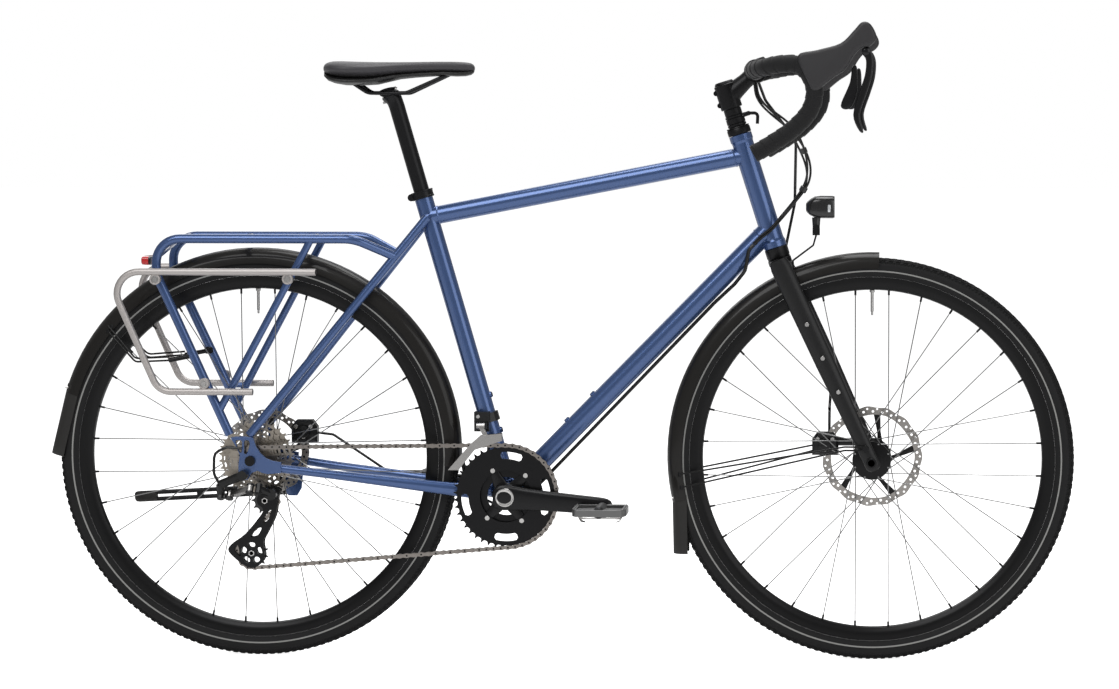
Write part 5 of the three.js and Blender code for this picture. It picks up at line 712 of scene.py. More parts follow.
dropout_outline = [
    (-0.68, 0.8), (-0.5, 0.84), (-0.1, 0.84), (0.1, 0.8), (0.2, 0.5), (0.36, 0.26), (0.56, 0.08), (0.8, 0.0),
    (1.06, -0.04), (1.06, -0.42), (0.6, -0.46), (0.4, -0.42), (0.25, -0.34), (0.1, -0.4), (0, -0.46),
    (-0.04, -0.58),
    (-0.12, -0.66), (-0.26, -0.68), (-0.38, -0.62), (-0.42, -0.42), (-0.42, -0.2), (-0.4, 0), (-0.36, 0.2),
    (-0.5, 0.5),
]
dropout_windows = [
    [(-0.52, 0.66), (-0.48, 0.72), (-0.32, 0.72), (-0.28, 0.66), (-0.3, 0.3), (-0.34, 0.27), (-0.39, 0.32)],
    [(-0.21, 0.68), (-0.17, 0.72), (-0.06, 0.71), (-0.01, 0.62), (-0.03, 0.5), (-0.1, 0.28), (-0.16, 0.22),
        (-0.22, 0.27)],
]


for side, name in ((1, "stays_left"), (-1, "stays_right")):
    bm = bmesh.new()
    rings = []
    for k in range(9):
        share = 0.05 + 0.95 * k / 8
        tall = max(7.5, 13.3 - 5.8 * min(1, share / 0.75))
        way = chainstay_point(1, side) - chainstay_point(0, side)
        rings.append(ring_at(chainstay_point(share, side), way, along_y, 7.6, tall))
    skin(bm, rings, 32)
    stay_top = top_rear + along_y * 20 * side
    stay_foot = rear_axle + place(-4, 67 * side, 43)
    rod(bm, stay_foot, stay_top, 7.5, sides=32)
    end_way = (stay_top - stay_foot).normalized()
    rod(bm, stay_top, stay_top + end_way * 6, 7.5, 2.4, sides=32)
    outline = scaled(dropout_outline, 50, rear_axle)
    holes = [scaled(shares, 50, rear_axle) for shares in dropout_windows]
    plate(bm, outline, 71.2 * side, 77.8 * side, holes + [circle(xz(rear_axle), 6.4, 24)])
    spot = chainstay_at(rear_axle.x + BRIDGE_AHEAD, side)
    rod(bm, place(spot.x, 0, spot.z), spot, 6, sides=20)
    finished(name + "_tubes", bm, blue_paint, "frame", "blue_paint", name, bevel=0.5)

# Kickstand mount: a welded plate below the left chainstay with the leg's slanted pivot pin.
# It is steel and blue like the stay; the pin and its washer are plain black.
splay = degree(17)
stand_axis = place(0, math.cos(splay), math.sin(splay))
stand_pivot = Vector((-483.99, 80, 282))
mount_top = chainstay_at(stand_pivot.x, 1)
drop = mount_top.z - stand_pivot.z
mount_outline = [(-0.5, 0.1), (0.5, 0.1), (0.46, -0.5), (0.4, -0.95), (0.2, -1.2), (-0.2, -1.2),
    (-0.4, -0.95), (-0.46, -0.5)]
bm = bmesh.new()
outline = [(stand_pivot.x + x * 40, mount_top.z + z * drop) for x, z in mount_outline]
plate(bm, outline, 66.9, 70.6)
finished("stand_mount", bm, blue_paint, "frame", "blue_paint", bevel=0.4)
bm = bmesh.new()
rod(bm, stand_pivot - stand_axis * 11.4, stand_pivot + stand_axis * 11.4, 4, sides=20)
rod(bm, stand_pivot + stand_axis * 8.4, stand_pivot + stand_axis * 11.4, 7.1, sides=24, edge=0.5)
finished("stand_pin", bm, black_alloy, "frame", "black_alloy")

# Rack: bent steel tube rails, welded to the seat stays and the dropouts as one with the frame.
# Three cross bars join the rails on top, and a front strut on each side meets the rear strut.
RACK_HALF, RACK_TOP, SHOULDER_RISE, FOOT_RISE, MEETING_RISE = 60, 383, 321, 44, 85
rack_front = rear_axle + place(180, RACK_HALF, RACK_TOP)
rack_corner = rear_axle + place(-164, RACK_HALF, RACK_TOP)
rack_shoulder = rear_axle + place(-164, RACK_HALF, SHOULDER_RISE)
rack_foot = rear_axle + place(-37, 69, FOOT_RISE)
rack_nose = rear_axle + place(244, 29, 352)


def on_rear_strut(rise):
    return rack_shoulder.lerp(rack_foot, (SHOULDER_RISE - rise) / (SHOULDER_RISE - FOOT_RISE))


strut_top, strut_meet = rear_axle + place(106, RACK_HALF, RACK_TOP), on_rear_strut(MEETING_RISE)


def on_front_strut(rise):
    return strut_top.lerp(strut_meet, (RACK_TOP - rise) / (RACK_TOP - MEETING_RISE))


rack_bolt_points = (on_rear_strut(314), on_front_strut(315), on_rear_strut(134))
bm = bmesh.new()
for side in (1, -1):
    corners = [to_side(p, side) for p in (rack_nose, rack_front, rack_corner, rack_shoulder, rack_foot)]
    sweep(bm, rounded(corners, [60, 42, 60], 10), 8, 24)
    rod(bm, to_side(strut_top, side), to_side(strut_meet, side), 6.5, sides=20)
    rod(bm, to_side(on_rear_strut(118), side), to_side(on_front_strut(118), side), 5, sides=18)
    for point in rack_bolt_points:
        rod(bm, to_side(point, side), place(point.x, 76.4 * side, point.z), 6, sides=20)
for reach in (-132, -20, 96):
    rod(bm, rear_axle + place(reach, -RACK_HALF, RACK_TOP), rear_axle + place(reach, RACK_HALF, RACK_TOP),
        5, sides=20)
lamp_low, lamp_high = rear_axle + place(-179.7, 0, 343), rear_axle + place(-132, 0, RACK_TOP)
plate_way = (lamp_high - lamp_low).normalized()
skin(bm, [ring_at(lamp_low - plate_way * 8, plate_way, along_y, 16, 2.2),
    ring_at(lamp_high, plate_way, along_y, 16, 2.2)], 4)
finished("rack_tubes", bm, blue_paint, "frame", "blue_paint", "rack")

# Pannier rails: bent aluminium tube, bead blasted and left silver, open at both ends, where a black disc just
# inside is painted shade in the hollow.
# Each hangs outside the rack on three rings, held by a hexagon bolt through a welded boss.
for side, name in ((1, "pannier_rail_left"), (-1, "pannier_rail_right")):
    tubes, bolts, bore_shade = bmesh.new(), bmesh.new(), bmesh.new()
    corners = [rear_axle + place(x, 83 * side, z) for x,
        z in ((118, 327), (-247, 327), (-157, 120), (7, 120))]
    points = rounded(corners, [38, 33], 10)
    sweep(tubes, points, 6, 24)
    for point in rack_bolt_points:
        foot = place(point.x, 77 * side, point.z)
        out = along_y * side
        turned(tubes, foot, out, ((0, 9.5), (7.6, 9.5), (8.6, 8.7), (8.6, 6.6), (6.4, 6.2)), 32)
        rod(bolts, foot + out * 6, foot + out * 8.4, 4.6, sides=6, edge=0.4)
        rod(bolts, foot + out * 5.6, foot + out * 6.6, 6.0, sides=24)
    # A black disc just inside each open end is painted shade for the hollow of the tube.
    for end, inward in ((corners[0], corners[1] - corners[0]), (corners[-1], corners[-2] - corners[-1])):
        rod(bore_shade, end + inward.normalized() * 2, end - inward.normalized() * 0.12, 4.7, sides=24)
    finished(name + "_tube", tubes, silver_alloy, "frame", "silver_alloy", name)
    finished(name + "_bolts", bolts, polished, "frame", "cage_steel")
    finished(name + "_bore_shade", bore_shade, hub_black, "frame", "black_alloy")

# Mudguards: long channels of brown-black laminated plastic over each tyre, with a flared rubber flap.
# Thin stainless wires hold their lower ends, and a tab bolts each to the bridge or below the crown.
guard_plastic = grained(
    "guard_plastic", (0.01, 0.009, 0.008), 0.36, 0.0, (900.0, 0.08), Coat_Weight=0.25, Specular_IOR_Level=0.2)
flap_rubber = grained("flap_rubber", (0.01, 0.009, 0.008), 0.6, 0.0, (1500.0, 0.2))
wire_black = grained("black_wire", (0.015, 0.015, 0.015), 0.35, 0.7, (2400.0, 0.08))


GUARD_RADIUS = 356.5


def guard_section(half=24.0, depth=27.0, wall=1.6):
    """The channel's cross-section: its outer curve out and its inner curve back."""
    def curve(size, drop):
        points = []
        for k in range(13):
            angle = math.pi * k / 12
            across = -math.cos(angle)
            up = math.sin(angle) ** 0.75
            points.append((across * (half - size), (up - 1) * depth - drop * up))
        return points
    return curve(0, 0) + list(reversed(curve(wall, wall)))


def guard(name, axle, rise, start, end, flap, flap_turn, body, node):
    """A channel swept round the wheel, and the flap that carries on from its lower end."""
    centre = axle + along_z * rise

    def ring(angle):
        way = place(-math.sin(angle), 0, math.cos(angle))
        spot = centre + place(math.cos(angle), 0, math.sin(angle)) * GUARD_RADIUS
        return placed(along_y, -way.cross(along_y), way, spot)

    steps = int(math.degrees(end - start) / 3)
    rings = [ring(start + (end - start) * k / steps) for k in range(steps + 1)]
    bm = bmesh.new()
    skin(bm, rings, section=guard_section())
    finished(name + "_channel", bm, guard_plastic, body, "guard_plastic", node, sharp=40)
    flap_angle = end + degree(90) + flap_turn
    flap_way = place(math.cos(flap_angle), 0, math.sin(flap_angle))
    bm = bmesh.new()
    last = rings[-1]
    rows = []
    for reach, spread in ((-14, 1.0), (flap * 0.4, 1.0), (flap * 0.8, 1.03), (flap * 0.96, 0.98),
        (flap - 0.4, 0.86)):
        rows.append(placed(along_y * spread, -flap_way.cross(along_y), flap_way,
            last.translation + flap_way * reach))
    skin(bm, rows, section=guard_section(23.2, 26.4, 2.6))
    finished(name + "_flap", bm, flap_rubber, body, "guard_plastic", sharp=40)
    rivets = bmesh.new()
    for side in (-12, 0, 12):
        foot = last.translation + flap_way * -8 + along_y * side
        out = place(math.cos(end), 0, math.sin(end))
        rod(rivets, foot - out * 4, foot + out * 0.3, 2.4, sides=12)
    finished(name + "_rivets", rivets, polished, body, "cage_steel")
    return centre


rear_centre = guard(
    "rear_guard", rear_axle, 9, degree(-4), degree(163), 112, degree(3), "frame", "rear_mudguard")
front_centre = guard(
    "front_guard", front_axle, 3, degree(88), degree(193), 90, degree(-12), "steering", "front_mudguard")


def guard_edge(centre, angle):
    reach = GUARD_RADIUS - 27 + 4.8
    return centre + place(reach * math.cos(angle), 22.4, reach * math.sin(angle))


REAR_WIRE_TURN = degree(141)
bm, clips = bmesh.new(), bmesh.new()
for side in (1, -1):
    anchor = on_rear_strut(181)
    bracket_end = anchor + place(-45, -6, -9)
    edge = guard_edge(rear_centre, REAR_WIRE_TURN)
    for shift in (0, 6):
        up = along_z * shift
        wire = rounded([bracket_end + up, bracket_end + place(-62, -14, -4) + up, edge + up * 1.6], 14, 6)
        sweep(bm, [to_side(p, side) for p in wire], 1.7, 10)
    rod(clips, to_side(bracket_end, side), to_side(anchor + place(-1, -12, -0.5), side), 4, sides=16,
        edge=0.6)
    rod(clips, to_side(anchor + place(3, -13.2, 0), side), to_side(anchor + place(-7, -7, -1), side), 6.2,
        sides=16, edge=0.8)
    for shift in (0, 10):
        spot = to_side(guard_edge(rear_centre, REAR_WIRE_TURN - shift / 350), side)
        rod(clips, spot - along_z * 3, spot + along_z * 4, 3.4, sides=12, edge=0.5)
bridge = chainstay_at(rear_axle.x + BRIDGE_AHEAD, 1)
tab_foot = rear_centre + place(GUARD_RADIUS * math.cos(degree(-4)), 0,
    GUARD_RADIUS * math.sin(degree(-4)) + 13)
rod(clips, tab_foot, place(bridge.x - 4, 0, bridge.z + 5), 4, sides=16)
finished("rear_guard_wires", bm, wire_black, "frame", "black_alloy")
finished("rear_guard_clips", clips, black_alloy, "frame", "black_alloy")

blade_top, blade_foot = place(fork_crown.x, 44, fork_crown.z), front_axle + along_y * 57
blade_way = (blade_top - blade_foot).normalized()
bm, clips = bmesh.new(), bmesh.new()
for side in (1, -1):
    start = blade_foot + blade_way * 24
    outside = start + along_y * 11.6
    for turn, lift in ((189, 0.0), (185, 6.0)):
        edge = guard_edge(front_centre, degree(turn))
        corners = [outside + along_z * lift, outside + place(-36, -1.7, lift), edge]
        sweep(bm, [to_side(p, side) for p in rounded(corners, 12, 6)], 1.6, 10)
        spot = to_side(edge, side)
        rod(clips, spot - along_z * 4, spot + along_z * 3, 3.4, sides=12, edge=0.5)
    rod(clips, to_side(start + place(0, 5, 3), side), to_side(start + place(0, 13, 3), side), 6.0, sides=20,
        edge=0.6)
angle = math.atan2(fork_crown.z - front_centre.z, fork_crown.x - front_centre.x)
out = place(math.cos(angle), 0, math.sin(angle))
reach = (fork_crown - front_centre).length - 20 * 0.72 - 1.6
rod(clips, front_centre + out * 354.9, front_centre + out * reach, 4.5, sides=16)
finished("front_guard_wires", bm, wire_black, "steering", "black_alloy")
finished("front_guard_clips", clips, black_alloy, "steering", "black_alloy")

# Fork: a unicrown of satin black carbon with straight tapered blades and a through axle.
# Three silver bolts close the threaded bosses on each blade's outer side.
fork_black = grained(
    "fork_paint", (0.0065, 0.0065, 0.007), 0.42, 0.0, (1800.0, 0.06), Specular_IOR_Level=0.25,
    Coat_Weight=0.25, Coat_Roughness=0.3)
crown_race = Vector((384.01, 0, 697.68))
bm, bolts, race = bmesh.new(), bmesh.new(), bmesh.new()
blade_run = (blade_top - blade_foot).length
for side in (1, -1):
    def at(reach, long, thick):
        point = to_side(blade_foot + blade_way * reach, side)
        return ring_at(point, to_side(blade_way, side), along_y, thick, long)
    stations = (
        (-15, 6.5, 4.4), (-12.5, 10.4, 6.0), (-7.5, 12.8, 6.4), (0, 13, 6.5), (15, 12.9, 6.5),
        (60, 13.6, 7.2),
        (blade_run * 0.5, 17, 9.3), (blade_run * 0.85, 18, 9.5), (blade_run - 4, 18, 9.5),
        (blade_run + 9.5, 15, 8.4),
    )
    skin(bm, [at(*station) for station in stations], 32)
    first = blade_run * 0.36
    for i in range(3):
        point = to_side(blade_foot + blade_way * (first + i * 64), side)
        out = along_y * side
        rod(bm, point + out * 6, point + out * 11.2, 4.6, sides=20, edge=0.4)
        rod(bolts, point + out * 10.6, point + out * 12.0, 3.7, sides=20, edge=0.3)
crown = [(-44, 17, 9.6), (-30, 19.2, 10), (0, 20.2, 10), (30, 19.2, 10), (44, 17, 9.6)]
turned(bm, fork_crown, along_y, crown, 32, along_x)
rod(race, crown_race - head_up * 9, crown_race, 20.5, sides=48, edge=0.5)
rod(race, crown_race, Vector((301.0, 0, 961.0)), 14.3, sides=32)
rod(race, front_axle - along_y * 68, front_axle + along_y * 68, 6, sides=24)
for side in (1, -1):
    rod(race, front_axle + along_y * 63 * side, front_axle + along_y * 68 * side, 9, sides=32, edge=0.9)
finished("fork_blades", bm, fork_black, "steering", "black_paint", "fork")
finished("fork_race", race, black_alloy, "steering", "black_alloy")
finished("fork_bolts", bolts, polished, "steering", "cage_steel")

# Headset and spacers: turned black cups pressed into the head tube, and a stack of round spacers.
# The top spacer carries the little bell, whose lever stands ahead of it.
bm = bmesh.new()
for face, outwards, height in ((head_top, head_up, 14.5), (head_bottom, -head_up, 20.5)):
    turned(bm, face, outwards, (
        (0.3, 19.6), (1.0, 20.4), (height - 5, 20.4), (height - 2.6, 19.2), (height - 2.0, 20.2),
        (height - 0.4, 19.4)), 48)
finished("headset_cups", bm, black_alloy, "frame", "black_alloy", "headset_upper", "headset_lower")
bm = bmesh.new()
for low, high, size in ((14.8, 19.4, 16.4), (19.8, 29.6, 16.4), (30.0, 34.0, 16.4), (34.4, 46.2, 15.3)):
    rod(bm, head_top + head_up * low, head_top + head_up * high, size, sides=48, edge=0.6)
bell_pivot = Vector((330.39, 0, 949.2))
root = head_top + head_up * 30.5 + head_ahead * 15.5
bell_arm = bell_pivot - root
for side in (1, -1):
    out = along_y * 6.2 * side
    skin(bm, [ring_at(root + out, bell_arm, along_y, 1, 4),
              ring_at(bell_pivot + out + bell_arm.normalized() * 3, bell_arm, along_y, 1, 3.4)], 16)
rod(bm, bell_pivot - along_y * 7, bell_pivot + along_y * 7, 1.5, sides=16)
finished("headset_spacer_stack", bm, black_alloy, "steering", "black_alloy", "headset_spacers")
bm = bmesh.new()
bow = bell_pivot + head_ahead * 16 - head_up * 4.4
tip = bell_pivot + head_ahead * 9.6 - head_up * 22
sweep(bm, rounded([bell_pivot + head_ahead * 1.0, bow, tip], 6, 6), 2.8, 16)
rod(bm, bell_pivot - along_y * 4, bell_pivot + along_y * 4, 4, sides=24, edge=0.5)
finished("bell_striker", bm, black_alloy, "bell_lever", "black_alloy", "bell_lever")

# Stem: forged and machined aluminium, anodised black, with a four-bolt face plate and a pinch clamp.
# A dished cap closes the steerer's top.
stem_bottom = head_top + head_up * 46.5
stem_middle = stem_bottom + head_up * 22
bar_centre = Vector((344.71, 0, 1021.86))
bm, bolts = bmesh.new(), bmesh.new()
rod(bm, stem_bottom + head_up * 0.3, stem_bottom + head_up * 44, 18.8, sides=48, edge=1.2)
neck_way = bar_centre - stem_middle
turned(bm, stem_middle, neck_way, (
    (0.05, 17.5, 19.0), (0.3, 15.6, 16.2), (0.6, 14.2, 14.0), (0.95, 14.2, 14.2)), 40, along_y)
rod(bm, bar_centre - along_y * 21, bar_centre + along_y * 21, 20.3, sides=48, edge=1.4)
rod(bm, stem_bottom + head_up * 44, stem_bottom + head_up * 48.8, 17.2, 15.6, sides=48, edge=0.8)
for share in (0.25, 0.75):
    point = stem_bottom + head_up * 44 * share - head_ahead * 18.2
    rod(bm, point - along_y * 5, point + along_y * 9.5, 4.6, sides=24, edge=0.5)
    rod(bolts, point - along_y * 5.6, point - along_y * 4.8, 3.2, sides=20)
for up in (15.2, -15.2):
    for side in (14, -14):
        point = bar_centre + head_ahead * 15.2 + head_up * up + along_y * side
        rod(bm, point - head_ahead * 9, point + head_ahead * 4.4, 5.0, sides=24, edge=0.8)
        rod(bolts, point + head_ahead * 4.2, point + head_ahead * 4.9, 3.1, sides=20)
rod(bolts, stem_bottom + head_up * 48.6, stem_bottom + head_up * 49.0, 4.2, sides=24)
finished("stem_body", bm, black_alloy, "steering", "black_alloy", "stem")
finished("stem_bolts", bolts, hub_black, "steering", "black_alloy")

# Drop bar: a bent aluminium tube, thicker at the clamp, anodised black where the tape leaves it bare.
# Its drops flare outwards a little.
bar_shares = [
    (0, 0, 0), (0, 0.4, 0), (0, 0.8, 0), (0, 1.15, 0), (0.06, 1.5, 0.01), (0.24, 1.85, 0.04),
    (0.5, 2.03, 0.09),
    (0.78, 2.08, 0.08), (0.98, 2.09, -0.09), (1.07, 2.1, -0.36), (0.99, 2.12, -0.68), (0.72, 2.14, -0.98),
    (0.34, 2.16, -1.24), (0.06, 2.17, -1.4),
]


bar_line = smooth_line([bar_centre + place(x * 100, y * 100, z * 100) for x, y, z in bar_shares], 220)
bm = bmesh.new()
tape_first = next(i for i, point in enumerate(bar_line) if point.y > 62)
bare = bar_line[:tape_first + 6]
widths = [15.9 if p.y < 32 else max(11.9, 15.9 - 4 * (p.y - 32) / 23) for p in bare]
for side in (1, -1):
    sweep(bm, [to_side(p, side) for p in bare], widths, 32)
finished("bar_tube", bm, black_alloy, "steering", "black_alloy", "handlebar")

# Bar tape: a long strip of soft black foam, wound round the bar so that each turn overlaps the last.
# A rubber plug closes each end, and a band of adhesive tape holds the winding by the stem.
tape_foam = grained(
    "bar_tape", (0.0084, 0.0084, 0.009), 0.72, 0.0, (1400.0, 0.45, 0.0003, 6.0), Specular_IOR_Level=0.25,
    Sheen_Weight=0.15)
taped = smooth_line(bar_line[tape_first:], 640)
lengths = lengths_along(taped)
TAPE_RADIUS, TAPE_STEP, TAPE_SIDES = 14.2, 17.0, 32
for side, name in ((1, "bar_tape_left"), (-1, "bar_tape_right")):
    bm = bmesh.new()
    wide = None
    rings = []
    for i, point in enumerate(taped):
        way = (taped[min(i + 1, len(taped) - 1)] - taped[max(i - 1, 0)]).normalized()
        wide = along_z if wide is None else wide
        wide = (wide - way * wide.dot(way)).normalized()
        rings.append(ring_at(to_side(point, side), to_side(way, side), to_side(wide, side), TAPE_RADIUS))
    skin(bm, rings, TAPE_SIDES)
    verts = list(bm.verts)
    for i, point in enumerate(taped):
        row = verts[i * TAPE_SIDES:(i + 1) * TAPE_SIDES]
        centre = to_side(point, side)
        for k, vert in enumerate(row):
            phase = (lengths[i] / TAPE_STEP + side * k / TAPE_SIDES) % 1.0
            swell = 1.1 * phase if phase < 0.93 else 1.1 * (1 - phase) / 0.07
            end = min(1.0, lengths[i] / 3, (lengths[-1] - lengths[i]) / 3)
            vert.co = centre + (vert.co - centre) * ((TAPE_RADIUS + swell * end) / TAPE_RADIUS)
    finished(name + "_winding", bm, tape_foam, "steering", "bar_tape", name, sharp=60)
    bm = bmesh.new()
    end_way = to_side((taped[-1] - taped[-6]).normalized(), side)
    rod(bm, to_side(taped[-1], side) - end_way * 3, to_side(taped[-1], side) + end_way * 0.3, 13.6,
        sides=32, edge=1.2)
    rod(bm, to_side(taped[0], side) - along_y * side * 0.2, to_side(taped[0], side) + along_y * side * 9,
        15.0, sides=40, edge=0.5)
    finished(name + "_ends", bm, black_paint, "steering", "bar_tape", sharp=30)

# Brake hoods: rubber covers with soft shoulders over the lever bodies, clamped on the bend of the bar.
# The rubber is matt, with a fine grain and a raised horn at the front.
hood_rubber = grained("hood_rubber", (0.022, 0.021, 0.023), 0.5, 0.0, (1700.0, 0.3, 0.0002, 4.0))
LEVER_SIDE, PADDLE_SIDE = 211, 200.3
hood_outline = [
    (0.79, 0.22), (1.12, 0.32), (1.5, 0.43), (1.72, 0.64), (1.85, 0.775), (1.98, 0.757), (2.08, 0.6),
    (2.08, 0.48),
    (1.98, 0.38), (1.86, 0.36), (1.74, 0.25), (1.58, 0.0), (1.38, -0.14), (1.22, -0.27), (1.12, -0.35),
    (1.03, -0.34), (0.96, -0.2),
]


def pillow(bm, outline, centre_y, half, edge, rows=5):
    """A plate whose rim is rounded right round, by insetting its outline towards both faces."""
    area = sum(x0 * z1 - x1 * z0 for (x0, z0), (x1, z1) in zip(outline, outline[1:] + outline[:1]))
    if area < 0:
        outline = outline[::-1]
    loop = [bm.verts.new((x, centre_y, z)) for x, z in outline]
    face = bm.faces.new(loop)
    raised = bmesh.ops.extrude_face_region(bm, geom=[face])["geom"]
    top = [item for item in raised if isinstance(item, bmesh.types.BMFace)]
    lifted = [item for item in raised if isinstance(item, bmesh.types.BMVert)]
    bmesh.ops.translate(bm, vec=(0, half - edge, 0), verts=lifted)
    bmesh.ops.translate(bm, vec=(0, -(half - edge), 0), verts=loop)
    for cap, sign in ((top[0], 1), (face, -1)):
        for k in range(rows):
            low, high = math.sin(math.pi / 2 * k / rows), math.sin(math.pi / 2 * (k + 1) / rows)
            near, far = 1 - math.cos(math.pi / 2 * k / rows), 1 - math.cos(math.pi / 2 * (k + 1) / rows)
            bmesh.ops.inset_region(bm, faces=[cap], thickness=(far - near) * edge, use_even_offset=False)
            bmesh.ops.translate(bm, vec=(0, sign * (high - low) * edge, 0), verts=list(cap.verts))


hood_shape = smooth_outline(scaled(hood_outline, 100, bar_centre), 4)
for side, name in ((1, "hood_left"), (-1, "hood_right")):
    bm = bmesh.new()
    pillow(bm, hood_shape, LEVER_SIDE * side, 16.4, 6.0)
    finished(name + "_cover", bm, hood_rubber, "steering", "hood_rubber", name, sharp=50)

# Brake levers and shift paddles: forged aluminium blades, anodised black and slightly glossy.
# Each lever hooks forwards at its end for the fingers, and the short paddle stands behind it.
lever_black = grained("lever_black", (0.0132, 0.0132, 0.0144), 0.24, 0.7, (3000.0, 0.05), Coat_Weight=0.3)
lever_outline = [
    (0, 0.07), (0.07, 0.04), (0.12, -0.12), (0.1, -0.4), (0.01, -0.7), (-0.1, -1.05), (-0.04, -1.33),
    (-0.12, -1.3),
    (-0.21, -1.05), (-0.12, -0.7), (-0.02, -0.4), (0, -0.15), (-0.06, -0.04),
]
paddle_outline = [(-0.03, 0.06), (0.05, 0.05), (0.05, -0.35), (-0.06, -0.62), (-0.22, -0.58), (-0.07, -0.2)]
lever_pivot, paddle_pivot = bar_centre + place(192, LEVER_SIDE, 30), bar_centre + place(172, PADDLE_SIDE, -2)
lever_shape = smooth_outline(scaled(lever_outline, 100, lever_pivot), 4)
paddle_shape = smooth_outline(scaled(paddle_outline, 100, paddle_pivot), 5)
for side, name in ((1, "left"), (-1, "right")):
    bm = bmesh.new()
    pillow(bm, lever_shape, LEVER_SIDE * side, 5.9, 2.6, 3)
    rod(bm, to_side(lever_pivot, side) - along_y * 6, to_side(lever_pivot, side) + along_y * 6, 6.9,
        sides=32, edge=0.6)
    finished("brake_lever_blade_" + name, bm, lever_black, "brake_lever_" + name, "lever_alloy",
        "brake_lever_" + name, sharp=50)
    bm = bmesh.new()
    pillow(bm, paddle_shape, PADDLE_SIDE * side, 3.4, 1.6, 3)
    finished("shift_paddle_blade_" + name, bm, lever_black, "shift_paddle_" + name, "lever_alloy",
        "shift_paddle_" + name, sharp=50)

# Seat clamp and post: a pinch collar over the slotted seat tube, and a straight black post.
# The post's head holds both saddle rails between two clamp halves with a bolt in front and behind.
post_top = seat_top + seat_up * 165
rail_centre = post_top + seat_back * 6 + seat_up * 13
bm = bmesh.new()
turned(bm, seat_top, seat_up, (
    (-14, 18.6), (-13.4, 19.4), (-11, 19.4), (-10.4, 18.8), (-3.6, 18.8), (-3, 19.4), (-0.6, 19.4),
    (0, 18.4)), 48)
ear = seat_top - seat_up * 7 + seat_back * 19.5
rod(bm, ear - along_y * 9, ear - along_y * 1, 6.4, sides=24, edge=0.8)
rod(bm, ear + along_y * 1, ear + along_y * 9, 6.4, sides=24, edge=0.8)
rod(bm, ear - along_y * 8, ear + along_y * 8, 2.5, sides=16)
finished("seat_collar", bm, black_alloy, "frame", "black_alloy", "seat_clamp")
bm, bolts = bmesh.new(), bmesh.new()
rod(bm, seat_top - seat_up * 120, post_top - seat_up * 12, 13.6, sides=48)
skin(bm, [ring_at(post_top + seat_up * up + seat_back * back, seat_up, along_y, wide, long) for up, back,
    wide, long in (
    (-13, 0, 13.6, 13.6), (-6, 0.5, 13.8, 13.8), (0, 2, 15, 15), (4, 4, 17.5, 16.5),
    (7, 5.6, 19.5, 15.5))], 40)
turned(bm, rail_centre, along_y, (
    (-20, 12, 4.2), (-19, 14, 5.4), (0, 15.5, 6.2), (19, 14, 5.4), (20, 12, 4.2)), 40, seat_back)
turned(bm, rail_centre + seat_up * 6.4, along_y, ((-19, 13, 2.3), (0, 14, 2.3), (19, 13, 2.3)), 32, seat_back)
for back in (11.5, -11.5):
    point = rail_centre + seat_back * back
    rod(bolts, point - seat_up * 14, point + seat_up * 8.4, 2.4, sides=16)
    rod(bolts, point - seat_up * 15.5, point - seat_up * 12, 4.2, sides=24, edge=0.5)
finished("seatpost_tube", bm, black_alloy, "seatpost", "black_alloy", "seatpost")
finished("seatpost_bolts", bolts, polished, "seatpost", "cage_steel")

# Saddle: a nylon shell with foam under a matt black cover, on two bent steel rails.
# The wings droop behind, a shallow channel runs down the middle, and the nose is slim and rounded.
saddle_cover = grained(
    "saddle_cover", (0.04, 0.038, 0.043), 0.5, 0.0, (1300.0, 0.35, 0.0003, 5.0), Sheen_Weight=0.1)
saddle_base = grained("saddle_base", (0.0072, 0.0072, 0.0072), 0.4, 0.0, (2000.0, 0.1))
SADDLE_BACK, SADDLE_LENGTH, SADDLE_HALF, SADDLE_HEIGHT = 112, 262, 71, 26
saddle_rear = rail_centre + place(-SADDLE_BACK, 0, 29)
saddle_stations = [
    (0.004, 0.3, 0.62, 0.2), (0.02, 0.62, 0.88, -0.12), (0.05, 0.82, 0.98, -0.36), (0.09, 0.93, 1.02, -0.5),
    (0.15, 0.985, 1.01, -0.6), (0.2, 0.99, 0.99, -0.61), (0.27, 0.94, 0.97, -0.6), (0.34, 0.83, 0.96, -0.56),
    (0.42, 0.65, 0.96, -0.38), (0.5, 0.49, 0.97, -0.2), (0.6, 0.385, 0.99, -0.1), (0.7, 0.32, 1.015, -0.03),
    (0.8, 0.275, 1.025, 0.02), (0.88, 0.255, 1.01, -0.02), (0.94, 0.225, 0.96, 0.0),
    (0.975, 0.175, 0.88, 0.08),
    (0.992, 0.11, 0.74, 0.2), (0.998, 0.05, 0.6, 0.32),
]
bm, base = bmesh.new(), bmesh.new()
section = superellipse(40, 0.72, 0.86)
for target, top_share, low_share, grow in ((bm, 1.0, 0.3, 1.0), (base, 0.36, 0.0, 0.965)):
    rings = []
    for x, wide, top, low in saddle_stations:
        high = low + (top - low) * top_share
        under = low + (top - low) * low_share
        along = SADDLE_LENGTH * (0.5 + (x - 0.5) * (0.992 if grow < 1 else 1))
        centre = saddle_rear + place(along, 0, SADDLE_HEIGHT * (high + under) / 2)
        rings.append(placed(
            along_y * SADDLE_HALF * wide * grow, along_z * (SADDLE_HEIGHT / 2) * (high - under), along_x,
            centre))
    skin(target, rings, section=section)
for vert in bm.verts:
    along_share = (vert.co.x - saddle_rear.x) / SADDLE_LENGTH
    if vert.co.z > saddle_rear.z + 16 and 0.06 < along_share < 0.96:
        groove = math.exp(-(vert.co.y / 11) ** 2) * math.sin(math.pi * (along_share - 0.06) / 0.9) ** 0.5
        vert.co.z -= 2.6 * groove
saddle_pad = finished("saddle_cover", bm, saddle_cover, "saddle", "saddle_cover", "saddle", sharp=70)
smoother = saddle_pad.modifiers.new("smooth", "SUBSURF")
smoother.levels = smoother.render_levels = 1
finished("saddle_base", base, saddle_base, "saddle", "saddle_cover", sharp=70)
bm = bmesh.new()
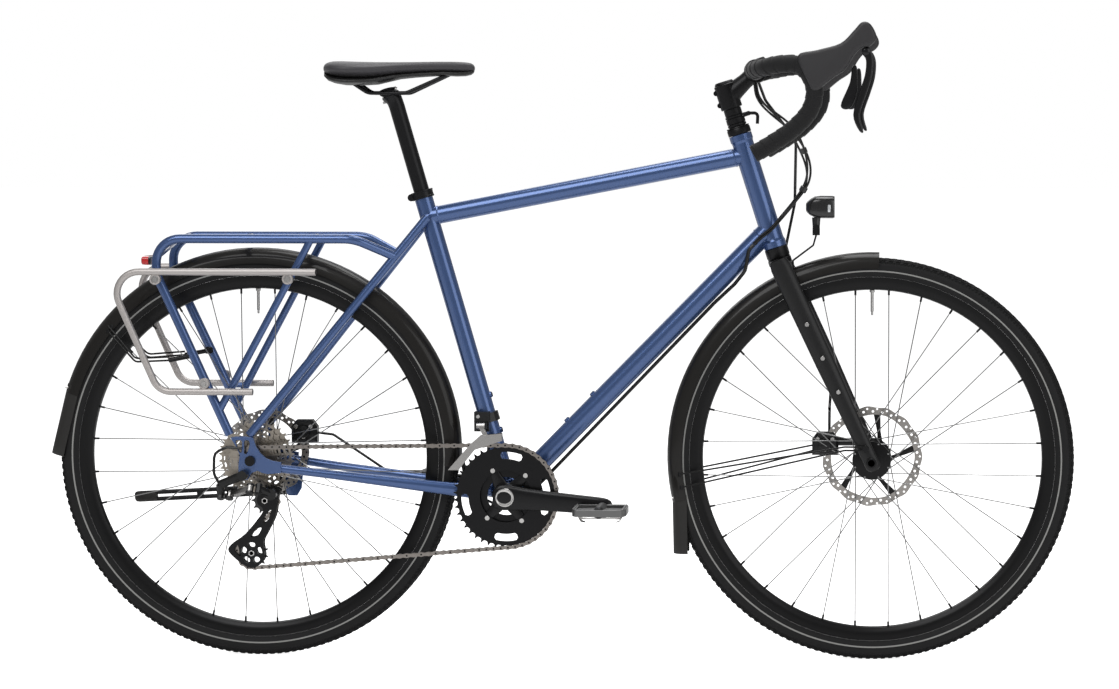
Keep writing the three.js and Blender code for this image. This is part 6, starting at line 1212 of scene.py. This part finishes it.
for side in (1, -1):
    corners = [
        rail_centre + place(SADDLE_BACK * share, y * side, rise)
        for share, y, rise in ((-0.7, 33, 31), (-0.3, 22, 0), (0.3, 22, 0), (0.95, 8, 33))]
    sweep(bm, rounded(corners, 22, 8), 3.4, 20)
finished("saddle_rails", bm, black_alloy, "saddle", "cage_steel")

# Bottom bracket: two threaded cups of black aluminium outside the shell, with notches for the tool.
# Their bearings carry the crank spindle.
bm = bmesh.new()
for side in (1, -1):
    near, far = 34.3 * side, 41.2 * side
    lathe(bm, [
        (12.9, near), (21.8, near), (22.0, near + 0.8 * side), (22.0, far - 2.4 * side),
        (20.6, far - 0.4 * side),
        (12.9, far)], bracket, 64)
finished("bottom_bracket_cups", bm, black_alloy, "frame", "black_alloy", "bottom_bracket", sharp=28)

# Chainrings: stamped and machined aluminium, black, with a full set of real teeth.
# The large ring has long curved windows between its outer band and the bolt circle.
ring_black = grained("ring_black", (0.013, 0.013, 0.014), 0.3, 0.75, (2600.0, 0.1))


CHAIN_PITCH = 12.7
RING_BOLT_TURNS = (117, 47, -57, 229)


def pitch_radius(teeth):
    return CHAIN_PITCH / (2 * math.sin(math.pi / teeth))


def sprocket(centre, teeth, tall=2.3, deep=3.6):
    """The outline of a toothed wheel: a round seat for each roller and a narrow tip between seats."""
    pitch = pitch_radius(teeth)
    steps = ((-0.30, -deep * 0.72), (-0.16, -deep), (0.0, -deep - 0.25), (0.16, -deep),
        (0.30, -deep * 0.72), (0.40, 0.6),
             (0.46, tall), (0.54, tall), (0.60, 0.6))
    points = []
    for tooth in range(teeth):
        for share, rise in steps:
            points.append(polar(xz(centre), pitch + rise, TURN * (tooth + share) / teeth))
    return points


def arc_slot(centre, radius, half, middle, span, steps=12):
    points = []
    for side, start, end in ((1, -1, 1), (-1, 1, -1)):
        for k in range(steps + 1):
            share = k / steps
            angle = middle + span * (start + (end - start) * share)
            ease = 1.0 if 0 < k < steps else 0.45
            points.append(polar(xz(centre), radius + side * half * ease, angle))
    return points


bm = bmesh.new()
slots = [
    arc_slot(bracket, 71.5, 6.2, degree(middle), degree(half))
    for middle, half in ((82, 15), (0, 26), (192, 15), (-90, 16))
]
plate(bm, sprocket(bracket, 44), -50.75, -49.05, [circle(xz(bracket), 45, 64), *slots])
finished("large_ring", bm, ring_black, "cranks", "ring_alloy", "chainrings", bevel=0.25)
bm = bmesh.new()
plate(bm, sprocket(bracket, 30), -44.15, -42.45, [circle(xz(bracket), 33, 64)])
finished("small_ring", bm, ring_black, "cranks", "ring_alloy", bevel=0.25)
bm = bmesh.new()
for turn in RING_BOLT_TURNS:
    spot = bracket + place(50 * math.cos(degree(turn)), 0, 50 * math.sin(degree(turn)))
    rod(bm, spot + along_y * -51.4, spot + along_y * -42, 4.2, sides=20, edge=0.3)
finished("ring_bolts", bm, polished, "cranks", "cage_steel")

# Cranks: hollow forged aluminium arms with a satin black coat and softly rounded faces.
# The right arm is one piece with the spindle and its four-armed spider; a steel cap closes the left.
crank_black = grained(
    "crank_black", (0.008, 0.008, 0.009), 0.3, 0.4, (2600.0, 0.06), Specular_IOR_Level=0.25,
    Coat_Weight=0.2, Coat_Roughness=0.2)
pedal_right_centre, pedal_left_centre = Vector((84.48, 0, 273.47)), Vector((-259.45, 0, 300.53))
CRANK_LENGTH = 172.5
squircle = superellipse(36, 0.62, 0.62)
arm_stations = [
    (-0.122, 9, 13, 58), (-0.115, 14.5, 17, 58), (-0.09, 19.5, 18.6, 58), (-0.05, 22.4, 18.8, 58),
    (0.0, 22.8, 18.8, 58),
    (0.08, 21.6, 18.4, 58), (0.18, 19.4, 17.4, 59), (0.4, 17.2, 15, 63), (0.65, 16.2, 14.8, 66.6),
    (0.9, 15.4, 14.8, 70),
    (0.98, 14.8, 14.8, 70), (1.03, 13.4, 14.4, 70), (1.065, 10.4, 13.2, 70), (1.08, 6.4, 11, 70),
]
for side, eye, name in ((-1, pedal_right_centre, "crank_right"), (1, pedal_left_centre, "crank_left")):
    way = (eye - bracket).normalized()
    bm = bmesh.new()
    skin(bm, [
        placed(along_y * thick / 2, way.cross(along_y) * tall, way,
               bracket + way * share * CRANK_LENGTH + along_y * offset * side)
        for share, tall, thick, offset in arm_stations], section=squircle)
    finished(name + "_arm", bm, crank_black, "cranks", "black_alloy", name, sharp=40)
    bm = bmesh.new()
    lathe(bm, [(9.4, 66.9 * side), (15.6, 66.9 * side), (16.0, 67.5 * side), (15.6, 68.0 * side),
        (14.4, 68.1 * side),
               (13.4, 67.3 * side), (9.4, 67.1 * side)], bracket, 56)
    rod(bm, eye + along_y * 77.4 * side, eye + along_y * 86 * side, 7.4, sides=6, edge=0.5)
    rod(bm, eye + along_y * 63.4 * side, eye + along_y * 64.2 * side, 5.5, sides=24)
    rod(bm, eye + along_y * 70 * side, eye + along_y * 158 * side, 5.9, sides=24, edge=0.4)
    finished(name + "_steel", bm, polished, "cranks", "cage_steel")
bm = bmesh.new()
rod(bm, bracket + along_y * 67.0, bracket - along_y * 60, 11.8, sides=40)
rod(bm, bracket - along_y * 41.8, bracket - along_y * 56, 21.2, sides=56, edge=0.8)
for turn in RING_BOLT_TURNS:
    out = place(math.cos(degree(turn)), 0, math.sin(degree(turn)))
    middle = bracket - along_y * 46.6
    turned(bm, middle, out, ((12, 2.1, 12), (24, 2.1, 11), (38, 2.1, 8.4), (52, 2.1, 8), (55.5, 2.1, 5.6)),
        20, along_y)
finished("crank_spider", bm, crank_black, "cranks", "black_alloy")

# Pedals: a flat silver aluminium cage round a black sleeve, with a steel clip on the underside.
# Round bearings let each turn on its axle, and the cage's ends carry small grip teeth.
pedal_silver = grained("pedal_silver", (0.2, 0.2, 0.2), 0.34, 1.0, (2400.0, 0.15))


PEDAL_LENGTH, PEDAL_WIDTH, PEDAL_THICKNESS = 92, 78, 12
for side, eye, name in ((-1, pedal_right_centre, "pedal_right"), (1, pedal_left_centre, "pedal_left")):
    middle = eye + along_y * 124.5 * side
    corner = [(0.5, 0.3), (0.47, 0.42), (0.42, 0.49), (0.3, 0.5)]
    outer = [(x * across, y * up) for across, up in ((-1, -1), (1, -1), (1, 1), (-1, 1))
             for x, y in (corner if across == up else corner[::-1])]
    inner = [(-0.42, -0.38), (0.42, -0.38), (0.42, 0.38), (-0.42, 0.38)]
    bm = bmesh.new()
    loops = [[(middle.x + x * PEDAL_LENGTH, middle.y + y * PEDAL_WIDTH, middle.z - PEDAL_THICKNESS / 2)
              for x, y in loop] for loop in (outer, inner)]
    thickened(bm, loops, (0, 0, PEDAL_THICKNESS))
    for sign in (-1, 1):
        for k in range(9):
            spot = middle + place(sign * 42.4, -28 + 7 * k, 4.6)
            rod(bm, spot, spot + along_z * 3.2, 1.7, 0.9, sides=6)
    finished(name + "_cage", bm, pedal_silver, name, "pedal_alloy", name, bevel=0.8)
    bm = bmesh.new()
    body = [(-37, 7.6), (-34, 9.6), (-20, 10.3), (20, 10.3), (34, 9.6), (37, 7.6), (37, 6.4), (-37, 6.4)]
    lathe(bm, [(radius, reach) for reach, radius in body], middle, 32)
    for sign in (-1, 1):
        turned(bm, middle, along_x, ((sign * 8, 20, 4.5), (sign * 24, 15, 4.2), (sign * 40, 12, 4.0)), 16,
            along_y)
    finished(name + "_sleeve", bm, black_alloy, name, "pedal_alloy")
    bm = bmesh.new()
    for sign in (1, -1):
        skin(bm, [
            ring_at(middle + place(sign * x, 0, z), place(sign * 0.4, 0, -1), along_y, wide, thick)
            for x, z, wide, thick in (
                (34, -5, 12, 2.0), (36, -12, 12.5, 1.8), (33, -17.6, 10.5, 1.8), (27, -19.4, 8, 1.2))], 16)
    turned(bm, middle - along_z * 10.5, along_x, (
        (-36, 9, 4.4), (-20, 12.4, 4.4), (20, 12.4, 4.4), (36, 9, 4.4)), 20, along_y)
    finished(name + "_clip", bm, polished, name, "cage_steel")

# Cassette: eleven stamped steel sprockets on one freehub, each with its own teeth and thin spacers.
# The steel is nickel plated, with a warm bronze cast from oil.
cog_steel = speckled(
    "cog_steel", (0.42, 0.38, 0.33), 0.3, 1.0, (0.36, 0.32, 0.27), (0.47, 0.43, 0.38), 500.0)
bm = bmesh.new()
COG_LINE, RING_LINE, COG_STEP = -64.5, -49.9, 3.74
for i, teeth in enumerate((11, 12, 13, 14, 15, 17, 19, 21, 24, 28, 32)):
    y = COG_LINE + COG_STEP * i
    holes = [circle(xz(rear_axle), 16.2 if teeth < 24 else 18.0, 40)]
    if teeth > 20:
        ring_reach = (pitch_radius(teeth) - 6 + 19) / 2
        span = (pitch_radius(teeth) - 6 - 19) / 2 - 1.2
        for k in range(6):
            holes.append(arc_slot(rear_axle, ring_reach, span, TURN * k / 6 + 0.2, 0.33, 6))
    plate(bm, sprocket(rear_axle, teeth, 2.2, 3.4), y - 0.75, y + 0.75, holes)
finished("sprockets", bm, cog_steel, "cassette", "cog_steel", "cassette", sharp=30)
bm = bmesh.new()
lathe(bm, [(16.3, -63.6), (18.4, -63.6), (18.4, -26.4), (16.3, -26.4)], rear_axle, 40)
lathe(bm, [(11.5, -67.6), (13.8, -67.6), (15.2, -66.6), (15.2, -65.4), (11.5, -65.4)], rear_axle, 40)
finished("sprocket_core", bm, black_alloy, "cassette", "cog_steel")

# Chain: bushing links of bronze-grey steel, made link by link along the route over all four wheels.
# Outer plates alternate with inner ones, and a pin and roller sit at every pitch; pins and rollers are near
# black as painted shade for the dark gaps between the plates.
chain_steel = speckled(
    "chain_steel", (0.3, 0.27, 0.25), 0.28, 1.0, (0.2, 0.18, 0.17), (0.38, 0.35, 0.32), 900.0)
upper_pulley, lower_pulley = Vector((-503.99, COG_LINE, 280)), Vector((-527.99, COG_LINE, 188.5))
chain_wheels = [
    (bracket, pitch_radius(44), -1), (lower_pulley, pitch_radius(13), -1),
    (upper_pulley, pitch_radius(11), 1),
    (rear_axle, pitch_radius(11), -1),
]


def run_heading(start, end):
    across, up = end[0].x - start[0].x, end[0].z - start[0].z
    share = (start[2] * start[1] - end[2] * end[1]) / math.hypot(across, up)
    return math.atan2(up, across) + math.asin(share)


def right_of(heading):
    return place(math.sin(heading), 0, -math.cos(heading))


chain_path = []
for i, wheel in enumerate(chain_wheels):
    before, after = chain_wheels[i - 1], chain_wheels[(i + 1) % 4]
    enter, leave = run_heading(before, wheel), run_heading(wheel, after)
    while wheel[2] * (leave - enter) < 0:
        leave += wheel[2] * TURN
    steps = max(8, int(abs(leave - enter) / degree(2)))
    for k in range(steps + 1):
        heading = enter + (leave - enter) * k / steps
        spot = place(wheel[0].x, 0, wheel[0].z) + right_of(heading) * wheel[2] * wheel[1]
        chain_path.append(spot)


def chain_side(x):
    back, ahead = rear_axle.x + 62, bracket.x - 55
    share = min(1, max(0, (x - back) / (ahead - back)))
    return COG_LINE + (RING_LINE - COG_LINE) * share


closed_path = chain_path + [chain_path[0]]
link_count = 2 * round(lengths_along(closed_path)[-1] / CHAIN_PITCH / 2)
pins = [place(spot.x, chain_side(spot.x), spot.z) for spot in spaced(closed_path, link_count)[:-1]]


def link_outline(start, end, radius, waist):
    """A figure-of-eight plate round two pins."""
    run = end - start
    angle = math.atan2(run.z, run.x)
    length = math.hypot(run.x, run.z)
    points = []
    for centre, base in ((0, math.pi / 2), (length, -math.pi / 2)):
        for k in range(7):
            turn = base + math.pi * k / 6
            points.append((centre + radius * math.cos(turn), radius * math.sin(turn)))
        points.append((length / 2, -waist if base > 0 else waist))
    cos, sin = math.cos(angle), math.sin(angle)
    return [(start.x + x * cos - z * sin, start.z + x * sin + z * cos) for x, z in points]


plates, shade_dark_rollers = bmesh.new(), bmesh.new()
for k, start in enumerate(pins):
    end = pins[(k + 1) % link_count]
    offset, thick = (1.84 if k % 2 else 1.24), 0.6
    y = (start.y + end.y) / 2
    outline = link_outline(start, end, 3.9 if k % 2 else 4.1, 2.7)
    for side in (1, -1):
        plate(plates, outline, y + side * offset, y + side * (offset + thick))
    # Each pin and roller is near black, as painted shade in the gap between the plates.
    rod(shade_dark_rollers, start - along_y * 2.48, start + along_y * 2.48, 1.7, sides=8)
    rod(shade_dark_rollers, start - along_y * 1.2, start + along_y * 1.2, 3.1, sides=10)
finished("chain_plates", plates, chain_steel, "frame", "chain_steel", "chain", sharp=40)
# The near-black pins and rollers are painted shade between the chain plates.
finished("chain_shade_dark_rollers", shade_dark_rollers, black_alloy, "frame", "chain_steel", sharp=40)

# Kickstand: two black aluminium rods side by side, from a pivot hub to a flat rubber foot.
# It swings on a slanted pin below the left stay and folds up along the wheel.
stand_droop = degree(3.5)
stand_down = place(0, math.sin(splay), -math.cos(splay))
stand_way = (-along_x * math.cos(stand_droop) + stand_down * math.sin(stand_droop)).normalized()
stand_over = stand_way.cross(stand_axis).normalized()
stand_tip = stand_pivot + stand_way * 288
bm, foot = bmesh.new(), bmesh.new()
for shift in (-6.5, 6.5):
    rod(bm, stand_pivot + stand_over * shift + stand_way * 6,
        stand_tip + stand_over * shift - stand_way * 10, 3.9, sides=20)
turned(bm, stand_pivot, stand_axis, ((-5.4, 10), (-4.6, 10.9), (7.2, 10.9), (7.9, 10.2)), 40)
for reach in (60, 170):
    turned(bm, stand_pivot + stand_way * reach, stand_way, ((-5, 9.6, 4.2), (5, 9.6, 4.2)), 20, stand_over)
turned(foot, stand_tip, stand_way, (
    (-40, 5.6, 8.0), (-37, 6.8, 9.6), (-30, 7.2, 10.2), (-8, 7.2, 10.2), (-3, 6.6, 9.6), (-0.4, 4.8, 7.4),
), 28, stand_axis)
finished("kickstand_rods", bm, black_alloy, "kickstand", "black_alloy", "kickstand_leg")
finished("kickstand_foot", foot, flap_rubber, "kickstand", "cable_rubber")

# Headlight: a black plastic housing with a clear lens over a bright reflector, on a bent steel bracket.
# It tilts on a small bolt at its foot.
lamp_middle, lamp_pivot = fork_crown + place(68, 0, 99), Vector((448.02, 0, 751.14))
lamp_plastic = grained("lamp_plastic", (0.008, 0.008, 0.0085), 0.28, 0.0, (1500.0, 0.06), Coat_Weight=0.4)
clear_lens = grained(
    "lamp_lens", (0.75, 0.78, 0.8), 0.08, 0.35, (700.0, 0.3), Coat_Weight=1.0, Coat_Roughness=0.03)
rounded_box = superellipse(40, 0.5, 0.5)


def boxy(bm, middle, stations):
    """A rounded box along X, from the distance, half width, half height and lift of each section."""
    skin(bm, [placed(along_y * wide, along_z * tall, along_x, middle + place(x, 0, up))
              for x, wide, tall, up in stations], section=rounded_box)


bm = bmesh.new()
boxy(bm, lamp_middle, (
    (-24.6, 9, 6, 0), (-23, 14, 9, 0), (-18, 19.5, 13.6, 0), (-10, 23, 18, 0.4), (0, 23.8, 19.4, 0.2),
    (22, 23.8, 19.4, 0), (24.6, 22.6, 18.4, 0), (24.6, 21, 16.8, 0), (22.8, 20.4, 16.2, 0)))
turned(bm, lamp_pivot, along_y, ((-5.6, 6.3), (5.6, 6.3)), 28, along_x)
turned(bm, lamp_pivot, along_z, ((0, 5.6, 6.2), (18, 5.6, 7.5)), 20, along_y)
finished("headlight_housing", bm, lamp_plastic, "headlight", "lamp_plastic", "headlight", sharp=40)
bm = bmesh.new()
boxy(bm, lamp_middle, ((21.8, 20.2, 16.0, 0), (23.6, 20.2, 16.0, 0), (24.5, 18.6, 14.6, 0)))
finished("headlight_lens", bm, clear_lens, "headlight", "lamp_plastic", sharp=40)

# Rear light: a slim red lens with round ends in a black holder on the rack's slanted plate.
# Fine ribs inside the lens scatter the light.
red_plastic = grained(
    "red_lens", (0.55, 0.008, 0.01), 0.18, 0.0, (600.0, 0.4), Coat_Weight=1.0,
    Emission_Color=(0.6, 0.01, 0.01, 1), Emission_Strength=0.08)
rear_lamp = rear_axle + place(-190, 0, 343)
bm, holder = bmesh.new(), bmesh.new()
boxy(bm, rear_lamp, ((-9.8, 24, 6.2, 0), (-8.4, 26.2, 7.8, 0), (-2, 26.8, 8.3, 0), (3.0, 26.8, 8.3, 0)))
boxy(holder, rear_lamp, ((3.0, 26.4, 8.0, 0), (6, 25, 7.4, 0), (7.0, 22, 6.4, 0)))
finished("rear_light_lens", bm, red_plastic, "frame", "red_lens", "rear_light", sharp=40)
finished("rear_light_holder", holder, lamp_plastic, "frame", "lamp_plastic", sharp=40)

# Solids that keep their own shape: brackets, calipers, derailleur knuckles and the cables in their housings.
# Each is cast, forged or moulded; its edges are eased and it gets its real finish.
cable_rubber = grained(
    "cable_housing", (0.006, 0.006, 0.006), 0.4, 0.0, (2500.0, 0.1), Specular_IOR_Level=0.3, Coat_Weight=0.2)
caliper_black = grained("caliper_black", (0.01, 0.01, 0.0105), 0.34, 0.5, (2200.0, 0.12), Coat_Weight=0.2)
derailleur_silver = grained("derailleur_silver", (0.42, 0.41, 0.4), 0.26, 1.0, (2600.0, 0.12))
for name, material, edge in (
    ("rear_caliper", caliper_black, 0.8), ("front_caliper", caliper_black, 0.8),
    ("rear_axle", black_alloy, 0.5),
    ("front_derailleur_mount", caliper_black, 0.8), ("front_derailleur_cage", derailleur_silver, 0.3),
    ("rear_derailleur_knuckle", caliper_black, 0.5), ("rear_derailleur_link", derailleur_silver, 0.5),
    ("rear_derailleur_body", caliper_black, 0.5), ("lamp_bracket", black_alloy, 0.3),
    ("frame_cables", cable_rubber, 0.0),
    ("front_brake_hose", cable_rubber, 0.0),
):
    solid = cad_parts[name]
    solid.data.materials.clear()
    solid.data.materials.append(material)
    if edge:
        ease_edges(solid, edge, 38)

# Derailleur cage and pulleys: two stamped black plates with windows, bolted through the toothed pulleys.
# The pulleys are moulded plastic with spoked sides, and the cage swings to keep the chain tight.
cage_shares = [
    (0.5, -0.5), (0.47, -0.62), (0.42, -0.95), (0.27, -1.26), (0.2, -1.42), (0.22, -1.7), (0.06, -1.86),
    (-0.12, -1.84),
    (-0.4, -1.6), (-0.36, -1.46), (-0.12, -1.28), (0.12, -1.0), (0.2, -0.85), (0.1, -0.74), (0.12, -0.6),
    (0.27, -0.45),
]
cage_windows = [
    [(0.34, -0.86), (0.29, -1.02), (0.2, -1.08), (0.24, -0.94)],
    [(0.17, -1.17), (0.1, -1.3), (-0.02, -1.33), (0.06, -1.21)],
    [(-0.25, -1.48), (-0.3, -1.53), (-0.29, -1.6), (-0.2, -1.67), (-0.22, -1.58)],
]
outline = smooth_outline(scaled(cage_shares, 100, rear_axle), 4)
holes = [smooth_outline(scaled(shares, 100, rear_axle), 4) for shares in cage_windows]
holes += [arc_slot(lower_pulley, 14.2, 4.6, TURN * k / 5 + 0.3, 0.42, 6) for k in range(5)]
bm = bmesh.new()
for y in (-71, -58):
    plate(bm, outline, y - 1, y + 1, holes)
finished("derailleur_cage_plates", bm, black_alloy, "rear_derailleur_cage", "cage_steel",
    "rear_derailleur_cage", bevel=0.3)
bm = bmesh.new()
for spot in (upper_pulley, lower_pulley):
    rod(bm, spot - along_y * 8.4, spot + along_y * 8.4, 4.0, sides=24, edge=0.5)
    rod(bm, spot - along_y * 8.4, spot - along_y * 6, 5.6, sides=6, edge=0.3)
finished("pulley_bolts", bm, polished, "rear_derailleur_cage", "cage_steel")
for spot, teeth, name in ((upper_pulley, 11, "pulley_upper"), (lower_pulley, 13, "pulley_lower")):
    bm = bmesh.new()
    holes = [circle(xz(spot), 4.4, 28)]
    if teeth > 11:
        holes += [arc_slot(spot, 14.2, 4.8, TURN * k / 5 + 0.3, 0.44, 6) for k in range(5)]
    plate(bm, sprocket(spot, teeth, 2.4, 3.2), -65.3, -63.7, holes)
    lathe(bm, [(4.4, -5.1), (6.9, -5.1), (6.9, 5.1), (4.4, 5.1)], spot, 32)
    finished(name + "_wheel", bm, lamp_plastic, name, "pulley_plastic", name, sharp=40)

# Cables ahead of the head tube: three slim housings in a loose bundle from the bar to the down tube.
# Each is a steel spiral in black plastic, and clips hold the three together.
bundle_end = bracket + down_way * ((down_front - bracket).length - 38) - along_y * 22.6
bundle_start = bar_centre + place(0, -66, -19.8)
bundle_route = [
    bundle_start, bundle_start + place(12, 0, -34), bar_centre + place(70, -46, -112),
    head_bottom + place(56, -34, 118),
    bundle_end + down_way * 46 + place(6, -10, 4), bundle_end + down_way * 20 - along_y * 1,
    bundle_end + down_way * 1.2,
]
middle_line = smooth_line(bundle_route, 70)
bm, clips = bmesh.new(), bmesh.new()
for k in range(3):
    line = []
    for i, point in enumerate(middle_line):
        turn = TURN * (k / 3 + 1.2 * i / 70)
        before, after = middle_line[max(i - 1, 0)], middle_line[min(i + 1, 70)]
        way = (after - before).normalized()
        wide = way.cross(along_y).normalized()
        spread = 2.2 + 3.2 * math.sin(math.pi * min(1, i / 52)) ** 2
        line.append(point + (wide * math.cos(turn) + way.cross(wide) * math.sin(turn)) * spread)
    sweep(bm, line, 1.9, 12)
for i in (30, 44):
    way = (middle_line[i + 1] - middle_line[i - 1]).normalized()
    rod(clips, middle_line[i] - way * 5, middle_line[i] + way * 5, 6.6, sides=20, edge=1)
bend_start, bend_end = middle_line[20] * METRE, middle_line[66] * METRE
for piece in (
    finished("steering_cable_bundle", bm, cable_rubber, None, "cable_rubber", "steering_cables"),
    finished("cable_clips", clips, lamp_plastic, None, "cable_rubber"),
):
    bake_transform(piece)

# Caliper and derailleur hardware: small silver bolt heads, and a round cap on each brake caliper.
# They are turned steel, screwed into the cast bodies.
for middle, body, name in (
    (front_axle + place(-82, 36.8, 22), "steering", "front"),
    (rear_axle + place(68, 54.8, 38), "frame", "rear"),
):
    bm = bmesh.new()
    for shift, up in ((-13, 9), (13, 9), (0, -9)):
        spot = middle + place(shift, 0, up)
        rod(bm, spot + along_y * 11, spot + along_y * 13.2, 3.6, sides=16, edge=0.4)
        rod(bm, spot - along_y * 11, spot - along_y * 13.2, 3.6, sides=16, edge=0.4)
    finished(name + "_caliper_bolts", bm, polished, body, "cage_steel")
    bm = bmesh.new()
    rod(bm, middle - along_y * 11.5, middle - along_y * 14.2, 10.5, sides=32, edge=0.8)
    finished(name + "_caliper_cap", bm, caliper_black, body, "black_alloy")
bm = bmesh.new()
mech_middle = bracket + place(-44, -25.2, 128)
for shift, up in ((-6, 9), (5, -7)):
    spot = mech_middle + place(shift, -9, up)
    rod(bm, spot, spot - along_y * 1.8, 3.4, sides=16, edge=0.4)
finished("front_derailleur_bolts", bm, polished, "frame", "cage_steel")
bm = bmesh.new()
boxy(bm, lamp_middle,
    ((13.5, 23.7, 13.0, -1), (14.0, 24.0, 13.6, -1), (18.0, 24.0, 13.6, -1), (18.5, 23.7, 13.0, -1)))
finished("headlight_side_window", bm, clear_lens, "headlight", "lamp_plastic", sharp=40)
